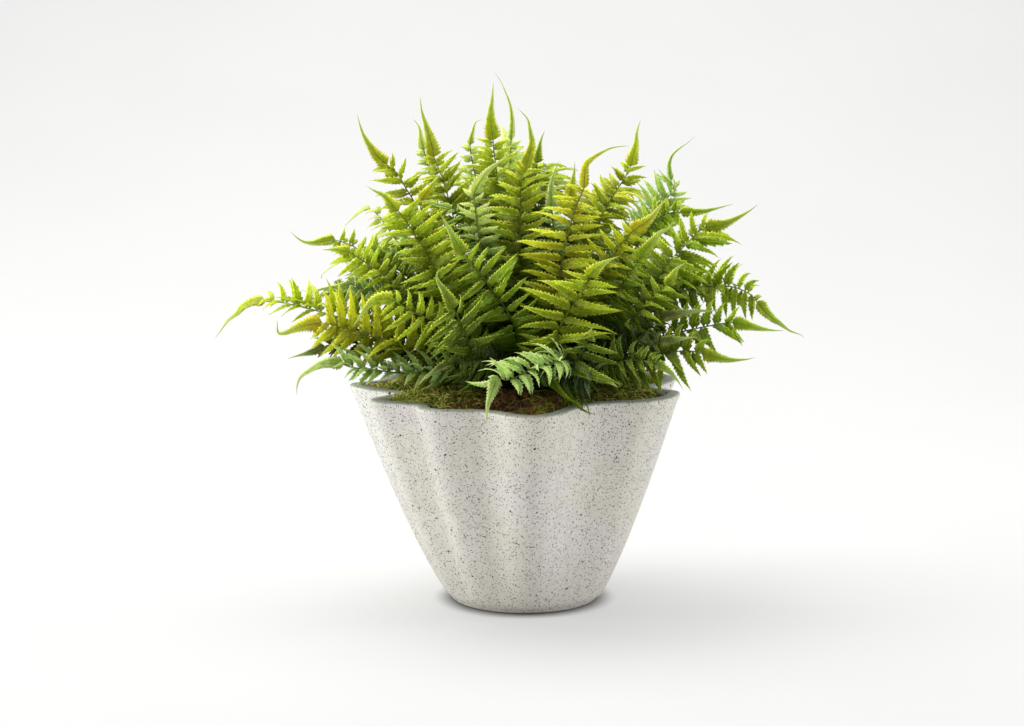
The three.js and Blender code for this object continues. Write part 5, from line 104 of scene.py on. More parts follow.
   [(-1,91.7,23.6,1.7,11.7),(1,95.2,-32.7,1,7.1),(-1,101.7,23.4,1.8,12),(1,105.2,-32.7,4.7,5.4),(-1,111.7,22.8,1.9,13.1),(1,115.2,-33.1,0.7,4.9),(-1,121.7,24.9,-1.7,8.6),(1,125.2,-32.8,1,7),(-1,131.7,24.3,1.5,10.2),(1,135.2,-32.7,1.1,7.3),(-1,141.7,23.9,8,10.1),(1,145.2,-32.5,1.2,7.9),(-1,151.7,24.7,1.5,9.8),(1,155.2,-32.9,1.3,8.9),(-1,161.7,24.8,1.7,11.4),(1,165.2,-33.6,1.4,9.6),(-1,171.7,22.1,13.7,11.9),(1,175.2,-33.9,9.6,6.5),(-1,181.7,18.4,19.1,8.8),(1,185.2,-34.4,0.9,6.1),(-1,191.7,22.7,-0.6,15),(1,195.2,-26.9,6.3,7.8),(-1,201.7,23.5,1.9,12.7),(1,205.2,-17.5,10.4,10.3),(-1,211.7,20.2,1.3,9),(1,215.2,-13.5,9.6,10.6),(-1,221.7,16.5,2.4,3.9),(1,225.2,-8.7,0.2,11)]),
  ('frond_upper_09', 'mid', 10, 9.1, (-0.067, -0.989, 0.132),
   [(6.8,15.2,178),(6.8,15.2,186),(6.8,15.2,194),(6.8,16.4,203),(7.4,23.6,232.1),(7.2,31.8,264.8),(6.5,39.2,298.1),(6.9,46.1,328.9),(8.1,50,354.1),(10,52.9,377.4),(11.9,56,402.5),(13.7,57.6,414.6),(15.6,58.8,423.9),(19.4,60,433.2)],
   [(-1,109.3,12.6,3.5,1.6),(1,112.6,-11.6,2.3,1.1),(-1,118.8,13,4.6,2.2),(1,122.1,-12.2,3.9,1.8),(-1,128.3,14,4.1,1.9),(1,131.6,-15.4,5.4,2.5),(-1,137.8,15.5,4.1,1.9),(1,141.1,-15.7,3.5,1.6),(-1,147.3,15.3,2.1,0.6),(1,150.6,-16.2,5.9,0.3),(-1,156.8,15.3,4.8,1.1),(-1,175.7,17.4,4.2,2),(1,179.1,-16.6,6.6,3.1),(-1,185.2,16.5,4.4,2),(1,188.6,-11,-2.5,6.1),(-1,194.7,18.2,3.8,1.8),(1,198.1,-19.1,-1.2,5.4),(-1,204.2,16.4,5.3,2.5),(1,207.6,-12.8,9,8.5),(-1,213.7,11.5,7.2,3.9),(1,217,-12.5,8.4,5.7),(-1,223.2,8.3,5.4,3.4),(1,226.5,-7.7,5.9,5.1)]),
  ('frond_upper_10', 'mint', 9, 9.6, (0.025, -0.991, 0.135),
   [(13,-4,178),(13,-4,186),(13,-4,194),(14.1,-4.5,203),(21,-8.3,235.4),(24.5,-10.9,272.1),(25.7,-11.7,307.5),(25.9,-10,336),(25.8,-7.7,353.2),(24.9,-6.4,363.2),(24,-4.5,376.7),(24.9,-2.7,390.3),(27.7,-1.6,398.4),(32.2,0,409.3)],
   [(-1,76.6,9.8,1.7,0.4),(1,80,-9.9,3.6,1.7),(-1,86.1,11.2,1.9,0.4),(1,89.5,-12.2,5.1,2.4),(-1,95.6,11.3,5.1,1.9),(1,99,-12.7,3.9,1.8),(-1,105.1,13.6,2.3,1),(1,108.5,-13.9,5.7,2.7),(-1,114.6,13.2,3.3,1.2),(1,118,-14,3.5,1.7),(-1,124.1,13.3,6.6,2.5),(1,127.5,-13.9,5.6,2.6),(-1,133.6,17,2.8,0.3),(1,137,-13.7,5.9,2.8),(-1,143.1,15.3,8,3),(1,146.5,-17.1,6.3,2.9),(-1,152.6,14.9,5.7,2.1),(1,156,-16.2,3.5,1.6),(-1,162.1,13,9.6,3.8),(1,165.5,-17.2,10.4,4.9),(-1,171.6,12.1,8.8,3.3),(1,175,-11.6,7.5,4.3),(-1,181.1,6.7,6.3,4.7),(1,184.5,-7.9,5.2,3.3)]),
  ('frond_upper_11', 'gold', 9, 11, (0.231, -0.947, 0.223),
   [(15.5,8,178),(15.5,8,186),(15.5,8,194),(16.7,8.2,203),(27,9.6,236.3),(36.7,10.1,273.6),(43.6,11.4,309.4),(45.7,15,338.4),(44.8,19.7,359.3),(42.1,22.6,372),(44,25.3,383.9),(45.9,28,395.7),(46.8,30,404.9)],
   [(-1,79.5,12.1,1.4,-1.4),(1,82.8,-17.2,3.1,20.9),(-1,89,16,2,-0.7),(1,92.3,-16.7,5.7,20.8),(-1,98.5,14,1.8,-0.1),(1,101.8,-17.3,0.5,21.1),(-1,108,16.7,2,-1.4),(1,111.3,-17.3,5.6,20.4),(-1,117.5,16,2.2,0.4),(1,120.8,-17.3,0.6,21.1),(-1,127,17.5,2.3,0.1),(1,130.3,-17.6,7.9,19.3),(-1,136.5,18.3,2.5,0.2),(1,139.8,-17.7,-1.8,21.5),(-1,146,20.1,4.5,2.1),(1,149.3,-20.9,8.2,17.8),(-1,155.5,21,6,2.8),(1,158.8,-22.1,-2.9,19.3),(-1,165,18.8,8.3,3.9),(1,168.3,-24.1,8.3,16.2),(-1,174.5,13.1,8.2,4.3),(1,177.8,-22.1,-3.2,14.7),(-1,184,12.9,8.9,6.4),(1,187.3,-20.2,3.5,9),(-1,193.5,6.2,7.3,6.2),(1,196.8,-14.8,1.3,8.6)]),
  ('frond_centre_01', 'gold', 14, 8, (-0.35, -0.917, 0.193),
   [(10.3,-30,178),(10.3,-30,186),(10.3,-30,194),(10.6,-31.1,203),(15.5,-50.3,236.2),(22.1,-74.5,269.6),(28.1,-85,298.6),(31.6,-83.3,316.2),(33.3,-82.1,328.4),(36,-80.9,340.7),(39.5,-79.6,353.8),(42.6,-78.5,365.2),(45.6,-77.7,373.1),(50.9,-76.3,386.2),(51.8,-76.1,387.9),(52.6,-74.6,403.6),(54.4,-74,409.7),(59.6,-73.3,414.1),(65.8,-72.6,418),(74.6,-71.7,422.3),(83.4,-70.8,424),(92.3,-70,424.4)],
   [(-1,87.6,33.5,-0.3,-1.8),(1,91.3,-31.2,2.4,16.3),(-1,98.1,33.4,-0.4,-2.6),(1,101.8,-33,1.8,12.4),(-1,108.6,33.2,-0.6,-4.2),(1,112.3,-31.8,2.2,15.1),(-1,119.1,33.5,-0.3,-1.9),(1,122.8,-32.4,2,13.7),(-1,129.6,33.5,0.1,0.8),(1,133.3,-33.4,1.6,11.1),(-1,140.1,33.5,2.6,1.3),(1,143.8,-33.4,1.7,11.2),(-1,150.6,33.8,-0.3,-2),(1,154.3,-33.4,1.9,13.1),(-1,161.1,35.9,0.2,1),(1,164.8,-34.7,9.2,2.9),(-1,171.6,37.5,0.4,2.5),(1,175.3,-39.2,1.1,7.1),(-1,182.1,35.4,0.8,5.5),(1,185.8,-32.4,8.5,5.6),(-1,192.6,28.2,5.7,3),(1,196.3,-33.7,1.8,12.2),(-1,203.1,24.5,3.7,0.1),(1,206.8,-29.4,4.6,5.9),(-1,213.6,17,-11.9,-1.9),(1,217.3,-22.1,8.4,4.3),(-1,224.1,13.1,-8.9,-2.1),(1,227.8,-14.9,6.7,5.2)]),
  ('frond_upper_12', 'lime', 13, 11, (-0.317, -0.914, 0.254),
   [(22.4,1.5,178),(22.4,1.5,186),(22.4,1.5,194),(23.6,1.5,203),(32.8,1.8,232.2),(41.8,1.7,264.9),(50.9,1.8,297.8),(60,2.7,327.7),(69.3,5,351.2),(79.4,8.4,372.1),(83.6,9.5,378.5),(89.1,11,386.7),(94.2,12.4,394.8),(97.4,13.5,402.1),(102.4,16.4,421.2),(103.4,18.2,433),(107.1,20,444.9)],
   [(-1,110.1,19.5,-0.2,-1.1),(1,113.5,-14.8,2,13.8),(-1,119.6,19.6,0,0.1),(1,123,-16.6,1.7,11.6),(-1,129.1,19.5,1.8,-1.6),(1,132.5,-14.7,2.1,13.9),(-1,138.6,19.5,1.4,-1.1),(1,142,-15.4,1.9,13.1),(-1,148.1,19.4,-2.3,-2.1),(1,151.5,-15.1,8.1,12.6),(-1,157.6,19.4,-2.9,-2.3),(1,161,-18.1,8.1,12.2),(-1,167.1,19.3,-6.3,-3.2),(1,170.5,-13.6,11.4,14.1),(-1,176.6,20,-4.4,-2.6),(1,180,-13,8.4,15.7),(-1,186.1,20.6,-5.7,-2),(1,189.5,-13.9,7.3,15.9),(-1,195.6,20.7,-10.3,-3.1),(1,199,-11.4,12.9,17.6),(-1,205.1,21.8,-4,-2.5),(1,208.5,-11,14.9,16.8),(-1,214.6,22.3,-0.4,-2.4),(1,218,-8.3,13.3,11.6),(-1,224.1,20.2,0.4,2.6),(1,227.5,-6.8,11.3,8.4),(-1,233.6,13.6,0.8,5.2),(1,237,-6.3,8.8,5)]),
  ('frond_upper_13', 'mint', 13, 5.1, (0.17, -0.966, 0.196),
   [(29.5,9.1,178),(29.5,9.1,186),(29.5,9.1,194),(30.6,9.4,203),(41.9,12.5,229.1),(57.4,16.7,256.3),(75.2,21.5,283.4),(93.4,26.4,309.3),(109.9,31.1,332.7),(122.7,35,352.5),(133,38.3,370),(136.8,39.5,376),(137.7,40.6,382.4),(136.8,41.3,386.6),(134.9,43.7,401.3),(137.8,45.2,410.1),(143.4,46.5,415.6),(152.8,48.3,422),(160.3,50,428.9)],
   [(-1,134.7,21.5,-0.4,-1.9),(1,137.6,-8.8,1.2,26.9),(-1,143.2,20,0.2,1.1),(1,146.1,-11.9,9.6,23.8),(-1,151.7,21.5,0.2,1.3),(1,154.6,-11.1,-2.1,25.9),(-1,160.2,21,-3.5,3.2),(1,163.1,-13.3,9.6,23),(-1,168.7,21.4,2.3,1.6),(1,171.6,-13.3,-2.5,24.8),(-1,177.2,21.1,-3.8,2.4),(1,180.1,-11.8,6.6,24.8),(-1,185.7,20.2,1.4,1.2),(1,188.6,-12.8,-2.3,25.8),(-1,194.2,22.3,0.3,2.4),(1,197.1,-14,9.9,24.2),(-1,202.7,22.3,-1.2,5.6),(1,205.6,-14.4,-2.5,26.8),(-1,211.2,22.8,5,3.6),(1,214.1,-16,10.4,24.8),(-1,219.7,20.9,-1.3,4.3),(1,222.6,-9.8,3.9,25.1),(-1,228.2,14.3,8.1,2.6),(1,231.1,-10,-3.2,17.9),(-1,236.7,6.9,5.3,5.1),(1,239.6,-12.9,5.3,8.3)]),
  ('frond_upper_14', 'gold', 10, 12, (-0.1, -0.975, 0.198),
   [(17.1,-21.3,178),(17.1,-21.3,186),(17.1,-21.3,194),(17.9,-22.1,203),(27.5,-34.7,234),(40.6,-52.9,266),(55.6,-68.9,295.5),(70.7,-75,318.9),(83.5,-73.7,335.6),(89.2,-73.2,342.6),(94.9,-72.7,349.2),(111.3,-71.4,361.1),(120.1,-70.6,372.5),(126.7,-70,379.6)],
   [(-1,77.4,18.8,1.9,1.7),(1,80.9,-18.3,2,13.6),(-1,87.4,18.8,-0.3,-1.8),(1,90.9,-18.1,2.1,13.9),(-1,97.4,18.9,1.6,-2),(1,100.9,-16.4,2.3,15.9),(-1,107.4,18.9,1.4,0.4),(1,110.9,-17.8,2.1,14.3),(-1,117.4,18.6,-5.2,-2.8),(1,120.9,-18.5,2,13.3),(-1,127.4,18.9,2.6,-1.9),(1,130.9,-16.8,6.9,14.7),(-1,137.4,18.2,-11.4,-4.4),(1,140.9,-16.9,11,14.7),(-1,147.4,19.2,-7.8,-3.3),(1,150.9,-17.9,10.6,14.7),(-1,157.4,19.7,-10.6,-3.3),(1,160.9,-17.2,10.1,16.4),(-1,167.4,20,-12.3,-3.9),(1,170.9,-17.4,2.7,18.3),(-1,177.4,19.3,-5.1,-2.5),(1,180.9,-13,2.7,18.1),(-1,187.4,16.4,-6.3,-4.7),(1,190.9,-10.6,3.6,14.3),(-1,197.4,15,2.9,-4.6),(1,200.9,-6.2,5.7,9.1)]),
  ('frond_right_01', 'mid', 14, 8.6, (0.004, -0.926, 0.378),
   [(29.7,-4.7,178),(29.7,-4.7,186),(29.7,-4.7,194),(30.8,-4.9,203),(41.5,-6.7,228.8),(55.5,-9.3,256.4),(71,-12,283.5),(86.3,-14.1,307.9),(99.6,-15,327.3),(109.5,-15,341),(114,-15,347.4),(120.8,-15,355.2),(125.8,-15,358.8),(133,-15,361.5),(141.2,-15,362),(150.3,-15,361.5),(159.4,-15,362),(168.5,-15,363.8),(179.3,-15,366.5),(189.7,-15,369.3)],
   [(-1,95.9,18.5,1.1,-9.2),(1,99.3,-6.1,2.3,15.8),(-1,105.4,18.8,-1.2,-8.4),(1,108.8,-7.3,2.3,15.3),(-1,114.9,18.7,-1.3,-8.6),(1,118.3,-6.1,2.3,15.8),(-1,124.4,18.8,-1.3,-8.5),(1,127.8,-6.8,11.5,14.1),(-1,133.9,19.6,-0.9,-6.4),(1,137.3,-6.4,14.2,13.9),(-1,143.4,18.9,-1.2,-8.3),(1,146.8,-5.9,12.9,14.3),(-1,152.9,19.6,-7,-6.3),(1,156.3,-6.7,13.4,14.3),(-1,162.4,19.5,-1.3,-8.8),(1,165.8,-4.4,13.8,15.4),(-1,171.9,20.3,-7.4,-7.3),(1,175.3,-7.4,14.8,14.7),(-1,181.4,19.8,-12.7,-8.9),(1,184.8,-7.3,14,15.3),(-1,190.9,18.7,-2,-13.3),(1,194.3,-6.2,7.4,16.9),(-1,200.4,19.4,-1.9,-12.9),(1,203.8,-0.8,9.3,17.8),(-1,209.9,16.3,-3.4,-9.6),(1,213.3,0.4,9.4,13.2),(-1,219.4,9.6,1.4,-12.2),(1,222.8,3.6,6.8,9.6)]),
  ('frond_right_02', 'mid', 13, 11, (-0.031, -0.97, 0.242),
   [(33.8,-17.2,178),(33.8,-17.2,186),(33.8,-17.2,194),(34.9,-17.7,203),(49,-27.1,230.3),(70.4,-41.7,256.1),(93.3,-54.8,279.5),(111.7,-60,299.4),(124.1,-59.2,315),(131.2,-58.7,323.9),(138.2,-58.3,331),(147.5,-57.8,340.4),(155.1,-57.4,348.4),(161.3,-57.1,351.9),(174.7,-56.5,353.2),(181.8,-56.2,356.3),(190.7,-55.8,360.7),(200.4,-55.4,366.5),(208,-55,372.3)],
   [(-1,100.5,30.3,-2,-13.2),(1,103.8,-13.3,2.7,18.5),(-1,110,30.5,4.7,-11.9),(1,113.3,-13.1,2.8,18.7),(-1,119.5,27.1,-2.1,-14.5),(1,122.8,-12.3,2.8,19.2),(-1,129,31,-1.7,-11.4),(1,132.3,-13.9,8,17.3),(-1,138.5,29.1,-9.1,-12.9),(1,141.8,-11.8,11.5,18.2),(-1,148,30.3,-5.4,-12),(1,151.3,-15.1,16.1,15.1),(-1,157.5,32,2.4,-9.3),(1,160.8,-15.1,15.1,15.8),(-1,167,32.5,-5.4,-9.5),(1,170.3,-15.5,14.3,16.3),(-1,176.5,33.4,2.5,-10.4),(1,179.8,-16.2,18.4,15.9),(-1,186,32.6,-10,-11.4),(1,189.3,-14.2,17.8,18.1),(-1,195.5,32,5.8,-11.6),(1,198.8,-10,3.2,21.7),(-1,205,27.5,-4.5,-8.7),(1,208.3,-6.4,3,20.1),(-1,214.5,38.5,-4.4,-3.5),(1,217.8,-2.6,6.7,17.2),(-1,224,25.1,9.8,-6.5),(1,227.3,4.8,8,12.4)]),
  ('frond_right_03', 'mid', 15, 11, (0.351, -0.868, 0.352),
   [(40.3,-6.4,178),(40.3,-6.4,186),(40.3,-6.4,194),(41.5,-6.6,203),(56.9,-9.3,230.1),(81,-13.6,255.8),(108.1,-17.7,276.2),(132.5,-20,287.5),(150.7,-20.7,292.2),(170.6,-21.4,295),(183.3,-21.9,295.1),(193.3,-22.2,293.3),(199.7,-22.5,290.6),(205.2,-22.7,287.9),(209.8,-22.9,282.4),(211.7,-23,280.6),(217.2,-23.4,273.3),(223.7,-23.7,266.9),(231.9,-24,261.4),(242.1,-24.5,254.1),(252.1,-24.9,250.5),(254.9,-25,247.7)],
   [(-1,89.9,15.3,-1.7,-11.8),(1,93.2,-1,-13.3,18),(-1,99.4,14.4,-1.9,-12.8),(1,102.7,-3.2,-4,21.8),(-1,108.9,12.8,-8.5,-13.5),(1,112.2,0.5,7.6,21.1),(-1,118.4,13.3,-9.2,-12.9),(1,121.7,-0.7,5.6,21.7),(-1,127.9,12.2,-14.9,-13),(1,131.2,0.3,12.7,20.8),(-1,137.4,10.9,-11,-14.6),(1,140.7,2.7,3.3,22),(-1,146.9,10.6,-17.2,-14.1),(1,150.2,5.7,10,20.8),(-1,156.4,7,-14.4,-16.7),(1,159.7,7.2,15,20.1),(-1,165.9,7.9,-18.9,-16.1),(1,169.2,6.9,10.6,21.4),(-1,175.4,5.9,-15,-17.9),(1,178.7,10.4,9.2,20.6),(-1,184.9,5.8,-16.6,-18.1),(1,188.2,11.5,3.4,23.1),(-1,194.4,0.8,-14.3,-21.1),(1,197.7,13,3.6,24.5),(-1,203.9,1.5,-3.5,-23.7),(1,207.2,11.7,13.2,15.4),(-1,213.4,-1,-3.5,-23.8),(1,216.7,11.6,12.4,10.9),(-1,222.9,1.5,-3.5,-23.8),(1,226.2,11.1,11.7,4.5),(-1,232.4,-0.2,-0.5,-18.9),(1,235.7,6.5,9.9,1.1)]),
  ('frond_right_04', 'mid', 11, 11, (0.016, -0.972, 0.234),
   [(44.1,-20,178),(44.1,-20,186),(44.1,-20,194),(45.2,-20.5,203),(61.2,-29.6,225.5),(87.8,-44.6,241.8),(117.6,-58.8,252.9),(143,-65,259.5),(159.1,-65,263.1),(169.7,-65,264.9),(178.7,-65,266.7),(185.3,-65,267.1),(196.5,-65,264.9),(207.3,-65,262.2),(219,-65,260.4),(231.5,-65,259.5)],
   [(-1,58.1,17.7,-2.7,-18.2),(1,61.6,-1.6,3,20.4),(-1,68.1,15.9,-2.9,-19.8),(1,71.6,1.2,3,20.4),(-1,78.1,14.3,-3.1,-21),(1,81.6,0.9,3,20.4),(-1,88.1,14,-3.1,-21.2),(1,91.6,-2.9,-6,19.5),(-1,98.1,12.8,-3.2,-21.9),(1,101.6,-7.1,-5,21),(-1,108.1,13.4,-3.2,-21.5),(1,111.6,-5.9,-5,21.4),(-1,118.1,11.3,-3.4,-22.9),(1,121.6,12.2,16.5,8),(-1,128.1,12.2,-3.4,-23.2),(1,131.6,4.5,16.7,18.8),(-1,138.1,8.7,-3.8,-25.4),(1,141.6,6.8,13,19.3),(-1,148.1,11.5,-3.7,-25),(1,151.6,4.4,13.6,20.4),(-1,158.1,12.7,-3.7,-25.1),(1,161.6,5.3,12.9,20),(-1,168.1,11.8,-3.3,-22.3),(1,171.6,6.4,10.5,19),(-1,178.1,22.2,-4.5,-14.7),(1,181.6,5.9,2.5,17),(-1,188.1,15.2,2.1,-15.8),(1,191.6,7.4,0.3,12.1)]),
  ('frond_right_05', 'mid', 10, 11, (0.043, -0.929, 0.368),
   [(41.1,-34,178),(41.1,-34,186),(41.1,-34,194),(42,-34.8,203),(57.9,-53,224.2),(84.1,-80.3,235.2),(110,-95,241.3),(125.8,-95.9,244.9),(131,-96.1,245.4),(145.9,-96.9,246),(155.6,-97.4,243.8),(167,-98.1,240.8),(179.3,-98.7,238.2),(193.3,-99.5,238.8),(202.9,-100,240.6)],
   [(-1,38.2,25.7,6.2,-4.1),(1,41.7,3.3,6.6,18.4),(-1,48.2,21.5,-7,-10.4),(1,51.7,8.9,12,2.2),(-1,58.2,20.6,6.4,-15.7),(1,61.7,3.9,9.2,18.3),(-1,68.2,9.5,-3,-20.1),(1,71.7,7.4,15,16.4),(-1,78.2,8.9,-6.2,-22.4),(1,81.7,7.2,12.6,16.8),(-1,88.2,7.5,-10.7,-24.4),(1,91.7,12.7,22.1,4.3),(-1,98.2,11.3,-10.5,-23.3),(1,101.7,6.5,14.2,17.2),(-1,108.2,10.6,-0.9,-25.6),(1,111.7,8.8,18.3,16.2),(-1,118.2,9.2,-3.9,-26.5),(1,121.7,7.5,15.3,17.7),(-1,128.2,8.5,-4.1,-27.5),(1,131.7,9.4,19.5,16.9),(-1,138.2,-0.7,-8.2,-30),(1,141.7,6.9,13.4,18.9),(-1,148.2,13.4,-4.1,-27.5),(1,151.7,7,13.9,18.3),(-1,158.2,12.8,-2.7,-18.3),(1,161.7,8,9.3,15.3),(-1,168.2,9.3,-0.8,-16.9),(1,171.7,8.2,6.5,9.8)]),
  ('frond_right_06', 'shade', 10, 11, (-0.316, -0.737, 0.598),
   [(30.1,-34.7,178),(30.1,-34.7,186),(30.1,-34.7,194),(30.9,-35.5,203),(44.9,-55.5,224.9),(67.4,-84.9,238.6),(89.4,-100,250.9),(95.5,-100,255.3),(102.5,-100,261.5),(109.5,-100,266.8),(119,-100,274.8),(135.7,-100,279.2),(153.2,-100,281.8),(163.7,-100,281.8),(173.3,-100,284)],
   [(-1,39.5,11,-9,-5.2),(1,43,-6.5,8.3,7.9),(-1,49.5,9.7,-9.5,-7.4),(1,53,-7.4,10.6,10.6),(-1,59.5,9.1,-10.8,-9.9),(1,63,-3.7,11.2,12.6),(-1,69.5,10.1,-13.3,-12.8),(1,73,-0.2,10.3,15.5),(-1,79.5,6.9,-12.2,-12.8),(1,83,-1,12.4,14.3),(-1,89.5,8.5,-12.8,-12.8),(1,93,-5.5,14.7,16.3),(-1,99.5,8.6,-12.9,-12.9),(1,103,-3.2,12.7,14.3),(-1,109.5,10.6,-14.4,-14),(1,113,-4.2,12.6,14),(-1,119.5,10.7,-12.9,-11.9),(1,123,-5.6,14.6,16.1),(-1,129.5,15.8,-14.2,-9.9),(1,133,-9.9,12.1,15.9),(-1,139.5,14.5,-11.2,-5.6),(1,143,-11.3,4,15.8),(-1,149.5,10.4,-8.4,-4.6),(1,153,-3,10.9,12.4),(-1,159.5,8,-5.9,-2.3),(1,163,-0.8,6.8,7.8)]),
  ('frond_right_07', 'mid', 11, 10.1, (-0.431, -0.819, 0.377),
   [(35.2,-26.6,178),(35.2,-26.6,186),(35.2,-26.6,194),(36.1,-27.4,203),(46.5,-40.6,225.3),(63.1,-61.7,244.3),(81.6,-81.4,260.9),(97.7,-90,276.1),(108.1,-90,287.7),(114.3,-90,293),(122.1,-90,301),(126.5,-90,303.6),(129,-90,309.8),(134.2,-90,318.6),(142.1,-90,323.9)],
   [(-1,62.1,6.3,-11.8,-7.8),(1,65.4,-3.5,11,10.5),(-1,71.6,4.1,-9.7,-11.9),(1,74.9,-7.5,9.8,11.8),(-1,81.1,7.9,-12,-9.5),(1,84.4,5,10.3,2.2),(-1,90.6,11.3,-10.2,-10.4),(1,93.9,-0.8,14.5,12),(-1,100.1,12.2,-11.2,-11.6),(1,103.4,1.2,15.4,13),(-1,109.6,13.5,-11.7,-11.5),(1,112.9,-16.7,4.1,14.7),(-1,119.1,15.4,-12.4,-11.3),(1,122.4,-3,18.1,12.9),(-1,128.6,14.3,-12.5,-12.3),(1,131.9,-8,15.2,15.3),(-1,138.1,13.8,-9,-14),(1,141.4,-11.8,13.5,15.6),(-1,147.6,15.2,-16.4,-6),(1,150.9,-10.3,12,14),(-1,157.1,14.4,-9,-4.6),(1,160.4,-6.3,11.1,14.1),(-1,166.6,14.6,-5.7,-2.7),(1,169.9,-5.1,9.6,12.4),(-1,176.1,9.1,-4.3,-2),(1,179.4,1.4,7.5,8.3)]),
  ('frond_right_08', 'mid', 9, 12, (-0.345, -0.884, 0.317),
   [(26.4,-23.1,178),(26.4,-23.1,186),(26.4,-23.1,194),(27.2,-23.9,203),(37.8,-36.7,230.7),(53.4,-56,257.7),(70.5,-73.3,282.5),(85.6,-80,303.4),(94.4,-79,315.7),(101.5,-78.2,326.3),(110.2,-77.2,337.7),(119,-76.3,348.2),(127,-75.7,352.6),(132.2,-75,362.3)],
   [(-1,73.4,9.3,-9.8,0.1),(1,76.7,-12.8,0,4.3),(-1,82.9,11.7,-9,-0.6),(1,86.2,-13.2,-0,4.7),(-1,92.4,10,-7.1,-5.4),(1,95.7,-15.5,-0,5.9),(-1,101.9,12.2,-8.3,-5.7),(1,105.2,-15.5,0,6.2),(-1,111.4,15.5,-10.6,-7.4),(1,114.7,-17.7,-0.3,7.5),(-1,120.9,15.4,-10.7,-7.8),(1,124.2,-15.9,1.7,7.9),(-1,130.4,14.8,-9.8,-6.3),(1,133.7,-11.8,11,11.4),(-1,139.9,14.7,-9.9,-6.6),(1,143.2,-10.1,11.6,13.4),(-1,149.4,17,-11.7,-8.3),(1,152.7,-3.9,18.9,4.4),(-1,158.9,16.5,-7.1,-3.3),(1,162.2,-9.1,11,12.9),(-1,168.4,13.4,-4.4,-2.1),(1,171.7,-7.3,8.7,10.2),(-1,177.9,8.8,1.1,-0.6),(1,181.2,-3,8.4,7.1)]),
  ('frond_centre_02', 'lime', 14, 12, (-0.042, -0.996, -0.081),
   [(9.2,-40.6,178),(9.2,-40.6,186),(9.2,-40.6,194),(9.4,-41.8,203),(11.4,-61.4,220.1),(16.3,-101.6,230.3),(21.4,-119.3,244.1),(23.4,-118.7,254),(26.3,-118.1,262.9),(30,-118,270),(35.2,-118.5,279.7),(41.3,-119.5,289.5),(49,-120.6,299.2),(53.3,-121.6,309.8),(54.9,-122,314.1),(62.6,-123.1,322.9),(72.9,-124.2,329.1),(81.5,-125,332.7)],
   [(1,86.1,-27,-6.5,-7.5),(1,95.8,-21.9,2.7,18.5),(-1,102.1,11.5,-17.3,-21.4),(1,105.5,-19.8,15.7,17.7),(-1,111.9,26.5,-23.8,-32.3),(1,115.3,-25.7,10.9,11.4),(-1,121.6,17.8,-11.5,11.8),(1,125,-26.8,10.8,10.4),(-1,131.3,45.9,-15.5,11.3),(1,134.8,-30.3,-4.7,-3.8),(-1,141.1,45.2,9.5,-9.8),(1,144.5,-34.9,-0.1,-0.5),(-1,150.8,46.5,-12.2,-7.3),(1,154.2,-39.3,5.3,11.8),(-1,160.6,43.7,9.1,-1.7),(1,164,-41.3,-0.5,18.7),(-1,170.3,36.7,-8.6,-5.5),(1,173.7,-34.1,10.3,16.6),(-1,180,32.1,0,0.2),(1,183.5,-29.7,1.3,8.9),(-1,189.8,25.9,-0.4,-3),(1,193.2,-20.7,1.2,8.1)]),
  ('frond_centre_03', 'mid', 12, 12, (0.094, -0.986, 0.136),
   [(-5,-37.4,178),(-5,-37.4,186),(-5,-37.4,194),(-5.2,-38.6,203),(-5.2,-59,230.3),(-6.1,-86.6,255.8),(-13.4,-100,277.4),(-23,-99.2,292.3),(-29.1,-98.7,300.2),(-36.1,-98.2,310.3),(-43.1,-97.6,319.4),(-50.1,-97.1,328.2),(-53.6,-96.9,331.6),(-61.4,-96.2,343.9),(-67.5,-95.6,355.2),(-74.4,-95,367.4)],
   [(-1,62.3,28.5,0.2,1.3),(1,65.7,-13.7,14,20.2),(-1,71.8,26.5,9.9,3.7),(1,75.2,-26.1,-0.5,10.5),(-1,81.3,3.8,18.5,21.4),(1,84.7,-27.9,0.5,3.7),(-1,90.8,19,5,20.7),(1,94.2,-28,-0.4,-2.5),(-1,100.3,24.5,2.1,14.5),(1,103.7,-28,-0.4,-2.9),(-1,109.8,23.9,2.3,15.5),(1,113.2,-26.4,-1.4,-9.6),(-1,119.3,21.4,2.8,19.1),(1,122.7,-28.4,-0.6,-3.8),(-1,128.8,22.5,2.8,18.9),(1,132.2,-25.8,-8.7,-10.9),(-1,138.3,21.1,3.2,21.5),(1,141.7,-27.3,-1.9,-12.5),(-1,147.8,17.5,3.9,26.6),(1,151.2,-24,4.7,-18.5),(-1,157.3,23.3,-4.5,26.1),(1,160.7,-24.8,-2.7,-18),(-1,166.8,18.8,3.4,22.8),(1,170.2,-19,-8.9,-6.9),(-1,176.3,11.1,2.7,18.4),(1,179.7,-18.1,-0.9,-6.1),(-1,185.8,8.9,2,13.8),(1,189.2,-13.7,0.9,-4.2)]),
  ('frond_centre_04', 'deep', 11, 11, (0.187, -0.982, -0.031),
   [(-20.3,-46.6,178),(-20.3,-46.6,186),(-20.3,-46.6,194),(-20.7,-47.7,203),(-26.7,-69.5,219.5),(-36.4,-101.7,228.4),(-44.9,-119.1,241.4),(-48.3,-120.4,252.1),(-50.4,-121.6,261),(-55,-123.1,270.7),(-59.2,-124.6,281.4),(-61.8,-125.2,286.7),(-69.4,-127.1,301.7),(-75.4,-128.4,311.4),(-76.2,-129,317.5),(-70.9,-130,324.5)],
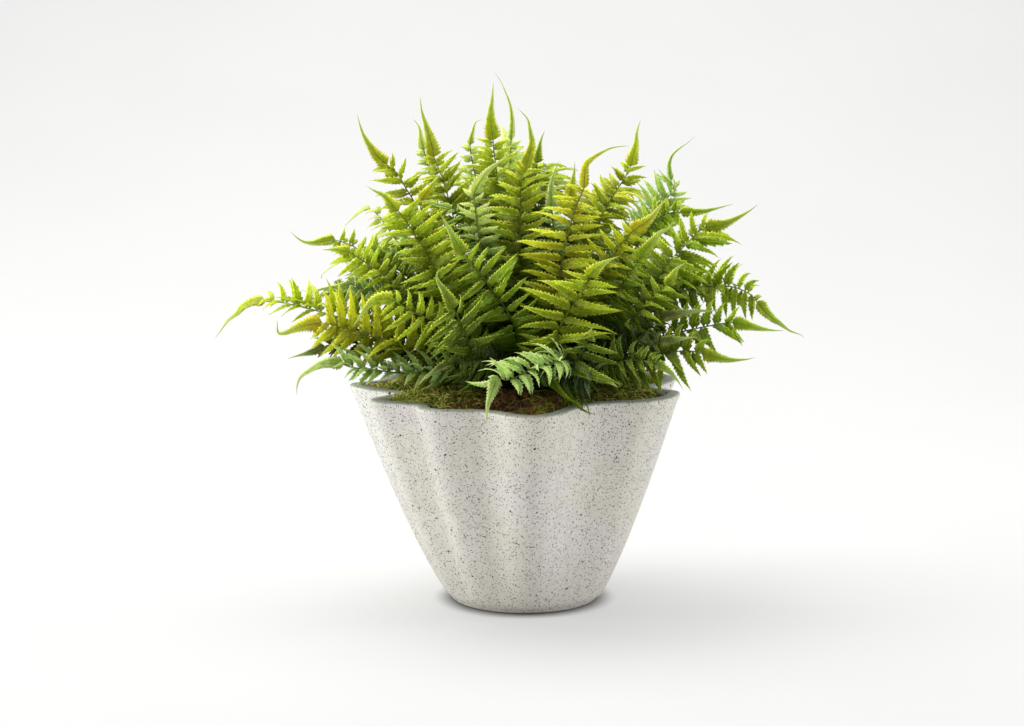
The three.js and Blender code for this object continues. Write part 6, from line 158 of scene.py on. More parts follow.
   [(-1,41.7,15.3,6.6,23.9),(1,45,-28.1,1.9,-6.7),(-1,51.1,13,3.8,25.8),(1,54.5,-29.2,3,-10.4),(-1,60.6,-2.2,-4.2,26.7),(1,63.9,-27.4,3.1,-14.6),(-1,70.1,-8.3,-3.8,27.7),(1,73.4,-24.2,3.1,-15.6),(-1,79.5,3.4,4.2,28.6),(1,82.8,-26.6,1.4,-16.3),(-1,89,-3,12,26.4),(1,92.3,-24.9,-2.8,-18.6),(-1,98.5,3.7,9.5,15.2),(1,101.8,-29.1,-1.9,-12.9),(-1,107.9,3.1,20.7,14.5),(1,111.2,-11.2,4.1,-5.4),(-1,117.4,24.7,6.2,18),(1,120.7,-25.8,-20,8.2),(-1,126.8,29.3,-5.7,11.7),(1,130.2,-34.5,-0.4,-2.4),(-1,136.3,21.2,3.1,21.1),(1,139.6,-26.8,-10.3,-20.3),(-1,145.8,17.7,3.3,22.5),(1,149.1,-29.1,-2.7,-18.4),(-1,155.2,2.3,4.7,15.9),(1,158.5,-20.1,-1.8,-12.2)]),
  ('frond_centre_05', 'lime', 12, 11, (0.16, -0.951, 0.265),
   [(-21.9,-37.2,178),(-21.9,-37.2,186),(-21.9,-37.2,194),(-22.5,-38.3,203),(-30.1,-59.1,228.6),(-43,-89.1,249.2),(-60.6,-105,263.9),(-74.6,-105.7,272),(-82.4,-106.1,275.1),(-92,-106.6,279.1),(-100.7,-107,283.1),(-108.5,-107.4,288),(-115.4,-107.8,292.4),(-124.1,-108.2,294.2),(-132.8,-108.6,291.7),(-138.9,-109,285.6),(-146,-109.5,275.1),(-152.1,-110,266.4)],
   [(-1,59,11.2,4.8,14.7),(1,62.3,-22.6,-5.8,-14.4),(-1,68.5,-9.2,11.1,12.1),(1,71.8,-23.8,-2,-13.5),(-1,78,-2,13.9,14.6),(1,81.3,-22.6,-2.3,-15.4),(-1,87.5,1.1,11.3,15.9),(1,90.8,-21.2,-2.5,-17.2),(-1,97,8.3,16.2,15),(1,100.3,-22.7,-2.2,-15.2),(-1,106.5,6.7,15.3,15.8),(1,109.8,-19.8,-2.8,-18.8),(-1,116,6.8,15.5,16),(1,119.3,-19.7,-2.9,-19.6),(-1,125.5,6.1,18.2,16.3),(1,128.8,-19.3,-3.1,-20.9),(-1,135,4.9,15.2,17.6),(1,138.3,-16.2,-0,-24.4),(-1,144.5,0.5,16.6,18.5),(1,147.8,-18,-3.7,-24.8),(-1,154,3,14.7,18.7),(1,157.3,-26.4,-6.6,-20),(-1,163.5,0.5,8.5,18.9),(1,166.8,-27.5,0.8,-16.9),(-1,173,-1.6,10.8,15.3),(1,176.3,-20.9,-2.3,-12.3),(-1,182.5,-2.8,8.6,11.7),(1,185.8,-13.4,-1.9,-12.5)]),
  ('frond_centre_06', 'pale', 11, 10.1, (0.042, -0.999, -0.008),
   [(-11.8,-24.8,178),(-11.8,-24.8,186),(-11.8,-24.8,194),(-12.5,-25.8,203),(-18.9,-36.6,233.9),(-26.3,-49.5,267.5),(-33.2,-60.4,299.8),(-38.3,-65,326.8),(-41.3,-65,346.4),(-42.6,-65,357.9),(-44.4,-65,372.1),(-45.2,-65,381.9),(-37.3,-65,396.9),(-29.3,-65,405.7),(-11.6,-65,416.3)],
   [(-1,93.8,11.4,5.6,2.6),(1,97.1,-12,-2,-0.9),(-1,103.3,12.3,7.5,3.6),(1,106.6,-13.9,1.8,0),(-1,112.8,13.4,8.8,5.6),(1,116.1,-16.2,2.1,-0.6),(-1,122.3,13.8,8.4,4),(1,125.6,-16.7,2.1,-0.9),(-1,131.8,16,9.8,4.8),(1,135.1,-18.4,2.3,-1.3),(-1,141.3,17.4,10.8,5.6),(1,144.6,-18.3,2.3,-0.7),(-1,150.8,17.8,8.7,4.1),(1,154.1,-17,-4.2,-0.3),(-1,160.3,19.4,11.8,5.6),(1,163.6,-15.6,-4.1,-3),(-1,169.8,19.7,12.1,5.7),(1,173.1,-18,-7.1,3.4),(-1,179.3,18.5,11.1,5.2),(1,182.6,-18.8,-4.7,0.6),(-1,188.8,14.6,9.4,5.6),(1,192.1,-16.2,6,9),(-1,198.3,11.9,8.6,6.7),(1,201.6,-13.8,7.1,3.3),(-1,207.8,7,6.4,6.5),(1,211.1,-9,7.3,6.6)]),
  ('frond_centre_07', 'gold', 10, 10.1, (0.031, -0.992, 0.122),
   [(-24.7,-16.7,178),(-24.7,-16.7,186),(-24.7,-16.7,194),(-25.8,-17.4,203),(-37.2,-26,234.5),(-51.9,-37.8,268),(-67.1,-47.5,299.5),(-79.7,-50,325.3),(-88.7,-47.5,343.9),(-93.1,-45.1,362.6),(-92.2,-43.6,375),(-85,-42,385.6),(-75.2,-40,398.9)],
   [(-1,96.5,9.9,7,5.2),(1,99.9,-8.2,-6.9,-1.7),(-1,106,10.4,8.3,7.5),(1,109.4,-10.9,-10,-2.4),(-1,115.5,10.4,7.9,6.8),(1,118.9,-10.6,-10.1,-2.4),(-1,125,11.2,8.5,7.2),(1,128.4,-12.2,-10,-2.4),(-1,134.5,10.7,8.4,7.5),(1,137.9,-12.8,-7.9,-1.9),(-1,144,15.4,10.5,7.1),(1,147.4,-14.4,-10.1,-2.4),(-1,153.5,12.5,9.5,8.1),(1,156.9,-11.4,-7.7,-1.9),(-1,163,14.2,11.1,9.8),(1,166.4,-13.3,-11.2,-2.7),(-1,172.5,14.7,11.3,9.8),(1,175.9,-16.2,-13.1,-3.2),(-1,182,14.7,10.5,8),(1,185.4,-15.2,3.1,-1.4),(-1,191.5,12.9,9.3,7.3),(1,194.9,-12.5,3.8,0.9),(-1,201,9.9,7.1,5.4),(1,204.4,-8.4,8.3,2.4),(-1,210.5,8.4,5.6,3.7),(1,213.9,-5.2,6.9,4.1)]),
  ('frond_centre_08', 'blue', 10, 6.9, (0.252, -0.714, 0.653),
   [(-14.3,-15.6,178),(-14.3,-15.6,186),(-14.3,-15.6,194),(-14.9,-16.6,203),(-19,-26.1,230.5),(-22.6,-37.9,260.9),(-27,-49.3,291.5),(-33,-57.6,319),(-41.9,-60,340.6),(-52.5,-58.5,358.3),(-65,-57.4,368),(-78.4,-56.4,371.5),(-89,-55.7,375),(-98,-55,372.3)],
   [(-1,99.6,11,2.9,1.4),(1,103,-8.9,1.5,0.1),(-1,109.1,11.6,4.8,1.8),(1,112.5,-10.6,1.7,0.2),(-1,118.6,11.3,6.5,3.3),(1,122,-12,1.8,-0.8),(-1,128.1,12.5,7.4,2.8),(1,131.5,-13.1,-2.9,-1.1),(-1,137.6,12.4,9.4,4.3),(1,141,-14.1,2.1,-1.2),(-1,147.1,12.6,10.2,5.8),(1,150.5,-14.3,2.1,-1.2),(-1,156.6,12.2,9.7,5.2),(1,160,-13.5,-5.1,-1.9),(-1,166.1,12.3,11.1,7.7),(1,169.5,-15.4,-7.5,-2.8),(-1,175.6,11.9,11.3,8.5),(1,179,-14.8,-8.2,-3),(-1,185.1,10.1,10.8,9.1),(1,188.5,-13.8,-8.6,-3.2),(-1,194.6,5,9,9.5),(1,198,-12.1,-8.9,-3.5),(-1,204.1,-0.6,6,6.9),(1,207.5,-7.5,-5.9,-3)]),
  ('frond_front_01', 'mint', 12, 11, (0.123, -0.814, 0.568),
   [(9,-56.2,178),(9,-56.2,186),(9,-56.2,194),(9.2,-57.4,203),(20.1,-86.1,228.1),(33,-121.1,241.8),(27.2,-145.2,243.3),(16.8,-147.7,240.2),(6.4,-150.2,237.6),(-2.2,-152.4,234.9),(-9,-154.3,230.8),(-17.6,-156.4,229.4),(-22.7,-157.8,231.4),(-26.1,-159.1,227.2),(-29.5,-161.7,217.3),(-32.1,-163.8,209),(-32.9,-165.5,202.4),(-33.7,-168,192.4)],
   [(-1,103.2,23,-1.8,10.5),(1,106.2,-5.5,7,13),(-1,111.7,-24.1,1.1,7.6),(1,114.7,3.6,-11.5,-12.9),(-1,120.2,-23.9,1.2,8.3),(1,123.2,4,-14.7,-12.3),(-1,128.8,-22.1,0.1,12.3),(1,131.8,2.5,-17.2,-12.3),(-1,137.3,-23.2,7.6,7.8),(1,140.3,1.5,-16.2,-14.8),(-1,145.8,-22.6,-2.5,13.6),(1,148.8,9.2,-20,-5.9),(-1,154.3,-25.8,5,7.5),(1,157.3,8.9,-15.4,-11.7),(-1,162.9,-27.8,-6.9,8.6),(1,165.8,8.3,-15.1,-11.8),(-1,171.4,-27.3,12.3,12.1),(1,174.4,6.4,-10.8,-10.8),(-1,179.9,-12.1,0.2,17.5),(1,182.9,-27.9,7.5,-2.8)]),
  ('frond_front_02', 'dusk', 9, 10.1, (-0.469, -0.812, 0.348),
   [(3.7,-48.3,178),(3.7,-48.3,186),(3.7,-48.3,194),(4,-49.5,203),(7.3,-76.2,227.1),(20,-104.3,236.1),(31.9,-116.3,235.5),(43.2,-125.2,234.9),(51.6,-130.5,233.2),(61.7,-137.6,230),(71,-144.5,226.7),(80.1,-152,221.8)],
   [(-1,50.1,11.1,-9.1,-11.5),(1,53,-13.3,0.1,13.3),(-1,58.5,11.3,-10.5,-15.6),(1,61.5,-8.4,-1.1,16.8),(-1,67,5.1,-9.7,-17.2),(1,70,2.7,2.7,18.4),(-1,75.5,13.2,3.3,-0.4),(1,78.4,5.9,7.6,16.9),(-1,83.9,7.3,1,-4.8),(1,86.9,9.4,9,15.1),(-1,92.4,4.8,-5.1,-8.7),(1,95.4,-4.1,3,20.1),(-1,100.9,0.1,-3.6,-8.1),(1,112.3,12.8,12.5,9.4),(-1,117.8,9.7,6.5,-20.7),(1,120.8,12.5,14.5,-8.1),(-1,126.3,10.7,8.9,-19.5),(1,129.2,13.2,2.1,16.2),(-1,134.7,3.1,-4,-26.7),(1,137.7,14.4,6.3,8.8),(-1,143.2,-1.5,-21.7,-19.9),(1,146.2,10.1,-6,11)]),
  ('frond_front_03', 'deep', 9, 11, (-0.201, -0.968, -0.152),
   [(17.4,-51.7,178),(17.4,-51.7,186),(17.4,-51.7,194),(17.6,-52.9,203),(21.4,-74.7,221.4),(27.7,-109.8,222.9),(36.9,-130,232.3),(42.9,-132.4,241.4),(48.8,-134.7,250.5),(53.8,-137.4,261.3),(57.1,-140,272.9)],
   [(-1,43.3,32.1,-0.6,-3.7),(1,46.5,-11,5.2,12.4),(-1,52.4,36.2,-6.4,-11.2),(1,55.6,-3.3,11.9,16),(-1,61.6,4.7,-1.9,-14.5),(1,64.8,6.1,14.3,14.9),(-1,70.7,34,-7.4,-16.5),(-1,79.9,24.3,-11.3,-18),(-1,89,37.8,5.7,-4.5),(-1,98.1,27.6,-4,-27.2),(1,101.3,2.7,8.9,8.7),(-1,107.3,23.7,-15.2,-28.8),(1,110.5,-10.6,10.1,16),(-1,116.4,31.4,-26.1,-7.7),(1,119.6,-6.5,9.1,2.6),(-1,125.5,33.7,-21.8,-12.8),(1,128.7,-12.3,17.3,11.4),(-1,134.7,33.9,6.6,-7.9),(1,137.9,-18.8,2.3,0.3),(-1,143.8,27.1,2.3,-5.3),(1,147,-15.3,0.2,1.6)]),
  ('frond_front_04', 'shade', 9, 10.1, (-0.276, -0.753, 0.597),
   [(33.6,-43.5,178),(33.6,-43.5,186),(33.6,-43.5,194),(34.4,-44.4,203),(46.1,-63.9,223.9),(65.8,-93.2,236.2),(87.2,-110,244.3),(100.2,-112,249),(108.8,-113.4,252.7),(117.4,-114.8,255.6),(131.1,-116.9,258.5),(141.4,-118.4,260.5),(151.7,-120,261.5)],
   [(-1,35.3,11.9,-11.6,-0.8),(1,38.6,-10,9.4,9.8),(-1,44.8,7.9,-6.4,-3.6),(1,48.1,-10.1,10.1,11),(-1,54.3,8.8,-11.3,-8.5),(1,57.6,-5.7,10.1,15.2),(-1,63.8,9.8,-12.7,-12.1),(1,67.1,-3.4,11.9,16.1),(-1,73.3,6.9,-13.5,-14.4),(1,76.6,-2.3,13,17.6),(-1,82.8,8.3,-15.8,-16.7),(1,86.1,-2.1,12.9,17.6),(-1,92.3,8.3,-16.1,-17.2),(1,95.6,-1.6,15.1,20.5),(-1,101.8,8.1,-16.1,-17.2),(1,105.1,-0.9,13.7,18.8),(-1,111.3,6.2,-15.8,-17.4),(1,114.6,-0.2,15.9,21.7),(-1,120.8,8.9,-16.2,-17.1),(1,124.1,-1,15.9,21.7),(-1,130.3,12,-13.7,-12.2),(1,133.6,0.8,9.4,16.4),(-1,139.8,11.1,-10.6,-8.1),(1,143.1,1.7,9.9,16.9),(-1,149.3,5.9,-6.4,-7.7),(1,152.6,1.8,4.8,10.7)]),
  ('frond_front_05', 'deep', 9, 10.1, (0.063, -0.683, 0.728),
   [(24.3,-45.2,178),(24.3,-45.2,186),(24.3,-45.2,194),(25,-46.2,203),(35.7,-67.5,223.9),(54,-99.9,234.7),(75.4,-120,239.6),(90.8,-124.4,242),(103.6,-128.1,241.7),(112.1,-130.6,239.4),(123.2,-134.3,233.8),(130,-137,227.3),(135.9,-140,219)],
   [(-1,51.4,13,-6.7,-2.7),(1,54.6,-6.7,9.8,9.8),(-1,60.4,7.9,-10.5,-8),(1,63.6,-1.3,11.9,13.7),(-1,69.4,8.1,-12.8,-10.7),(1,72.6,-0.3,11.5,13.2),(-1,78.4,7.1,-12.2,-12.1),(1,81.6,0.6,12.9,14.8),(-1,87.4,11.1,-4.9,-16.6),(1,90.6,0.3,13.2,15.3),(-1,96.4,7.5,-14.2,-15),(1,99.6,1.2,14.8,17),(-1,105.4,4.8,-15,-14.2),(1,108.6,3.4,14.6,16.6),(-1,114.4,3.8,-15.4,-14.9),(1,117.6,2.5,14.8,16.9),(-1,123.4,8.2,-12.9,-18.4),(1,126.6,0.7,15.6,18),(-1,132.4,6.2,-17.3,-12.5),(1,135.6,1.7,16.5,19),(-1,141.4,6.6,-15.4,-14.2),(1,144.6,6.5,13.3,14.4),(-1,150.4,5.5,-11.2,-10),(1,153.6,7.5,10.6,10.5),(-1,159.4,2.6,-7.4,-7),(1,162.6,8.7,6.4,5.7)]),
  ('frond_front_06', 'shade', 8, 9.2, (-0.008, -0.636, 0.771),
   [(-10.9,-48.2,178),(-10.9,-48.2,186),(-10.9,-48.2,194),(-11.3,-49.3,203),(-15.4,-69.5,223.4),(-23.3,-100.5,236.3),(-37.5,-120.9,241.4),(-52.6,-126.6,242.2),(-65.4,-131.4,239.5),(-77.2,-136.3,234.1),(-87.4,-141,227.9),(-94.2,-145,220.7)],
   [(1,43,-11.2,-2.6,-6.1),(1,52.1,-11.2,-6.8,-5),(1,61.1,-10.4,-8.8,-4.1),(-1,67,5.9,14.4,7.9),(1,70.2,-12.9,-11.1,-7.1),(-1,76.1,5.7,16.3,9.5),(1,79.2,-10,-11.8,-10.7),(-1,85.1,2.8,16,10.1),(1,88.3,-7.9,-12.8,-13.1),(-1,94.2,-0.2,16.4,10.6),(1,97.3,-9.3,-13.9,-16.3),(-1,103.2,-2.7,17.3,11),(1,106.4,-4.9,-13.7,-15.2),(-1,112.3,-2.1,19.5,12.5),(1,115.4,-5.5,-16,-17.8),(-1,121.3,-0.6,-2.3,17.8),(1,124.5,-3.4,-13.2,-14.9),(-1,130.4,-5.2,11.4,6),(1,133.5,-1.7,-11.9,-13.7),(-1,139.4,-5.5,8.8,3.5),(1,142.6,-1.4,-6.8,-7.8)]),
  ('frond_back_01', 'mid', 9, 14, (-0.294, 0.088, 0.952),
   [(-41.7,10.6,178),(-41.7,10.6,186),(-41.7,10.6,194),(-41.7,10.6,203),(-47.9,11.9,225.5),(-69.6,17.4,255.4),(-98.7,24.6,277.5),(-133.6,33.3,287),(-169.6,42.3,283.9),(-186.6,46.5,279.1),(-196.5,49,275.5),(-206.1,51.4,271.2),(-215.6,53.8,266.6),(-225.1,56.1,262)],
   [(-1,85,-13.8,-15.1,-5.5),(1,88.7,-4.6,20.5,-2.1),(-1,95.4,-9.8,-18.4,0.2),(1,99.1,-0.7,22.7,-2.2),(-1,105.9,-11.2,-19.4,0.6),(1,109.5,0,21,-0.1),(-1,116.3,-16.2,-20.5,-8.6),(1,119.9,-1.3,25.1,-0.7),(-1,126.7,-12.1,-22.9,-1.7),(1,130.3,2.8,26.8,-3.7),(-1,137.1,-13.2,-25.9,-4.1),(1,140.7,2.5,27.6,-2),(-1,147.5,-10.1,-23.8,-2.4),(1,151.2,2.2,28.3,-2.8),(-1,157.9,-12.1,-26.7,-2.5),(1,161.6,3,28.6,-2.7),(-1,168.3,-12.5,-29.4,-6),(1,172,2.9,29,-3.7),(-1,178.8,-14.6,-27,-5.2),(1,182.4,-1.6,29.3,-4.2),(-1,189.2,-15.4,-20.6,-5.4),(1,192.8,-2.6,21.5,-5.1),(-1,199.6,-11.2,-16,-4.5),(1,203.2,-4.9,22.5,-5.2),(-1,210,-8.4,-9.9,-5.4),(1,213.6,-2.3,12.9,-6.5)]),
  ('frond_back_02', 'deep', 9, 14, (-0.286, 0.193, 0.938),
   [(-29.9,12.7,178),(-29.9,12.7,186),(-29.9,12.7,194),(-29.9,12.7,203),(-32.3,19.9,226.5),(-47.6,29.8,263.5),(-68.8,44.7,295.7),(-98.1,66.8,315.7),(-132.9,88.6,316.2),(-147.6,96.2,311.1),(-155.8,101.3,307.2),(-163.8,106.4,302.4),(-171.6,111.5,297.2),(-179.5,116.6,292)],
   [(-1,100.8,-15,-13.3,2.2),(1,104.4,7,19.4,-0.8),(-1,111.3,-16.2,-15.4,1.8),(1,115,8.8,20.7,1.2),(-1,121.8,-16.4,-15.5,1.9),(1,125.5,8.3,20.4,0.7),(-1,132.3,-17.3,-19.1,0.3),(1,136,9.2,22,-0),(-1,142.8,-18.4,-19.1,-2.9),(1,146.5,11.4,25.5,-3.6),(-1,153.4,-20,-19.1,-3.1),(1,157,7.6,23.1,0.3),(-1,163.9,-21,-18.6,-1.2),(1,167.6,11.6,26.9,-1.5),(-1,174.4,-19.7,-20,-4.2),(1,178.1,12.2,23.7,-4.5),(-1,184.9,-15.4,-18.2,16.3),(1,188.6,10.7,26.2,-5.5),(-1,195.4,-22.5,-16.8,-2.9),(1,199.1,7.2,27.1,-5.5),(-1,206,-18,-13.6,-5.2),(1,209.6,4.3,21.1,-5.4),(-1,216.5,-15.5,-11.3,-5.4),(1,220.2,3.9,19.6,-6.5),(-1,227,-12.3,-5.6,-5.6),(1,230.7,2.1,13.1,-6.7)]),
  ('frond_back_03', 'lime', 9, 14, (-0.245, 0.325, 0.914),
   [(-28.3,33.7,178),(-28.3,33.7,186),(-28.3,33.7,194),(-28.3,33.7,203),(-35.1,41.8,225.6),(-47.4,56.5,253),(-64.3,76.6,273.4),(-85.1,101.4,281.1),(-106.3,126.6,275.8),(-117.1,139.5,269.2),(-123.7,147.5,264.2),(-130.2,155.1,258.4),(-136.4,162.6,252.2),(-142.7,170.1,246)],
   [(-1,59.2,-18.9,-10.5,0.2),(1,62.9,14.1,16.6,1.1),(-1,69.7,-22.4,-9.7,1.1),(1,73.4,15.4,19.8,-0.3),(-1,80.2,-24.4,-10.5,0.1),(1,83.9,13,20,3.2),(-1,90.7,-24.9,-11.5,1.7),(1,94.4,14.8,22.3,0.8),(-1,101.2,-28.5,-13.2,1.9),(1,104.9,20.1,23.1,-1),(-1,111.7,-28.5,-13.2,-3),(1,115.4,19.3,20.4,-1.5),(-1,122.2,-29.9,-14.2,-1.6),(1,125.9,21.7,24.8,-2.3),(-1,132.7,-27.2,-16.1,-4.2),(1,136.4,18,27.2,-4.2),(-1,143.2,-27.1,-15.2,-3.6),(1,146.9,21.3,21.7,-1.2),(-1,153.7,-33,-12.8,-7.9),(1,157.4,18.1,22.7,-6.8),(-1,164.2,-28.3,-10,-7.7),(1,167.9,13.8,24.1,-6.4),(-1,174.7,-24.8,-8.3,-8),(1,178.4,10.4,21.6,-7.7),(-1,185.2,-20.1,-7.6,-5.2),(1,188.9,8.1,18.7,-6.5),(-1,195.7,-14.6,-3.6,-9),(1,199.4,4.1,13.9,-8.5)]),
  ('frond_back_04', 'mid', 9, 14, (-0.007, -0.009, 1),
   [(-9.6,25.9,178),(-9.6,25.9,186),(-9.6,25.9,194),(-9.6,25.9,203),(-12.1,28.6,227.4),(-17,40.1,272.3),(-23.5,55.3,315.9),(-32.9,77.5,355.7),(-47.5,112,382.4),(-54.5,128.3,384.9),(-58.8,138.6,383.8),(-63.1,148.6,381),(-67.1,158.1,376.6),(-71.1,167.5,372)],
   [(-1,121.8,-21.6,-2.4,0.7),(1,125.5,15.7,12.5,2.2),(-1,132.3,-22.7,-2.4,0.8),(1,135.9,18.5,12.8,1.4),(-1,142.8,-25.4,-6.3,1),(1,146.4,19,15,1.8),(-1,153.2,-25.3,-3.6,4.4),(1,156.9,21.6,15.9,3.2),(-1,163.7,-26.5,-4.9,5.1),(1,167.4,21.8,14.7,1.1),(-1,174.2,-29.2,-3.5,5.2),(1,177.9,19.1,13.7,-0.7),(-1,184.7,-27.7,-4.7,2.5),(1,188.4,23.8,17.7,1.9),(-1,195.2,-28.5,-4.6,-1.1),(1,198.9,24.3,21.5,0.3),(-1,205.7,-29.2,-5.8,-0.9),(1,209.4,23.9,18,-0.7),(-1,216.2,-29.3,-1,-0.1),(1,219.9,20.8,20,-0.9),(-1,226.7,-24.6,0.8,0.2),(1,230.4,16.7,17.5,-1.7),(-1,237.2,-21,4.6,-0.5),(1,240.8,12.3,15.9,-0.4),(-1,247.7,-14.7,1.7,-4),(1,251.3,6.6,12.5,-6)]),
  ('frond_back_05', 'deep', 9, 14, (-0.021, 0.39, 0.921),
   [(-3.2,45.9,178),(-3.2,45.9,186),(-3.2,45.9,194),(-3.2,45.9,203),(-3.9,55.7,225.6),(-5.3,75.9,257.3),(-7.3,104.2,282),(-9.8,140,292.5),(-12.4,177.1,287.5),(-13.6,193.8,281.3),(-14.3,204.7,276.3),(-15,215.1,270.5),(-15.8,225.3,264.3),(-16.5,235.4,258)],
   [(-1,75.7,-22.9,3.5,0.9),(1,79.3,20.5,7,1.2),(-1,86.2,-23.2,4.1,0.6),(1,89.8,22,7.5,-0.6),(-1,96.7,-25.2,5,-0.9),(1,100.3,24.5,9.2,1.1),(-1,107.2,-30.8,5.7,-1.4),(1,110.8,27.8,8.5,0.6),(-1,117.7,-29.3,7.4,0.4),(1,121.3,26.2,10.6,-1.7),(-1,128.2,-31.7,4.7,-1.7),(1,131.8,29.9,8.1,-3.3),(-1,138.7,-31.9,4.6,-2.1),(1,142.3,31.2,9.3,-2.4),(-1,149.2,-33.8,3.8,-4.8),(1,152.8,31.3,10.1,-4.5),(-1,159.7,-32.3,5.1,-4.1),(1,163.3,29.7,7.5,-5.1),(-1,170.2,-33.1,4.9,-6),(1,173.8,29.7,9.7,-5.9),(-1,180.7,-28.5,10.3,-6.7),(1,184.3,26,13.5,-6.5),(-1,191.2,-24.4,5.4,-5.7),(1,194.8,22.5,13.3,-6.7),(-1,201.7,-19.8,7.4,-6.7),(1,205.3,18.8,11.5,-8.6),(-1,212.2,-12.8,7.2,-7.4),(1,215.8,13.8,6.9,-7.1)]),
  ('frond_back_06', 'lime', 9, 14, (-0.02, -0.042, 0.999),
   [(4.4,25,178),(4.4,25,186),(4.4,25,194),(4.4,25,203),(4.2,28.1,227.5),(6.2,39.7,274.2),(9.5,53.9,319.8),(13.4,75.9,362.1),(19.7,112,392.4),(22.8,129.3,395.7),(24.7,139.8,395),(26.5,150,392.5),(28.2,159.8,388.4),(29.9,169.4,384)],
   [(-1,127.8,-18,7.3,2.3),(1,131.4,18.2,-0.1,1.8),(-1,138.2,-20.8,6.6,3),(1,141.9,22.4,0.8,3.7),(-1,148.7,-22.3,6.9,1.6),(1,152.4,22.4,2.3,2.7),(-1,159.2,-21.3,7.3,1.4),(1,162.8,27.1,1.4,1.6),(-1,169.6,-27.4,8.9,3),(1,173.3,26.9,-0.3,0.8),(-1,180.1,-26.1,8.4,-0.5),(1,183.8,27.3,2.1,2.5),(-1,190.6,-27.7,10.9,1.1),(1,194.2,30.4,2.1,0.5),(-1,201,-28.6,10.6,1),(1,204.7,30.9,-0.4,-2.7),(-1,211.5,-26.9,13.8,0.4),(1,215.2,30.1,3.2,0.4),(-1,222,-25.6,16,0.5),(1,225.6,28.8,4.1,-0.5),(-1,232.4,-19.6,13.5,3),(1,236.1,24.2,6,0.9),(-1,242.9,-15.1,14.1,0.5),(1,246.6,17.4,6.5,-0.7),(-1,253.4,-9.2,11.4,-4.6),(1,257,12.9,6.3,-5.9)]),
  ('frond_back_07', 'mid', 9, 14, (0.169, 0.348, 0.922),
   [(16.7,34.2,178),(16.7,34.2,186),(16.7,34.2,194),(16.7,34.2,203),(20.1,41.2,227),(27.9,57.3,265.6),(39.1,80.1,299.5),(55,112.8,320.5),(73.4,150.6,319.5),(80.9,165.9,313.5),(85.2,174.7,308.9),(89.3,183.1,303.5),(93.3,191.3,297.7),(97.3,199.5,292)],
   [(-1,95.4,-19.9,16.6,0.7),(1,99.1,21.9,-5.9,2),(-1,105.9,-17.8,14,3.1),(1,109.6,24.6,-4.6,3),(-1,116.4,-20.2,17.6,0),(1,120.1,24.2,-4,1.2),(-1,126.9,-21.5,16.7,-1.3),(1,130.6,27.3,-4.9,0.2),(-1,137.4,-22.6,19.3,-0.5),(1,141.1,28.7,-5.5,1.4),(-1,147.9,-21.5,19.7,-0.9),(1,151.6,30.6,-7.7,-3.4),(-1,158.4,-23.3,18,-1.7),(1,162.1,31.2,-5.5,-1.7),(-1,168.9,-22.2,19.6,-1.5),(1,172.6,32.2,-5.6,-4.3),(-1,179.4,-21.3,18.5,-4.4),(1,183.1,31.8,-8.8,-2.6),(-1,189.9,-22.1,19.8,-4),(1,193.6,31,-7.6,-5.7),(-1,200.4,-21.3,20.2,-4.1),(1,204.1,28.3,-6.6,-6.7),(-1,210.9,-15.6,20.3,-5.9),(1,214.6,26.7,-2.7,-4.7),(-1,221.4,-13.5,17.4,-5.2),(1,225.1,20.8,2.5,-6.7),(-1,231.9,-8.8,10.5,-6),(1,235.6,15.3,1.2,-6.7)]),
  ('frond_back_08', 'gold', 9, 14, (0.08, 0.062, 0.995),
   [(18.4,21.1,178),(18.4,21.1,186),(18.4,21.1,194),(18.4,21.1,203),(22,25.3,227.2),(30.8,35.4,271.3),(42.7,49.1,313.6),(60.2,69.2,350.9),(86.4,99.4,372.2),(98.1,112.9,372.5),(105.1,120.9,370.5),(111.8,128.6,367.1),(118.2,136,362.6),(124.7,143.4,358)],
   [(-1,119.4,-13.3,16.7,1.2),(1,123.1,19.4,-11.3,2.4),(-1,129.9,-13.8,20.5,2.1),(1,133.6,19.9,-11.4,2.1),(-1,140.4,-15.8,20.5,0.1),(1,144.1,22.3,-12.1,0.6),(-1,150.9,-13.4,19.3,4.2),(1,154.6,19.5,-11.2,0.1),(-1,161.4,-16.1,23.4,2.7),(1,165.1,23,-14.1,0.9),(-1,171.9,-17.5,23.2,0.7),(1,175.6,24.6,-11.2,-0.1),(-1,182.4,-15.8,23.4,1.6),(1,186.1,23.3,-12.6,-0.7),(-1,192.9,-17.7,26.2,-1.8),(1,196.6,25.3,-17.2,-2),(-1,203.4,-16.9,22,-2.5),(1,207.1,25,-15.3,-0.8),(-1,213.9,-16,24.5,-2.5),(1,217.6,25.9,-9.5,-1.9),(-1,224.4,-10.7,20,-1.3),(1,228.1,25.1,-4.9,-2),(-1,234.9,-7,19,-0.6),(1,238.6,20.2,-4.2,-3),(-1,245.4,-3.9,13.7,-4.6),(1,249.1,14.6,-0.9,-4.4)]),
  ('frond_back_09', 'deep', 9, 14, (0.301, 0.176, 0.937),
   [(35.2,22.9,178),(35.2,22.9,186),(35.2,22.9,194),(35.2,22.9,203),(43.3,28.1,226.1),(60.4,39.2,259.6),(84.1,54.6,286.6),(114.7,74.5,299.9),(147.4,95.7,297),(161.8,105.1,291.5),(170.3,110.6,287.4),(178.5,115.9,282.5),(186.5,121.1,277.2),(194.6,126.4,272)],
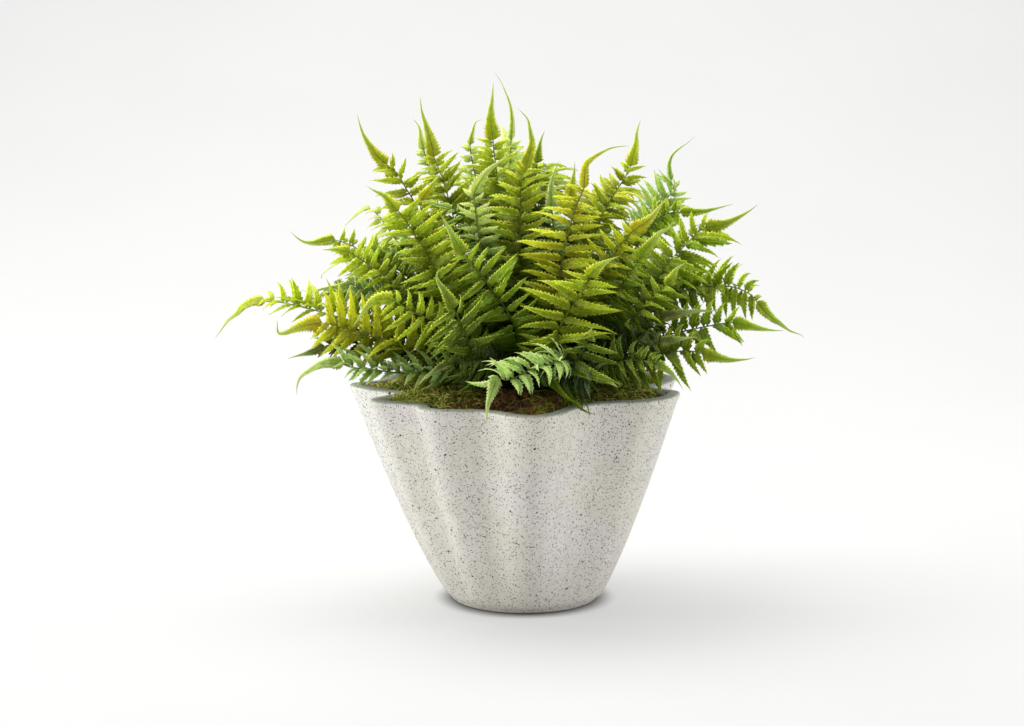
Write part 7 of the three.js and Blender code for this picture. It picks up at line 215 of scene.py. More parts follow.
   [(-1,92.7,-5,20,1.9),(1,96.4,15,-14.9,0.5),(-1,103.2,-5.6,18.6,0.2),(1,106.9,15.7,-17.1,-0.1),(-1,113.7,-7.8,21.3,-1.5),(1,117.4,18.2,-18.1,-0.1),(-1,124.2,-9.5,25.1,-0.2),(1,127.9,17.8,-18.7,-1.4),(-1,134.7,-8.1,26.6,-0.8),(1,138.4,18.2,-19.1,-1.4),(-1,145.2,-10.6,26.6,-1.8),(1,148.9,21.9,-20.8,-4.1),(-1,155.7,-11.3,23.8,-2.2),(1,159.4,23.5,-20.7,-2.5),(-1,166.2,-9.8,26,-4),(1,169.9,20.7,-23.7,-3.3),(-1,176.7,-11.4,24.9,-5.3),(1,180.4,18.1,-21.3,-5.9),(-1,187.2,-10.1,23.3,-3.8),(1,190.9,22.6,-16.9,-4.3),(-1,197.7,-4.5,23.2,-6.2),(1,201.4,19.2,-15.4,-6.4),(-1,208.2,-4.1,20.3,-4.5),(1,211.9,18.2,-10.6,-5.1),(-1,218.7,-2.5,14.2,-5.5),(1,222.4,11.8,-5.5,-9.2)]),
  ('frond_back_10', 'mid', 9, 14, (0.352, 0.088, 0.932),
   [(40.8,10.2,178),(40.8,10.2,186),(40.8,10.2,194),(40.8,10.2,203),(50.2,12.5,226.1),(69.4,17.3,258.3),(96.1,24,283.9),(130.5,32.5,296.2),(166.8,41.6,292.7),(183.4,45.7,287),(192.7,48,282.9),(201.7,50.3,278.2),(210.5,52.5,273.1),(219.3,54.7,268)],
   [(-1,87.1,-1.1,20.5,1),(1,90.7,9.4,-18.9,1.6),(-1,97.6,-6.8,19.4,8.1),(1,101.2,10.4,-17.6,0.7),(-1,108.1,-6.4,20.2,5.7),(1,111.7,11.8,-19,1.3),(-1,118.6,-5.2,24.1,9.3),(1,122.2,13.1,-20.4,-1),(-1,129.1,-6,24,7.6),(1,132.7,11.7,-21.2,-2.3),(-1,139.6,-0.1,24.4,-11.5),(1,143.2,10.5,-24.7,-3.6),(-1,150.1,4.4,24.8,-11.3),(1,153.7,12.1,-23.1,-3.2),(-1,160.6,2.5,26.2,-6.8),(1,164.2,9.6,-25.7,-4.3),(-1,171.1,0.5,28.6,-5.7),(1,174.7,10.2,-27.1,-5.7),(-1,181.6,-0.4,26.9,-4.1),(1,185.2,13.1,-20.8,-5.4),(-1,192.1,4.1,23.7,-4.6),(1,195.7,12.1,-17.7,-3.8),(-1,202.6,3.2,18.2,-4.3),(1,206.2,12.6,-14.4,-5.9),(-1,213.1,4.9,11.5,-6.4),(1,216.7,9.2,-9,-5.9)]),
  ('frond_back_11', 'pale', 9, 14, (0.163, -0.734, 0.659),
   [(-1,7.4,178),(-1,7.4,186),(-1,7.4,194),(-1,7.4,203),(-3,15.3,227.8),(-4.6,23.4,272.1),(-6.5,33.7,316),(-9.2,47.4,358.8),(-13.1,67.2,399.1),(-15.1,77.8,413.5),(-16.6,85.4,421.3),(-18.3,93.9,427.9),(-20.1,103.6,432.6),(-22.1,113.9,436)],
   [(-1,116.7,-19.1,1,5.5),(1,120.4,18.1,8.1,4.2),(-1,127.2,-20.5,-1,2.3),(1,130.9,19.4,8.3,3),(-1,137.8,-21,-6.5,6.7),(1,141.4,20.4,8.6,3.2),(-1,148.3,-13.8,-18.6,-0),(1,152,22.8,7.7,5),(-1,158.8,-25.1,10.3,7),(1,162.5,25.5,5.6,5.5),(-1,169.4,-22.9,9.6,1.2),(1,173.1,26.7,2.1,0.8),(-1,179.9,-24.6,1.6,2.1),(1,183.6,16.7,9.3,9.2),(-1,190.5,-27.4,2.3,2.6),(1,194.2,24.8,13.6,5.3),(-1,201,-26.9,2.1,5.1),(1,204.7,27.4,12.2,2.2),(-1,211.6,-26.5,0.6,4.3),(1,215.3,21.3,12.7,4.7),(-1,222.1,-23.7,3.2,4.4),(1,225.8,19.4,11.6,5.4),(-1,232.7,-18.1,4.8,5.8),(1,236.4,15.1,11.3,4.5),(-1,243.2,-12.8,4.7,3.9),(1,246.9,10.5,9.4,3.2)]),
]

# tint: (centre, margin, underside, rib) linear colours, share of light let through. The shade tint is a darker copy of
# the greens for fronds that hang in shade, and dusk the dull grey-green of a frond seen from below, darkened too: both
# carry painted shade
TINTS = {
  "lime": ((0.250, 0.370, 0.003), (0.900, 0.950, 0.070), (0.600, 0.720, 0.080), (0.120, 0.170, 0.010), 0.36, 0.30),
  "gold": ((0.340, 0.400, 0.003), (0.950, 0.930, 0.050), (0.660, 0.720, 0.075), (0.130, 0.140, 0.009), 0.34, 0.80),
  "olive": ((0.235, 0.320, 0.003), (0.860, 0.900, 0.055), (0.560, 0.660, 0.070), (0.100, 0.120, 0.009), 0.34, 0.55),
  "mid": ((0.165, 0.290, 0.003), (0.820, 0.920, 0.075), (0.480, 0.660, 0.090), (0.090, 0.135, 0.010), 0.36, 0.15),
  "deep": ((0.080, 0.150, 0.003), (0.620, 0.780, 0.070), (0.420, 0.580, 0.100), (0.060, 0.090, 0.009), 0.32, 0.0),
  "blue": ((0.120, 0.250, 0.016), (0.600, 0.800, 0.160), (0.440, 0.640, 0.150), (0.070, 0.110, 0.014), 0.32, 0.0),
  "pale": ((0.420, 0.580, 0.100), (0.900, 0.960, 0.400), (0.700, 0.840, 0.320), (0.140, 0.180, 0.028), 0.44, 0.05),
  "mint": ((0.290, 0.470, 0.080), (0.890, 0.960, 0.440), (0.600, 0.780, 0.260), (0.110, 0.160, 0.020), 0.34, 0.0),
  "dusk": ((0.072, 0.112, 0.034), (0.200, 0.270, 0.105), (0.250, 0.330, 0.120), (0.050, 0.066, 0.026), 0.20, 0.0),
  "shade": ((0.036, 0.062, 0.003), (0.230, 0.310, 0.024), (0.220, 0.310, 0.045), (0.045, 0.058, 0.008), 0.24, 0.10),
}

rng = np.random.RandomState(20)
scene = bpy.context.scene
scene.view_settings.view_transform = "Standard"


# ---------------------------------------------------------------- node helpers
def new_material(name):
    m = bpy.data.materials.new(name)
    m.use_nodes = True
    nt = m.node_tree
    for n in list(nt.nodes):
        nt.nodes.remove(n)
    out = nt.nodes.new("ShaderNodeOutputMaterial")
    bsdf = nt.nodes.new("ShaderNodeBsdfPrincipled")
    nt.links.new(bsdf.outputs[0], out.inputs[0])
    return m, nt, bsdf, out


def attr(nt, name):
    n = nt.nodes.new("ShaderNodeAttribute")
    n.attribute_type = "GEOMETRY"
    n.attribute_name = name
    return n.outputs["Fac"]


def put(nt, socket, value):
    if isinstance(value, bpy.types.NodeSocket):
        nt.links.new(value, socket)
    else:
        socket.default_value = value


def calc(nt, op, a, b=None, c=None, clamp=False):
    n = nt.nodes.new("ShaderNodeMath")
    n.operation = op
    n.use_clamp = clamp
    put(nt, n.inputs[0], a)
    if b is not None:
        put(nt, n.inputs[1], b)
    if c is not None:
        put(nt, n.inputs[2], c)
    return n.outputs[0]


def blend_rgb(nt, fac, a, b, kind="MIX"):
    n = nt.nodes.new("ShaderNodeMix")
    n.data_type = "RGBA"
    n.blend_type = kind
    n.clamp_factor = True
    put(nt, n.inputs[0], fac)
    put(nt, n.inputs[6], a if isinstance(a, bpy.types.NodeSocket) else tuple(a) + (1.0,))
    put(nt, n.inputs[7], b if isinstance(b, bpy.types.NodeSocket) else tuple(b) + (1.0,))
    return n.outputs[2]


def smoothstep(nt, value, lo, hi, out_lo=0.0, out_hi=1.0):
    n = nt.nodes.new("ShaderNodeMapRange")
    n.interpolation_type = "SMOOTHSTEP"
    put(nt, n.inputs[0], value)
    n.inputs[1].default_value = lo
    n.inputs[2].default_value = hi
    n.inputs[3].default_value = out_lo
    n.inputs[4].default_value = out_hi
    return n.outputs[0]


def coords(nt):
    return nt.nodes.new("ShaderNodeTexCoord").outputs["Object"]


def noise_tex(nt, vec, scale, detail=3.0, rough=0.55, colour=False):
    n = nt.nodes.new("ShaderNodeTexNoise")
    put(nt, n.inputs["Vector"], vec)
    n.inputs["Scale"].default_value = scale
    n.inputs["Detail"].default_value = detail
    n.inputs["Roughness"].default_value = rough
    return n.outputs["Color" if colour else "Fac"]


def voronoi(nt, vec, scale, feature="F1", randomness=1.0):
    n = nt.nodes.new("ShaderNodeTexVoronoi")
    n.feature = feature
    put(nt, n.inputs["Vector"], vec)
    n.inputs["Scale"].default_value = scale
    n.inputs["Randomness"].default_value = randomness
    return n


def bump(nt, height, strength, distance, normal=None):
    n = nt.nodes.new("ShaderNodeBump")
    n.inputs["Strength"].default_value = strength
    n.inputs["Distance"].default_value = distance
    put(nt, n.inputs["Height"], height)
    if normal is not None:
        put(nt, n.inputs["Normal"], normal)
    return n.outputs[0]


# ---------------------------------------------------------------- materials
def stone_material():
    m, nt, b, _ = new_material("speckled_stone")
    co = coords(nt)
    warm, lav, pink = (0.650, 0.630, 0.562), (0.656, 0.634, 0.604), (0.658, 0.626, 0.582)
    base = blend_rgb(nt, smoothstep(nt, noise_tex(nt, co, 13.0, 3.0, 0.5), 0.43, 0.60), warm, lav)
    base = blend_rgb(nt, smoothstep(nt, noise_tex(nt, co, 21.0, 2.0, 0.5), 0.56, 0.70), base, pink)
    fine = noise_tex(nt, co, 900.0, 3.0, 0.7)
    base = blend_rgb(nt, smoothstep(nt, fine, 0.35, 0.75, 0.0, 0.30), base, (0.36, 0.35, 0.30))
    cloud = noise_tex(nt, co, 60.0, 4.0, 0.6)
    base = blend_rgb(nt, smoothstep(nt, cloud, 0.40, 0.72, 0.0, 0.30), base, (0.44, 0.43, 0.37))
    # painted light: the left flank of the casting is painted paler, as if lit from the left, fading towards the foot,
    # and the crest of the flute in front of it carries a painted highlight
    pos = nt.nodes.new("ShaderNodeSeparateXYZ")
    nt.links.new(co, pos.inputs[0])
    turn = calc(nt, "ARCTAN2", calc(nt, "MULTIPLY", pos.outputs[1], -1.0), calc(nt, "MULTIPLY", pos.outputs[0], -1.0))
    painted_flank_light = calc(nt, "MULTIPLY", smoothstep(nt, turn, 0.36, 0.32), smoothstep(nt, turn, -0.9, -0.5))
    painted_flank_light = calc(nt, "MULTIPLY", painted_flank_light, smoothstep(nt, pos.outputs[2], 0.060, 0.190, 0.15, 1.0))
    base = blend_rgb(nt, calc(nt, "MULTIPLY", painted_flank_light, 0.42), base, (0.800, 0.830, 0.780))
    # painted highlight along the crest of the flute
    crest = smoothstep(nt, calc(nt, "ABSOLUTE", calc(nt, "SUBTRACT", turn, 0.505)), 0.026, 0.008, 0.0, 0.50)
    base = blend_rgb(nt, crest, base, (0.800, 0.790, 0.740))
    # painted shade: slightly darker towards the foot, where the floor under the flare lies in shadow
    base = blend_rgb(nt, smoothstep(nt, pos.outputs[2], 0.075, 0.0, 0.0, 0.34), base, (0.400, 0.385, 0.325))
    # the lip's flat top is smoother, greener and darker than the wall
    sep = nt.nodes.new("ShaderNodeSeparateXYZ")
    nt.links.new(nt.nodes.new("ShaderNodeNewGeometry").outputs["Normal"], sep.inputs[0])
    lip = smoothstep(nt, sep.outputs[2], 0.30, 0.85, 0.0, 0.88)
    base = blend_rgb(nt, lip, base, (0.235, 0.265, 0.205))
    # the speckle: chips of several sizes, each cell of the pattern holding one or none
    wob = nt.nodes.new("ShaderNodeVectorMath")
    wob.operation = "MULTIPLY_ADD"
    put(nt, wob.inputs[0], noise_tex(nt, co, 420.0, 2.0, 0.6, colour=True))
    wob.inputs[1].default_value = (0.0012, 0.0012, 0.0012)
    put(nt, wob.inputs[2], co)
    wco = wob.outputs[0]
    masks = []
    clump = noise_tex(nt, co, 26.0, 2.0, 0.5)
    for scale, size, keep, colour, power in (
        (820.0, 0.34, 0.18, (0.250, 0.225, 0.175), 0.75),
        (470.0, 0.31, 0.16, (0.110, 0.098, 0.078), 0.86),
        (330.0, 0.215, 0.18, (0.040, 0.036, 0.030), 0.97),
        (180.0, 0.142, 0.44, (0.026, 0.023, 0.020), 0.97),
        (92.0, 0.116, 0.55, (0.020, 0.018, 0.016), 0.97),
    ):
        v = voronoi(nt, wco, scale)
        sp = nt.nodes.new("ShaderNodeSeparateColor")
        nt.links.new(v.outputs["Color"], sp.inputs[0])
        present = calc(nt, "GREATER_THAN", calc(nt, "ADD", sp.outputs[0], calc(nt, "MULTIPLY", calc(nt, "SUBTRACT", clump, 0.5), 0.8)), keep)
        radius = calc(nt, "MULTIPLY_ADD", sp.outputs[1], size * 0.60, size * 0.60)
        inside = calc(nt, "SUBTRACT", radius, v.outputs["Distance"])
        chip = calc(nt, "MULTIPLY", smoothstep(nt, inside, 0.0, size * 0.14), present)
        shade = blend_rgb(nt, sp.outputs[2], colour, tuple(c * 2.0 for c in colour))
        base = blend_rgb(nt, calc(nt, "MULTIPLY", chip, power), base, shade)
        masks.append(chip)
    pits = calc(nt, "ADD", masks[3], masks[4], clamp=True)
    put(nt, b.inputs["Base Color"], base)
    put(nt, b.inputs["Roughness"], smoothstep(nt, calc(nt, "ADD", fine, calc(nt, "MULTIPLY", pits, 0.5)), 0.2, 1.1, 0.46, 0.78))
    b.inputs["Specular IOR Level"].default_value = 0.40
    h = calc(nt, "SUBTRACT", calc(nt, "MULTIPLY", noise_tex(nt, co, 380.0, 4.0, 0.65), 0.5), calc(nt, "MULTIPLY", pits, 0.55))
    n1 = bump(nt, noise_tex(nt, co, 45.0, 3.0, 0.5), 0.10, 0.002)
    put(nt, b.inputs["Normal"], bump(nt, h, 0.30, 0.0005, n1))
    return m


def leaf_material(name, centre, margin, under, rib, through, rusty):
    m, nt, b, out = new_material(name)
    co = coords(nt)
    along, across, tone, below, reach, woody = (attr(nt, k) for k in ("along", "across", "tone", "below", "reach", "woody"))
    side = calc(nt, "ABSOLUTE", across)
    mott = noise_tex(nt, co, 160.0, 4.0, 0.6)
    big = noise_tex(nt, co, 22.0, 2.0, 0.5)
    # blade: darker centre, light margin, fine side veins that run forward from the midrib
    edge = smoothstep(nt, calc(nt, "ADD", side, calc(nt, "MULTIPLY", calc(nt, "SUBTRACT", mott, 0.5), 0.9)), 0.50, 1.08)
    col = blend_rgb(nt, edge, centre, margin)
    wave = calc(nt, "SINE", calc(nt, "MULTIPLY", calc(nt, "SUBTRACT", calc(nt, "MULTIPLY", along, 22.0), calc(nt, "MULTIPLY", side, 1.7)), 6.2832))
    vein = smoothstep(nt, wave, 0.62, 0.98)
    vein = calc(nt, "MULTIPLY", vein, smoothstep(nt, side, 1.0, 0.35))
    light = tuple(0.45 * a + 0.55 * c + 0.01 for a, c in zip(centre, margin))
    col = blend_rgb(nt, calc(nt, "MULTIPLY", vein, 0.55), col, light)
    mid = smoothstep(nt, side, 0.13, 0.03)
    col = blend_rgb(nt, calc(nt, "MULTIPLY", mid, 0.75), col, light)
    # young rusty flush along the midrib near the stem
    if rusty > 0:
        flush = calc(nt, "MULTIPLY", smoothstep(nt, side, 0.55, 0.05), smoothstep(nt, along, 0.75, 0.10))
        flush = calc(nt, "MULTIPLY", flush, smoothstep(nt, calc(nt, "ADD", big, calc(nt, "MULTIPLY", tone, 0.25)), 0.55, 0.80, 0.0, rusty))
        col = blend_rgb(nt, flush, col, (0.40, 0.22, 0.020))
    # mottling, leaf to leaf change, yellowing towards the tips, small burnt marks
    blot = noise_tex(nt, co, 330.0, 3.0, 0.6)
    col = blend_rgb(nt, smoothstep(nt, blot, 0.40, 0.66, 0.0, 0.55), col, tuple(c * 0.50 for c in centre))
    rust = calc(nt, "MULTIPLY", smoothstep(nt, side, 0.55, 1.0), smoothstep(nt, calc(nt, "ADD", noise_tex(nt, co, 190.0, 3.0, 0.6), calc(nt, "MULTIPLY", tone, 0.08)), 0.58, 0.68, 0.0, 0.20 + 0.4 * rusty))
    col = blend_rgb(nt, rust, col, (0.42, 0.24, 0.022))
    # underside: paler and duller
    low = blend_rgb(nt, smoothstep(nt, wave, 0.3, 0.95, 0.0, 0.45), under, tuple(c * 0.55 for c in under))
    col = blend_rgb(nt, smoothstep(nt, below, 0.02, 0.10, 0.0, 0.42), col, low)
    # painted light and shade: hue and lightness follow how much daylight gets through the plant to each point, and
    # every leaflet is painted darker towards its base at the stem
    hsv = nt.nodes.new("ShaderNodeHueSaturation")
    put(nt, hsv.inputs["Hue"], calc(nt, "MULTIPLY_ADD", calc(nt, "SUBTRACT", tone, calc(nt, "MULTIPLY", reach, 0.30)), 0.026, 0.494))
    hsv.inputs["Saturation"].default_value = 1.0
    painted_brightness = calc(nt, "MULTIPLY_ADD", calc(nt, "POWER", reach, 1.6), calc(nt, "MULTIPLY_ADD", tone, 0.46, 1.52), calc(nt, "MULTIPLY_ADD", tone, 0.09, 0.06))
    put(nt, hsv.inputs["Value"], calc(nt, "MULTIPLY", painted_brightness, smoothstep(nt, along, 0.0, 0.55, 0.76, 1.06)))
    # painted shade: leaves deep inside the plant, where little light gets through, are tinted greener than those on the
    # outside
    inner = nt.nodes.new("ShaderNodeVectorMath")
    inner.operation = "MULTIPLY"
    nt.links.new(col, inner.inputs[0])
    nt.links.new(blend_rgb(nt, smoothstep(nt, reach, 0.05, 0.72), (0.70, 1.0, 0.55), (1.0, 1.0, 1.0)), inner.inputs[1])
    put(nt, hsv.inputs["Color"], inner.outputs[0])
    cap = nt.nodes.new("ShaderNodeVectorMath")
    cap.operation = "MINIMUM"
    nt.links.new(hsv.outputs[0], cap.inputs[0])
    cap.inputs[1].default_value = (0.92, 0.92, 0.60)
    col = cap.outputs[0]
    # the long end leaves turn pale towards their tips
    ending = calc(nt, "COMPARE", woody, 0.25, 0.1)
    paler = calc(nt, "MULTIPLY", calc(nt, "MULTIPLY", ending, smoothstep(nt, calc(nt, "MULTIPLY_ADD", big, 0.5, along), 0.45, 1.05)), 0.62)
    col = blend_rgb(nt, paler, col, (0.640, 0.780, 0.270))
    golden = calc(nt, "MULTIPLY", calc(nt, "MULTIPLY", ending, smoothstep(nt, along, 0.50, 0.10)), smoothstep(nt, calc(nt, "ADD", mott, calc(nt, "MULTIPLY", side, 0.25)), 0.50, 0.74, 0.0, 0.15 + 0.45 * rusty))
    col = blend_rgb(nt, golden, col, (0.560, 0.420, 0.015))
    tip = calc(nt, "MULTIPLY", smoothstep(nt, along, 0.86, 1.0), smoothstep(nt, calc(nt, "ADD", tone, big), 0.95, 1.25, 0.0, 0.8))
    col = blend_rgb(nt, tip, col, (0.30, 0.19, 0.07))
    spot = smoothstep(nt, calc(nt, "MULTIPLY", noise_tex(nt, co, 75.0, 3.0, 0.7), calc(nt, "MULTIPLY_ADD", edge, 0.25, 0.9)), 0.70, 0.80, 0.0, 0.75)
    col = blend_rgb(nt, spot, col, (0.11, 0.075, 0.035))
    # stem and rib
    bark = blend_rgb(nt, smoothstep(nt, noise_tex(nt, co, 260.0, 3.0, 0.6), 0.35, 0.70), tuple(c * 2.0 for c in rib), tuple(c * 0.9 for c in rib))
    # painted shade: stems deep inside the plant are darker
    bark = blend_rgb(nt, smoothstep(nt, reach, 0.25, 1.0), tuple(c * 0.5 for c in rib), bark)
    # painted light: stems in full light on the outside are painted lighter and greener
    bark = blend_rgb(nt, smoothstep(nt, reach, 1.0, 1.45), bark, (0.210, 0.310, 0.030))
    col = blend_rgb(nt, calc(nt, "GREATER_THAN", woody, 0.5), col, bark)
    put(nt, b.inputs["Base Color"], col)
    put(nt, b.inputs["Roughness"], smoothstep(nt, mott, 0.3, 0.75, 0.30, 0.46))
    put(nt, b.inputs["Specular IOR Level"], calc(nt, "MULTIPLY_ADD", reach, 0.25, 0.02))
    h = calc(nt, "ADD", calc(nt, "MULTIPLY", vein, -0.6), calc(nt, "MULTIPLY", noise_tex(nt, co, 900.0, 2.0, 0.5), 0.5))
    h = calc(nt, "ADD", h, calc(nt, "MULTIPLY", mid, -0.5))
    nrm = bump(nt, h, 0.45, 0.0004)
    put(nt, b.inputs["Normal"], nrm)
    tr = nt.nodes.new("ShaderNodeBsdfTranslucent")
    glow = blend_rgb(nt, 0.25, col, tuple(min(1.0, c * 1.3) for c in margin))
    put(nt, tr.inputs[0], glow)
    put(nt, tr.inputs["Normal"], nrm)
    mix = nt.nodes.new("ShaderNodeMixShader")
    mix.inputs[0].default_value = through
    nt.links.new(b.outputs[0], mix.inputs[1])
    nt.links.new(tr.outputs[0], mix.inputs[2])
    nt.links.new(mix.outputs[0], out.inputs[0])
    return m


def moss_material():
    m, nt, b, _ = new_material("moss_and_coir")
    co = coords(nt)
    tone, woody = attr(nt, "tone"), attr(nt, "woody")
    ramp = nt.nodes.new("ShaderNodeValToRGB")
    e = ramp.color_ramp.elements
    e[0].position, e[0].color = 0.0, (0.030, 0.018, 0.010, 1)
    e[1].position, e[1].color = 1.0, (0.72, 0.68, 0.20, 1)
    for p, c in ((0.14, (0.120, 0.050, 0.015, 1)), (0.28, (0.260, 0.130, 0.035, 1)), (0.40, (0.080, 0.085, 0.012, 1)),
                 (0.55, (0.170, 0.210, 0.020, 1)), (0.75, (0.420, 0.440, 0.055, 1))):
        k = e.new(p)
        k.color = c
    put(nt, ramp.inputs[0], calc(nt, "ADD", tone, calc(nt, "MULTIPLY", calc(nt, "SUBTRACT", noise_tex(nt, co, 420.0, 4.0, 0.7), 0.5), 0.34), clamp=True))
    put(nt, b.inputs["Base Color"], ramp.outputs[0])
    b.inputs["Roughness"].default_value = 0.88
    b.inputs["Specular IOR Level"].default_value = 0.2
    put(nt, b.inputs["Normal"], bump(nt, noise_tex(nt, co, 800.0, 5.0, 0.75), 0.7, 0.0009))
    return m


def block_material():
    m, nt, b, _ = new_material("fibrous_block")
    co = coords(nt)
    n = noise_tex(nt, co, 240.0, 5.0, 0.7)
    col = blend_rgb(nt, smoothstep(nt, n, 0.3, 0.7), (0.022, 0.014, 0.009), (0.105, 0.066, 0.036))
    v = voronoi(nt, co, 300.0)
    col = blend_rgb(nt, smoothstep(nt, v.outputs["Distance"], 0.10, 0.45, 0.5, 0.0), col, (0.17, 0.12, 0.07))
    put(nt, b.inputs["Base Color"], col)
    b.inputs["Roughness"].default_value = 0.95
    put(nt, b.inputs["Normal"], bump(nt, n, 0.8, 0.002))
    return m


def floor_material():
    m, nt, b, _ = new_material("studio_paper")
    co = coords(nt)
    col = blend_rgb(nt, smoothstep(nt, noise_tex(nt, co, 3.0, 2.0, 0.5), 0.3, 0.7), (0.293, 0.293, 0.291), (0.301, 0.301, 0.299))
    put(nt, b.inputs["Base Color"], col)
    b.inputs["Emission Color"].default_value = (1.0, 1.0, 0.996, 1.0)
    # painted light: the paper glows a little to lighten its shadows, and the glow fades out right under the planter as
    # a painted contact shadow
    away = nt.nodes.new("ShaderNodeVectorMath")
    away.operation = "LENGTH"
    nt.links.new(co, away.inputs[0])
    put(nt, b.inputs["Emission Strength"], smoothstep(nt, away.outputs["Value"], 0.065, 0.088, 0.0, 0.46))
    b.inputs["Roughness"].default_value = 0.9
    b.inputs["Specular IOR Level"].default_value = 0.1
    return m


# ---------------------------------------------------------------- mesh helpers
class Soup:
    """Collects vertices, faces, per-vertex values and per-corner map coordinates for one piece."""
    KEYS = ("along", "across", "tone", "below", "reach", "woody")

    def __init__(self):
        self.v, self.f, self.a, self.uv, self.n = [], [], {k: [] for k in self.KEYS}, [], 0

    def add(self, verts, faces, uv, **values):
        verts = np.asarray(verts, float)
        self.v.append(verts)
        for f in faces:
            self.f.append(tuple(int(i) + self.n for i in f))
        self.uv.extend(uv)
        for k in self.KEYS:
            x = values.get(k, 0.0)
            self.a[k].append(np.broadcast_to(np.asarray(x, float), (len(verts),)).copy())
        self.n += len(verts)

    def build(self, name, material, smooth=True):
        me = bpy.data.meshes.new(name)
        me.from_pydata((np.concatenate(self.v) * MM).tolist(), [], self.f)
        me.polygons.foreach_set("use_smooth", [smooth] * len(me.polygons))
        for k in self.KEYS:
            at = me.attributes.new(k, "FLOAT", "POINT")
            at.data.foreach_set("value", np.concatenate(self.a[k]).astype(np.float32))
        uv = me.uv_layers.new(name="OFBake")
        flat = np.array([c for face in self.uv for c in face], np.float32)
        uv.data.foreach_set("uv", np.clip(flat, 0.0005, 0.9995).ravel())
        me.materials.append(material)
        me.update()
        ob = bpy.data.objects.new(name, me)
        scene.collection.objects.link(ob)
        return ob


def unit(v):
    v = np.asarray(v, float)
    return v / max(np.linalg.norm(v), 1e-9)


def units(v):
    return v / np.maximum(np.linalg.norm(v, axis=1), 1e-9)[:, None]


def smooth_curve(points):
    P = np.asarray(points, float)
    n = len(P)
    t = np.concatenate([[0], np.cumsum(np.sqrt(np.maximum(np.linalg.norm(np.diff(P, axis=0), axis=1), 1e-6)))])
    m = np.zeros_like(P)
    for i in range(n):
        if i == 0:
            m[i] = (P[1] - P[0]) / (t[1] - t[0])
        elif i == n - 1:
            m[i] = (P[-1] - P[-2]) / (t[-1] - t[-2])
        else:
            h0, h1 = t[i] - t[i - 1], t[i + 1] - t[i]
            m[i] = ((P[i] - P[i - 1]) / h0 * h1 + (P[i + 1] - P[i]) / h1 * h0) / (h0 + h1)
    out = []
    for i in range(n - 1):
        h = t[i + 1] - t[i]
        for j in range(6):
            u = j / 6
            out.append((2*u**3 - 3*u**2 + 1) * P[i] + (u**3 - 2*u**2 + u) * h * m[i] + (-2*u**3 + 3*u**2) * P[i + 1] + (u**3 - u**2) * h * m[i + 1])
    out.append(P[-1])
    D = np.array(out)
    s = np.concatenate([[0], np.cumsum(np.linalg.norm(np.diff(D, axis=0), axis=1))])
    return D, s


def at(D, s, x):
    x = np.atleast_1d(x)
    return np.stack([np.interp(x, s, D[:, k]) for k in range(3)], 1)


def tangents(D, s, x):
    return units(at(D, s, np.minimum(np.asarray(x) + 1.5, s[-1])) - at(D, s, np.maximum(np.asarray(x) - 1.5, 0)))


# ---------------------------------------------------------------- leaves
PROFILE_X = [0.0, 0.035, 0.10, 0.18, 0.32, 0.50, 0.66, 0.80, 0.90, 0.96, 1.0]
PROFILE_W = [0.22, 0.74, 1.00, 1.00, 0.93, 0.77, 0.57, 0.34, 0.15, 0.05, 0.0]
END_X = [0.0, 0.025, 0.07, 0.14, 0.25, 0.40, 0.55, 0.70, 0.84, 0.93, 1.0]
END_W = [0.40, 0.88, 1.00, 0.92, 0.74, 0.52, 0.34, 0.19, 0.09, 0.04, 0.0]


END = (END_X, END_W)


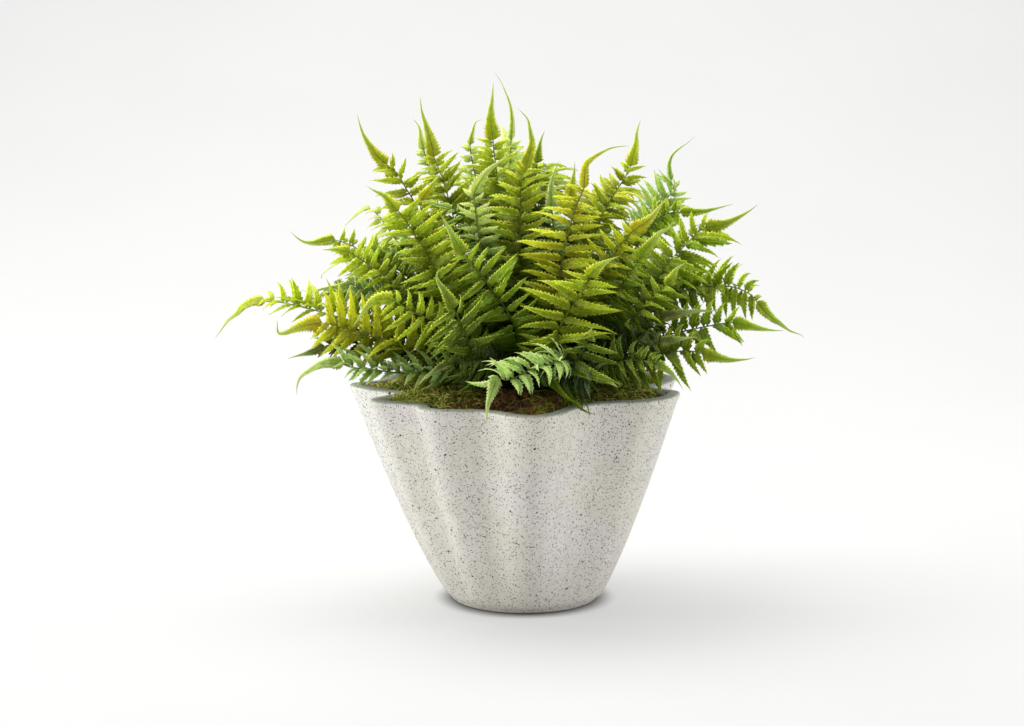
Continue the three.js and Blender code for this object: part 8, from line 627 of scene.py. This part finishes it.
def leaf(soup, centre, side, normal, half, teeth, bite, fold, thick, profile, cell, tone, reach, seed, wav=0.35):
    """One closed, toothed leaf. centre(x), side(x), normal(x) give its midline and frame; half is the half width."""
    r = np.random.RandomState(seed)
    K = 2 * teeth
    x = np.empty(K + 1)
    x[0::2] = np.arange(teeth + 1) / teeth
    x[1::2] = (np.arange(teeth) + 0.56) / teeth
    x = x ** 0.94
    x[-1] = 1.0
    x[1:-1] += (r.rand(K - 1) - 0.5) * 0.22 / K
    C, S, N = centre(x), side(x), normal(x)
    Lg = np.linalg.norm(np.diff(C, axis=0), axis=1)
    F = units(np.gradient(C, axis=0))
    step = Lg.mean()
    w = half * np.interp(x, *profile)
    k = np.arange(K + 1)
    ph = r.rand(4) * 6.28
    out = []
    for sgn, odd in ((1, 1), (-1, 0)):
        tooth = (k % 2 == odd).astype(float)
        size = np.clip(1.3 - 0.8 * x, 0.3, 1.0) * (0.70 + 0.6 * r.rand(K + 1))
        ww = w * (1 - bite * (1 - tooth) * (0.7 + 0.6 * r.rand(K + 1))) + tooth * w * bite * 0.55 * size
        fwd = tooth * step * 0.95 * size
        part = ww / max(half, 1e-6)
        lift = fold * ww + wav * np.sin(x * 8 + ph[0 if sgn > 0 else 1]) * part + (0.30 * np.sin(x * 27 + ph[2]) + 0.55 * (r.rand(K + 1) - 0.5)) * part
        rim = C + S * (sgn * ww)[:, None] + F * fwd[:, None] + N * lift[:, None]
        rel = 0.62 * (k % 2) - 0.25
        inner = C + S * (sgn * ww * 0.52)[:, None] + F * (fwd * 0.25)[:, None] + N * (0.5 * lift + 0.10 * ww + thick * 0.5 + rel * np.minimum(1, ww / 2))[:, None]
        out.append((rim, inner))
    top = C + N * (thick * 0.30)
    bot = C - N * (thick * 0.62)
    rows = [out[0][0], out[0][1], top, out[1][1], out[1][0], bot]
    V = np.stack([q[:-1] for q in rows], 1).reshape(-1, 3)          # K stations of 6
    V = np.concatenate([V, C[-1:]])
    tipi = len(V) - 1
    across = np.concatenate([np.tile([1, 0.52, 0, -0.52, -1, 0], K), [0]])
    below = np.concatenate([np.tile([0, 0, 0, 0, 0, 1], K), [0]])
    alo = np.concatenate([np.repeat(x[:-1], 6), [1.0]])
    reach = np.interp(alo, [0.0, 0.5, 1.0], np.broadcast_to(np.asarray(reach, float), (3,)))
    # the half of the blade that hangs lower lies in the shade of the fold
    reach = reach * (0.97 + 0.20 * across * float(np.clip(2.2 * S[:, 2].mean(), -1, 1)))
    faces, uvs = [], []
    (ax, ay, aw, ah), (bx, by, bw, bh) = cell
    vt = [1, 0.76, 0.5, 0.24, 0]
    for i in range(K):
        a, b = i * 6, (i + 1) * 6
        last = i == K - 1
        x0, x1 = x[i], x[i + 1]
        for j in range(4):
            if last:
                faces.append((a + j, a + j + 1, tipi))
                uvs.append(((ax + x0 * aw, ay + vt[j] * ah), (ax + x0 * aw, ay + vt[j + 1] * ah), (ax + aw, ay + 0.5 * ah)))
            else:
                faces.append((a + j, a + j + 1, b + j + 1, b + j))
                uvs.append(((ax + x0 * aw, ay + vt[j] * ah), (ax + x0 * aw, ay + vt[j + 1] * ah), (ax + x1 * aw, ay + vt[j + 1] * ah), (ax + x1 * aw, ay + vt[j] * ah)))
        for p, q, v0, v1 in ((4, 5, 0, 0.5), (5, 0, 0.5, 1)):
            if last:
                faces.append((a + p, a + q, tipi))
                uvs.append(((bx + x0 * bw, by + v0 * bh), (bx + x0 * bw, by + v1 * bh), (bx + bw, by + 0.5 * bh)))
            else:
                faces.append((a + p, a + q, b + q, b + p))
                uvs.append(((bx + x0 * bw, by + v0 * bh), (bx + x0 * bw, by + v1 * bh), (bx + x1 * bw, by + v1 * bh), (bx + x1 * bw, by + v0 * bh)))
    faces.append((5, 4, 3, 2, 1, 0))
    uvs.append(tuple((ax + 0.002 * aw * c, ay + ah * d) for c, d in ((1, 0.4), (0, 0.1), (0, 0.3), (0, 0.5), (0, 0.7), (0, 0.9))))
    soup.add(V, faces, uvs, along=alo, across=across, tone=tone, below=below, reach=reach, woody=0.25 if profile is END else 0.0)


def tube(soup, C, radius, sides, box, reach, tone=0.5):
    """A closed tapered tube along points C."""
    F = units(np.gradient(C, axis=0))
    ref = np.array([0.3, 0.9, 0.2])
    A = units(np.cross(F, np.broadcast_to(ref, F.shape)))
    B = np.cross(F, A)
    n = len(C)
    ang = np.arange(sides) * 2 * math.pi / sides
    V = (C[:, None] + radius[:, None, None] * (np.cos(ang)[None, :, None] * A[:, None] + np.sin(ang)[None, :, None] * B[:, None])).reshape(-1, 3)
    faces, uvs = [], []
    bx, by, bw, bh = box
    for i in range(n - 1):
        for j in range(sides):
            k = (j + 1) % sides
            faces.append((i * sides + j, i * sides + k, (i + 1) * sides + k, (i + 1) * sides + j))
            u0, u1, v0, v1 = bx + bw * i / (n - 1), bx + bw * (i + 1) / (n - 1), by + bh * j / sides, by + bh * (j + 1) / sides
            uvs.append(((u0, v0), (u0, v1), (u1, v1), (u1, v0)))
    faces.append(tuple(range(sides))[::-1])
    uvs.append(tuple((bx, by + bh * j / sides) for j in range(sides)))
    e = (n - 1) * sides
    faces.append(tuple(e + j for j in range(sides)))
    uvs.append(tuple((bx + bw, by + bh * j / sides) for j in range(sides)))
    soup.add(V, faces, uvs, along=np.repeat(np.linspace(0, 1, n), sides), tone=tone, reach=np.repeat(np.broadcast_to(reach, (n,)), sides), woody=1.0)


def leaf_width(L):
    return 2.8 + 0.155 * L


def lowest(x, y):
    """The height that foliage stays above at (x, y): the moss inside the rim, the lip over the wall."""
    return 206.5 if math.hypot(x, y) < rim_radius(math.degrees(math.atan2(y, x))) + 2.0 else 60.0


def filled_in(D, s, leaflets, r, twice, longer, inner):
    """The frond's leaflets carried on down the stem, nearly to the moss, where they are small and shaded."""
    full = [(sd, sa, np.array([x, y, z], float) * longer, True) for sd, sa, x, y, z in leaflets]
    for sd in (1, -1):
        mine = sorted([q for q in full if q[0] == sd], key=lambda q: q[1])
        if not mine:
            continue
        _, sa, v, _ = mine[min(1, len(mine) - 1)]
        T0 = tangents(D, s, [sa])[0]
        Ln = np.linalg.norm(v)
        lean = float(np.clip(v @ T0 / Ln, -0.2, 0.55))
        B = unit(v - (v @ T0) * T0)
        x = mine[0][1] - r.uniform(6.0, 7.5)
        n = 0
        while x > 33:
            T = tangents(D, s, [x])[0]
            P = at(D, s, [x])[0]
            b = unit(B - (B @ T) * T)
            a = math.radians(r.uniform(-22, 22))
            b = b * math.cos(a) + np.cross(T, b) * math.sin(a)
            ln = Ln * max(0.55, 0.97 - 0.045 * n) * r.uniform(0.88, 1.08)
            w = ln * (lean * T + math.sqrt(1 - lean * lean) * b)
            tip = P + w
            low = lowest(tip[0], tip[1]) + 2
            if P[2] < 209:
                break
            if tip[2] < low:
                w[2] += low - tip[2]
                w = unit(w) * ln
            full.append((sd, x, w, False))
            x -= r.uniform(6.2, 8.2)
            n += 1
    if True:
        for sd, sa, v, own in list(full):
            if not twice and r.rand() > (0.50 if inner else 1.0):
                continue
            T = tangents(D, s, [sa])[0]
            a = math.radians(r.uniform(20, 42) if twice else r.uniform(28, 62)) * (1 if r.rand() < 0.5 else -1)
            w = v * math.cos(a) + np.cross(T, v) * math.sin(a) + T * (T @ v) * (1 - math.cos(a))
            w = w * r.uniform(0.85, 1.0)
            sb = sa - 3.2
            P = at(D, s, [sb])[0]
            tip = P + w
            if tip[2] < lowest(tip[0], tip[1]) + 2 or sb < 33:
                continue
            full.append((sd, sb, w, False))
            if twice and r.rand() < 0.35:
                w2 = v * math.cos(1.1 * a) - np.cross(T, v) * math.sin(1.1 * a)
                tip = P + w2
                if tip[2] > lowest(tip[0], tip[1]) + 2:
                    full.append((sd, sb + 1.2, w2 * 0.9, False))
    return full


CELL, LOW, SHAPE = 9.0, np.array([-310.0, -310.0, 180.0]), (70, 70, 42)
crowd = np.zeros(SHAPE)


def note_leaf(P, v, half):
    """Adds one leaf's area to the grid that says how crowded the plant is at each place."""
    n = 7
    u = (np.arange(n) + 0.5) / n
    q = np.floor((P + v * u[:, None] - LOW) / CELL).astype(int)
    q = np.clip(q, 0, np.array(SHAPE) - 1)
    np.add.at(crowd, tuple(q.T), np.linalg.norm(v) * half * 1.25 / n)


DIRECTIONS = []
for _k in range(40):
    _z = 1 - (_k + 0.5) / 40 * 1.25
    _a = _k * 2.399963
    _q = math.sqrt(1 - _z * _z)
    DIRECTIONS.append((math.cos(_a) * _q, math.sin(_a) * _q, _z))
DIRECTIONS = np.array(DIRECTIONS)
SKY = 0.30 + 0.66 * DIRECTIONS[:, 2] + 0.24 * np.abs(DIRECTIONS[:, 0]) - 0.12 * np.maximum(0, -DIRECTIONS[:, 1])


def daylight(points):
    """The share of the light from above and around that gets to each point through the other leaves."""
    points = np.asarray(points, float)
    step = CELL
    depth = np.zeros((len(points), len(DIRECTIONS)))
    for k in range(1, 26):
        q = np.floor((points[:, None] + DIRECTIONS[None] * (step * (k + 0.35)) - LOW) / CELL).astype(int)
        ok = np.all((q >= 0) & (q < np.array(SHAPE)), axis=2)
        q = np.clip(q, 0, np.array(SHAPE) - 1)
        depth += np.where(ok, crowd[q[..., 0], q[..., 1], q[..., 2]], 0.0)
    through = np.exp(-0.42 * depth * step / CELL ** 3)
    return (through * SKY).sum(1) / SKY.sum()


def openness(points):
    """0 deep among the stems, 1 out in the open."""
    return np.clip((daylight(points) - 0.10) / 0.62, 0, 1)


def plan_frond(index, name, start, width, stem, leaflets):
    """The frond's leaflets, its own and the ones filled in, entered in the crowd grid."""
    r = np.random.RandomState(3000 + index)
    D, s = smooth_curve(stem)
    back = "back" in name
    full = filled_in(D, s, leaflets, r, back, 1.34 if back else 1.20 if "right" in name else 1.18 if "upper" in name or "left" in name else 1.09, "centre" in name or "front" in name)
    for sd, sa, v, own in full:
        note_leaf(at(D, s, [sa])[0], v, leaf_width(np.linalg.norm(v)) * 0.6)
    s0 = s[start * 6]
    a, b = at(D, s, [s0])[0], at(D, s, [s0 + 0.6 * (s[-1] - s0)])[0]
    note_leaf(a, b - a, width * 0.4)
    return full


def build_frond(index, name, tint, start, width, face, stem, leaflets, material, full):
    r = np.random.RandomState(1000 + index)
    D, s = smooth_curve(stem)
    L, s0 = s[-1], s[start * 6]
    soup = Soup()
    fr_tone = r.rand()
    face = np.array(face, float)
    # frame along the stem, voted by the leaflets
    LS = np.array([q[1] for q in leaflets])
    LN = []
    for sd, sa, x, y, z in leaflets:
        T = tangents(D, s, [sa])[0]
        LN.append(unit(np.cross(T, (x, y, z)) * sd))
    LN = np.array(LN)
    wsum = ((1 / (1 + ((s0 - LS) / 14) ** 2) ** 2)[:, None] * LN).sum(0)
    sgn = -1.0 if wsum @ face < 0 else 1.0
    back = "back" in name
    nl = len(full)
    cols = 4
    rows = math.ceil(2 * nl / cols)
    def cell(i):
        cx, cy = i % cols, i // cols
        return (cx / cols + 0.004, cy / rows * 0.80 + 0.002, 1 / cols - 0.008, 0.80 / rows - 0.004)
    for i, (sd, sa, v, own) in enumerate(full):
        P = at(D, s, [sa])[0]
        T = tangents(D, s, [sa])[0]
        a = math.radians(r.uniform(-9, 9))
        v = (v * math.cos(a) + np.cross(T, v) * math.sin(a)) * r.uniform(0.92, 1.06)
        Ln = np.linalg.norm(v)
        d = v / Ln
        S0 = unit(T - (T @ d) * d)
        N0 = np.cross(d, S0)
        # the upper side looks up and, on all but the back fronds, to the front
        out = unit(np.array([P[0], P[1], 0.0]) + 1e-6)
        ref = out * 0.4 + np.array([0, 0, 1.0]) if back else np.array([0, -0.75, 0.65])
        up = 1.0 if N0 @ ref > 0 else -1.0
        if up < 0:
            N0 = -N0
        # each leaflet is rolled about its own midline so that it turns more to the light above
        N1 = N0 + np.array([0, 0, r.uniform(0.35, 0.95)])
        N1 = unit(N1 - (N1 @ d) * d)
        S1 = np.cross(N1, d)
        S0 = S1 if S1 @ S0 > 0 else -S1
        N0 = N1
        hand = 1.0 if np.cross(d, S0) @ N0 > 0 else -1.0
        arch = Ln * (0.07 + 0.10 * r.rand())
        sweep = Ln * (0.03 + 0.09 * r.rand())
        tw0, tw1 = math.radians(r.uniform(-14, 14)), math.radians(r.uniform(-26, 26))
        curl = r.uniform(0.0, 0.15) * Ln
        def centre(u, P=P, v=v, N0=N0, S0=S0, arch=arch, sweep=sweep, curl=curl):
            return P + v * u[:, None] + N0 * (arch * 4 * u * (1 - u))[:, None] - S0 * (sweep * 4 * u * (1 - u))[:, None] + N0 * (curl * np.clip((u - 0.72) / 0.28, 0, 1) ** 2)[:, None] * -1
        def side(u, S0=S0, N0=N0, a=tw0, b=tw1):
            t = a + (b - a) * u
            return S0 * np.cos(t)[:, None] + N0 * np.sin(t)[:, None]
        def normal(u, S0=S0, N0=N0, a=tw0, b=tw1):
            t = a + (b - a) * u
            return N0 * np.cos(t)[:, None] - S0 * np.sin(t)[:, None]
        teeth = int(np.clip(round(Ln / 3.1), 6, 14)) if own else 5
        inner_one = "centre" in name or "front" in name
        wide = 1.34 if back else (0.90 if inner_one else 0.98) if own else (1.12 if inner_one else 1.24)
        half = leaf_width(Ln) * wide * 0.5 * r.uniform(0.94, 1.06)
        # painted light and shade: each leaflet is painted as light as the daylight that gets to it through the plant,
        # the filled-in leaflets darker still, and some fronds, and those to the left and right, painted lighter
        reach = openness([P + 0.1 * v, P + 0.5 * v, P + 0.95 * v]) * (1.0 if own else 0.78)
        if name == "frond_front_01":
            reach = 0.50 + 0.55 * reach
        elif name in ("frond_left_04", "frond_left_09"):
            reach = 0.36 + 0.70 * reach
        elif "left" in name:
            reach = reach * 1.22
        elif "right" in name:
            reach = reach * 1.06
        if hand < 0:
            leaf(soup, centre, lambda u, f=side: -f(u), normal, half, teeth, 0.27, r.uniform(0.10, 0.60), 0.55, (PROFILE_X, PROFILE_W),
                 (cell(2 * i), cell(2 * i + 1)), 0.5 * fr_tone + 0.5 * r.rand(), reach, 7 * i + index * 991)
        else:
            leaf(soup, centre, side, normal, half, teeth, 0.27, r.uniform(0.10, 0.60), 0.55, (PROFILE_X, PROFILE_W),
                 (cell(2 * i), cell(2 * i + 1)), 0.5 * fr_tone + 0.5 * r.rand(), reach, 7 * i + index * 991)
    # end leaf
    def ecentre(u):
        return at(D, s, s0 + (L - s0) * u)
    def enormal(u):
        T = tangents(D, s, s0 + (L - s0) * u)
        N = sgn * np.broadcast_to(face, T.shape)
        return units(N - (N * T).sum(1)[:, None] * T)
    def eside(u):
        T = tangents(D, s, s0 + (L - s0) * u)
        return np.cross(enormal(u), T)
    up = enormal(np.array([0.3]))[0]
    tipp = at(D, s, [s0])[0]
    ref = unit(np.array([tipp[0], tipp[1], 0.0]) + 1e-6) * 0.4 + np.array([0, 0, 1.0]) if back else np.array([0, -0.75, 0.65])
    flip = 1.0 if up @ ref > 0 else -1.0
    # painted light: the end leaf is painted lighter the more open its stem lies
    leaf(soup, ecentre, (lambda u: flip * eside(u)), (lambda u: flip * enormal(u)), width * 0.62, int(np.clip(round((L - s0) / 2.6), 10, 22)), 0.20, 0.22, 0.7, END,
         ((0.004, 0.805, 0.49, 0.10), (0.504, 0.805, 0.49, 0.10)), 0.5 * fr_tone + 0.5 * r.rand(), 0.25 + 0.75 * openness(at(D, s, [s0, s0 + 0.4 * (L - s0), L])), 5 + index * 77, wav=0.5)
    # stem, midrib and the raised rib of the end leaf
    n = max(14, int(s0 / 5.5))
    xs = np.linspace(0, s0, n)
    ex = s0 + (L - s0) * np.array([0.12, 0.28, 0.45, 0.62])
    X = np.concatenate([xs, ex])
    C = at(D, s, X)
    C[n:] += (flip * enormal((ex - s0) / (L - s0))) * 0.15
    rad = np.interp(X, [0, 0.5 * s0, s0, s0 + 0.3 * (L - s0), s0 + 0.62 * (L - s0)], [1.15, 0.84, 0.54, 0.34, 0.14])
    rad = rad * (1 + 0.06 * np.sin(X * 0.9))
    # painted light: the stem is painted lighter where it lies open, more so on the left-hand fronds
    tube(soup, C, rad, 7, (0.004, 0.915, 0.99, 0.08), openness(C) * (1.6 if "left" in name else 1.0))
    return soup.build("leafy_" + name, material)


# ---------------------------------------------------------------- planter
def rim_curve():
    a = np.array([p[0] for p in RIM], float)
    rr = np.array([p[1] for p in RIM], float)
    A = np.concatenate([a[-2:] - 360, a, a[:3] + 360])
    R = np.concatenate([rr[-2:], rr, rr[:3]])
    h, d = np.diff(A), np.diff(R) / np.diff(A)
    m = np.zeros_like(R)
    for i in range(1, len(R) - 1):
        if d[i - 1] * d[i] > 0:
            w0, w1 = 2 * h[i] + h[i - 1], h[i] + 2 * h[i - 1]
            m[i] = (w0 + w1) / (w0 / d[i - 1] + w1 / d[i])
    def f(deg):
        t = (np.asarray(deg, float) - 175) % 360 + 175
        i = np.clip(np.searchsorted(A, t, side="right") - 1, 0, len(A) - 2)
        u = (t - A[i]) / h[i]
        return ((2*u**3 - 3*u**2 + 1) * R[i] + (u**3 - 2*u**2 + u) * h[i] * m[i] + (-2*u**3 + 3*u**2) * R[i + 1] + (u**3 - u**2) * h[i] * m[i + 1])
    return f


rim_radius = rim_curve()
POT_N = 288
THETA = np.arange(POT_N) * 360.0 / POT_N
_rr = rim_radius(THETA)
_rr = 0.15 * np.roll(_rr, 1) + 0.7 * _rr + 0.15 * np.roll(_rr, -1)


def wall_ring(z, inset):
    """(POT_N, 2) points of the outer wall at height z, set back square to the wall."""
    f = max(0.0, min(1.0, z / POT_HEIGHT)) ** FLARE_POWER
    r = BASE_RADIUS + (_rr - BASE_RADIUS) * f
    p = np.stack([r * np.cos(np.radians(THETA)), r * np.sin(np.radians(THETA))], 1)
    if inset:
        t = np.roll(p, -2, 0) - np.roll(p, 2, 0)
        t /= np.linalg.norm(t, axis=1)[:, None]
        p = p - np.stack([t[:, 1], -t[:, 0]], 1) * inset
    return p


def ring_mesh(name, rings, material, closed_low, closed_high):
    """rings: (POT_N, 3) arrays, joined in turn; a point on the axis closes either end."""
    soup_v, faces, uvs = [], [], []
    for q in rings:
        soup_v.append(q)
    n = POT_N
    m = len(rings)
    length = np.concatenate([[0], np.cumsum([np.linalg.norm(rings[i + 1] - rings[i], axis=1).mean() for i in range(m - 1)])])
    vv = 0.08 + 0.84 * length / length[-1]
    for i in range(m - 1):
        for j in range(n):
            k = (j + 1) % n
            faces.append((i * n + j, i * n + k, (i + 1) * n + k, (i + 1) * n + j))
            u0, u1 = 0.002 + 0.996 * j / n, 0.002 + 0.996 * (j + 1) / n
            uvs.append(((u0, vv[i]), (u1, vv[i]), (u1, vv[i + 1]), (u0, vv[i + 1])))
    V = np.concatenate(soup_v)
    nv = len(V)
    extra = []
    for low, c, row, v0 in ((True, closed_low, 0, 0.0), (False, closed_high, m - 1, 0.92)):
        if c is None:
            continue
        ci = nv + len(extra)
        extra.append(c)
        for j in range(n):
            k = (j + 1) % n
            a, b = row * n + j, row * n + k
            faces.append((ci, b, a) if low else (ci, a, b))
            u0, u1 = 0.002 + 0.996 * j / n, 0.002 + 0.996 * (j + 1) / n
            mid = (0.5 * (u0 + u1), 0.004 if low else 0.996)
            e = 0.078 if low else 0.922
            uvs.append((mid, (u1, e), (u0, e)) if low else (mid, (u0, e), (u1, e)))
    V = np.concatenate([V, np.array(extra).reshape(-1, 3)]) if extra else V
    s = Soup()
    s.add(V, faces, uvs)
    return s.build(name, material)


def build_pot(material):
    rings = []
    def ring(z, inset, zz=None):
        p = wall_ring(z, inset)
        rings.append(np.concatenate([p, np.full((POT_N, 1), z if zz is None else zz)], 1))
    def disc(r, z):
        rings.append(np.stack([r * np.cos(np.radians(THETA)), r * np.sin(np.radians(THETA)), np.full(POT_N, z)], 1))
    for q in (18, 38, 54, 61):
        disc(q, 0.0)
    # rounded base edge
    for a in np.linspace(0, 80, 7):
        t = math.radians(a)
        rr = 64.6 + 4.6 * math.sin(t)
        disc(rr, 4.6 - 4.6 * math.cos(t))
    for z in list(np.linspace(7, 60, 14)) + list(np.linspace(64, 190, 30)):
        ring(z, 0)
    # lip: rounded over from the outer wall to the flat top and down inside
    for a in np.linspace(0, 90, 6):
        t = math.radians(a)
        ring(POT_HEIGHT, 3.2 * (1 - math.cos(t)), POT_HEIGHT - 3.2 + 3.2 * math.sin(t))
    ring(POT_HEIGHT, 5.4, POT_HEIGHT)
    for a in np.linspace(0, 90, 6):
        t = math.radians(a)
        ring(POT_HEIGHT, WALL - 3.0 + 3.0 * math.sin(t), POT_HEIGHT - 3.0 + 3.0 * math.cos(t))
    for z in (190, 178, 160, 130, 100, 75, 50, 34, 22, 15):
        ring(z, WALL)
    ring(FLOOR, WALL + 3)
    disc(30, FLOOR)
    return ring_mesh("planter", rings, material, (0, 0, 0), (0, 0, FLOOR))


def build_moss(material):
    """A lumpy bed from the wall to the middle, with loose strands of moss and coir lying on it."""
    r = np.random.RandomState(5)
    inner = wall_ring(197, WALL + 0.9)
    def level(x, y):
        rad = math.hypot(x, y)
        th = math.degrees(math.atan2(y, x)) % 360
        k = int(round(th / 360 * POT_N)) % POT_N
        e = math.hypot(*inner[k])
        t = rad / e
        crest = 196.0 + 6.0 * math.exp(-((t - 0.55) / 0.32) ** 2) + 1.5 * (t < 0.3)
        crest -= 4.2 * max(0.0, (t - 0.84) / 0.16) ** 2
        nz = noise.noise(Vector((x * 0.045, y * 0.045, 3.1))) * 2.0 + noise.noise(Vector((x * 0.13, y * 0.13, 9.7))) * 2.2 + noise.noise(Vector((x * 0.42, y * 0.42, 1.7))) * 1.1
        return min(crest + nz, 205.0)
    rings = []
    fr = [0.08, 0.2, 0.32, 0.42, 0.5, 0.57, 0.63, 0.69, 0.74, 0.79, 0.84, 0.88, 0.92, 0.955, 0.985, 1.0]
    low = [np.concatenate([inner * f, np.full((POT_N, 1), 190.8)], 1) for f in (0.3, 0.7, 0.999)]
    rings += low
    for f in fr[::-1]:
        p = inner * f
        rings.append(np.array([[a, b, level(a, b) - (1.5 if f > 0.99 else 0)] for a, b in p]))
    bed = ring_mesh("moss_bed_tmp", rings, material, (0, 0, 190.8), (0, 0, level(0.01, 0.01)))
    me = bed.data
    V = np.empty(len(me.vertices) * 3)
    me.vertices.foreach_get("co", V)
    V = V.reshape(-1, 3) / MM
    # the moss's tone by place: darker at the front centre, partly brown coir and partly painted shade below the rim,
    # and lighter towards the left
    def shade(x, y):
        th = math.degrees(math.atan2(y, x)) % 360
        front = math.exp(-(((th - 266) + 180) % 360 - 180) ** 2 / (2 * 24.0 ** 2)) * min(1, math.hypot(x, y) / 70)
        n1 = noise.noise(Vector((x * 0.03, y * 0.03, 12.0)))
        n2 = noise.noise(Vector((x * 0.09, y * 0.09, 4.0)))
        left = math.exp(-(((th - 195) + 180) % 360 - 180) ** 2 / (2 * 26.0 ** 2)) * min(1, math.hypot(x, y) / 90)
        return float(np.clip(0.55 + 0.34 * n1 + 0.26 * n2 - 0.34 * front + 0.16 * left, 0.04, 0.95))
    soup = Soup()
    polys = [tuple(p.vertices) for p in me.polygons]
    uvl = me.uv_layers["OFBake"].data
    uvs = [tuple((0.002 + uvl[l].uv[0] * 0.996, uvl[l].uv[1] * 0.40) for l in p.loop_indices) for p in me.polygons]
    soup.add(V, polys, uvs, tone=np.array([max(0.0, shade(a, b) - 0.12) for a, b, _ in V]), woody=0.0)
    bpy.data.objects.remove(bed)
    bpy.data.meshes.remove(me)
    count = 4700
    side = math.ceil(math.sqrt(count))
    for i in range(count):
        th = r.rand() * 360
        k = int(round(th / 360 * POT_N)) % POT_N
        e = math.hypot(*inner[k])
        rad = e * math.sqrt(r.uniform(0.02, 0.93))
        x, y = rad * math.cos(math.radians(th)), rad * math.sin(math.radians(th))
        ln = r.uniform(5, 18) * (1.3 if r.rand() < 0.15 else 1)
        a = r.rand() * 2 * math.pi
        turn = r.uniform(-2.6, 2.6)
        seg = 4
        pts = []
        px, py = x, y
        hgt = r.uniform(0.8, 6.0)
        for q in range(seg + 1):
            u = q / seg
            z = level(px, py) + 0.2 + hgt * math.sin(u * math.pi) * r.uniform(0.6, 1.0) + (r.uniform(0, 2.0) if r.rand() < 0.1 else 0)
            pts.append((px, py, z))
            px += math.cos(a) * ln / seg
            py += math.sin(a) * ln / seg
            a += turn / seg
            # stay inside the wall
            kk = int(round((math.degrees(math.atan2(py, px)) % 360) / 360 * POT_N)) % POT_N
            lim = math.hypot(*inner[kk]) - 2.4
            rr = math.hypot(px, py)
            if rr > lim:
                px, py = px * lim / rr, py * lim / rr
        C = np.array(pts)
        C[:, 2] = np.minimum(C[:, 2], 208.0)
        C += (r.rand(*C.shape) - 0.5) * 0.5
        w = r.uniform(0.28, 0.62)
        rads = w * np.array([0.75, 1.0, 0.95, 0.7, 0.22])
        tone = float(np.clip(shade(x, y) + r.uniform(-0.20, 0.34) + 0.03 * (hgt - 3.4), 0.02, 0.98))
        cx, cy = i % side, i // side
        tube(soup, C, rads, 3, (cx / side + 0.001, 0.405 + cy / side * 0.59, 1 / side - 0.002, 0.59 / side - 0.001), 0.5, tone)
    return soup.build("moss_cover", material)


# ---------------------------------------------------------------- camera, floor and light
cam = bpy.data.cameras.new("camera")
cam.lens = 76.8
cam.sensor_width = 36.0
cam.clip_end = 50
cam_ob = bpy.data.objects.new("camera", cam)
scene.collection.objects.link(cam_ob)
cam_ob.location = (-0.0116, -2.0, 0.517)
cam_ob.rotation_euler = (math.radians(90 - 8.42), 0, 0)
scene.camera = cam_ob

# floor sweeping up into a backdrop
prof = [(-4.5, 0.0)] + [(y, 0.0) for y in (-2.5, -1.2, -0.5, 0.0, 0.4, 0.9)]
for a in np.linspace(0, 90, 31)[1:]:
    t = math.radians(a)
    prof.append((0.9 + 3.4 * math.sin(t), 3.4 - 3.4 * math.cos(t)))
prof += [(4.3, 4.4)]
xs = np.linspace(-4.5, 4.5, 13)
verts = [(x, y, z - 0.0002) for y, z in prof for x in xs]
fcs = [(i * 13 + j, i * 13 + j + 1, (i + 1) * 13 + j + 1, (i + 1) * 13 + j) for i in range(len(prof) - 1) for j in range(12)]
me = bpy.data.meshes.new("studio_floor")
me.from_pydata(verts, [], fcs)
me.polygons.foreach_set("use_smooth", [True] * len(me.polygons))
me.materials.append(floor_material())
floor = bpy.data.objects.new("studio_floor", me)
scene.collection.objects.link(floor)

world = bpy.data.worlds.new("soft_world")
scene.world = world
world.use_nodes = True
bgn = world.node_tree.nodes["Background"]
bgn.inputs[0].default_value = (1.0, 1.0, 1.0, 1.0)
bgn.inputs[1].default_value = 0.32


def area(name, loc, target, size, power, colour=(1, 1, 1)):
    d = bpy.data.lights.new(name, "AREA")
    d.shape = "RECTANGLE"
    d.size, d.size_y = size
    d.energy = power
    d.color = colour
    o = bpy.data.objects.new(name, d)
    scene.collection.objects.link(o)
    o.location = loc
    o.rotation_euler = (Vector(target) - Vector(loc)).to_track_quat("-Z", "Y").to_euler()
    return o


area("key_light", (-0.95, 0.45, 2.20), (0.0, 0.0, 0.25), (1.7, 1.7), 50.0, (1.0, 0.985, 0.955))
area("top_light", (0.20, 0.40, 2.5), (0.0, 0.05, 0.2), (1.6, 1.6), 28.0)
area("front_fill", (-0.90, -3.00, 0.60), (0.0, 0.0, 0.2), (1.4, 1.0), 17.0)
area("left_light", (-2.4, -0.15, 0.62), (0.0, 0.0, 0.2), (1.0, 1.0), 36.0)
area("right_light", (2.4, 0.15, 0.66), (0.0, 0.0, 0.2), (1.2, 1.2), 34.0, (0.98, 0.99, 1.0))
area("sweep_light", (0.0, 1.9, 3.4), (0.0, 4.1, 0.8), (3.2, 1.2), 64.0)

# ---------------------------------------------------------------- the object
stone = stone_material()
planter = build_pot(stone)
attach(planter, "root")
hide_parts("pot")

moss_mat = moss_material()
moss = build_moss(moss_mat)
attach(moss, "root")
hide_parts("moss_ring")

block_mat = block_material()
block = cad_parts["growing_block"]
for i in range(len(block.material_slots)):
    block.material_slots[i].material = block_mat

plans = [plan_frond(i, f[0], f[2], f[3], f[5], f[6]) for i, f in enumerate(FRONDS)]
mats = {}
for i, (name, tint, start, width, face, stem, leaflets) in enumerate(FRONDS):
    if tint not in mats:
        c, mg, un, rb, th, rusty = TINTS[tint]
        mats[tint] = leaf_material("fern_" + tint, c, mg, un, rb, th, rusty)
    ob = build_frond(i, name, tint, start, width, face, stem, leaflets, mats[tint], plans[i])
    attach(ob, "root")
    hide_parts(name)

bpy.context.view_layer.update()
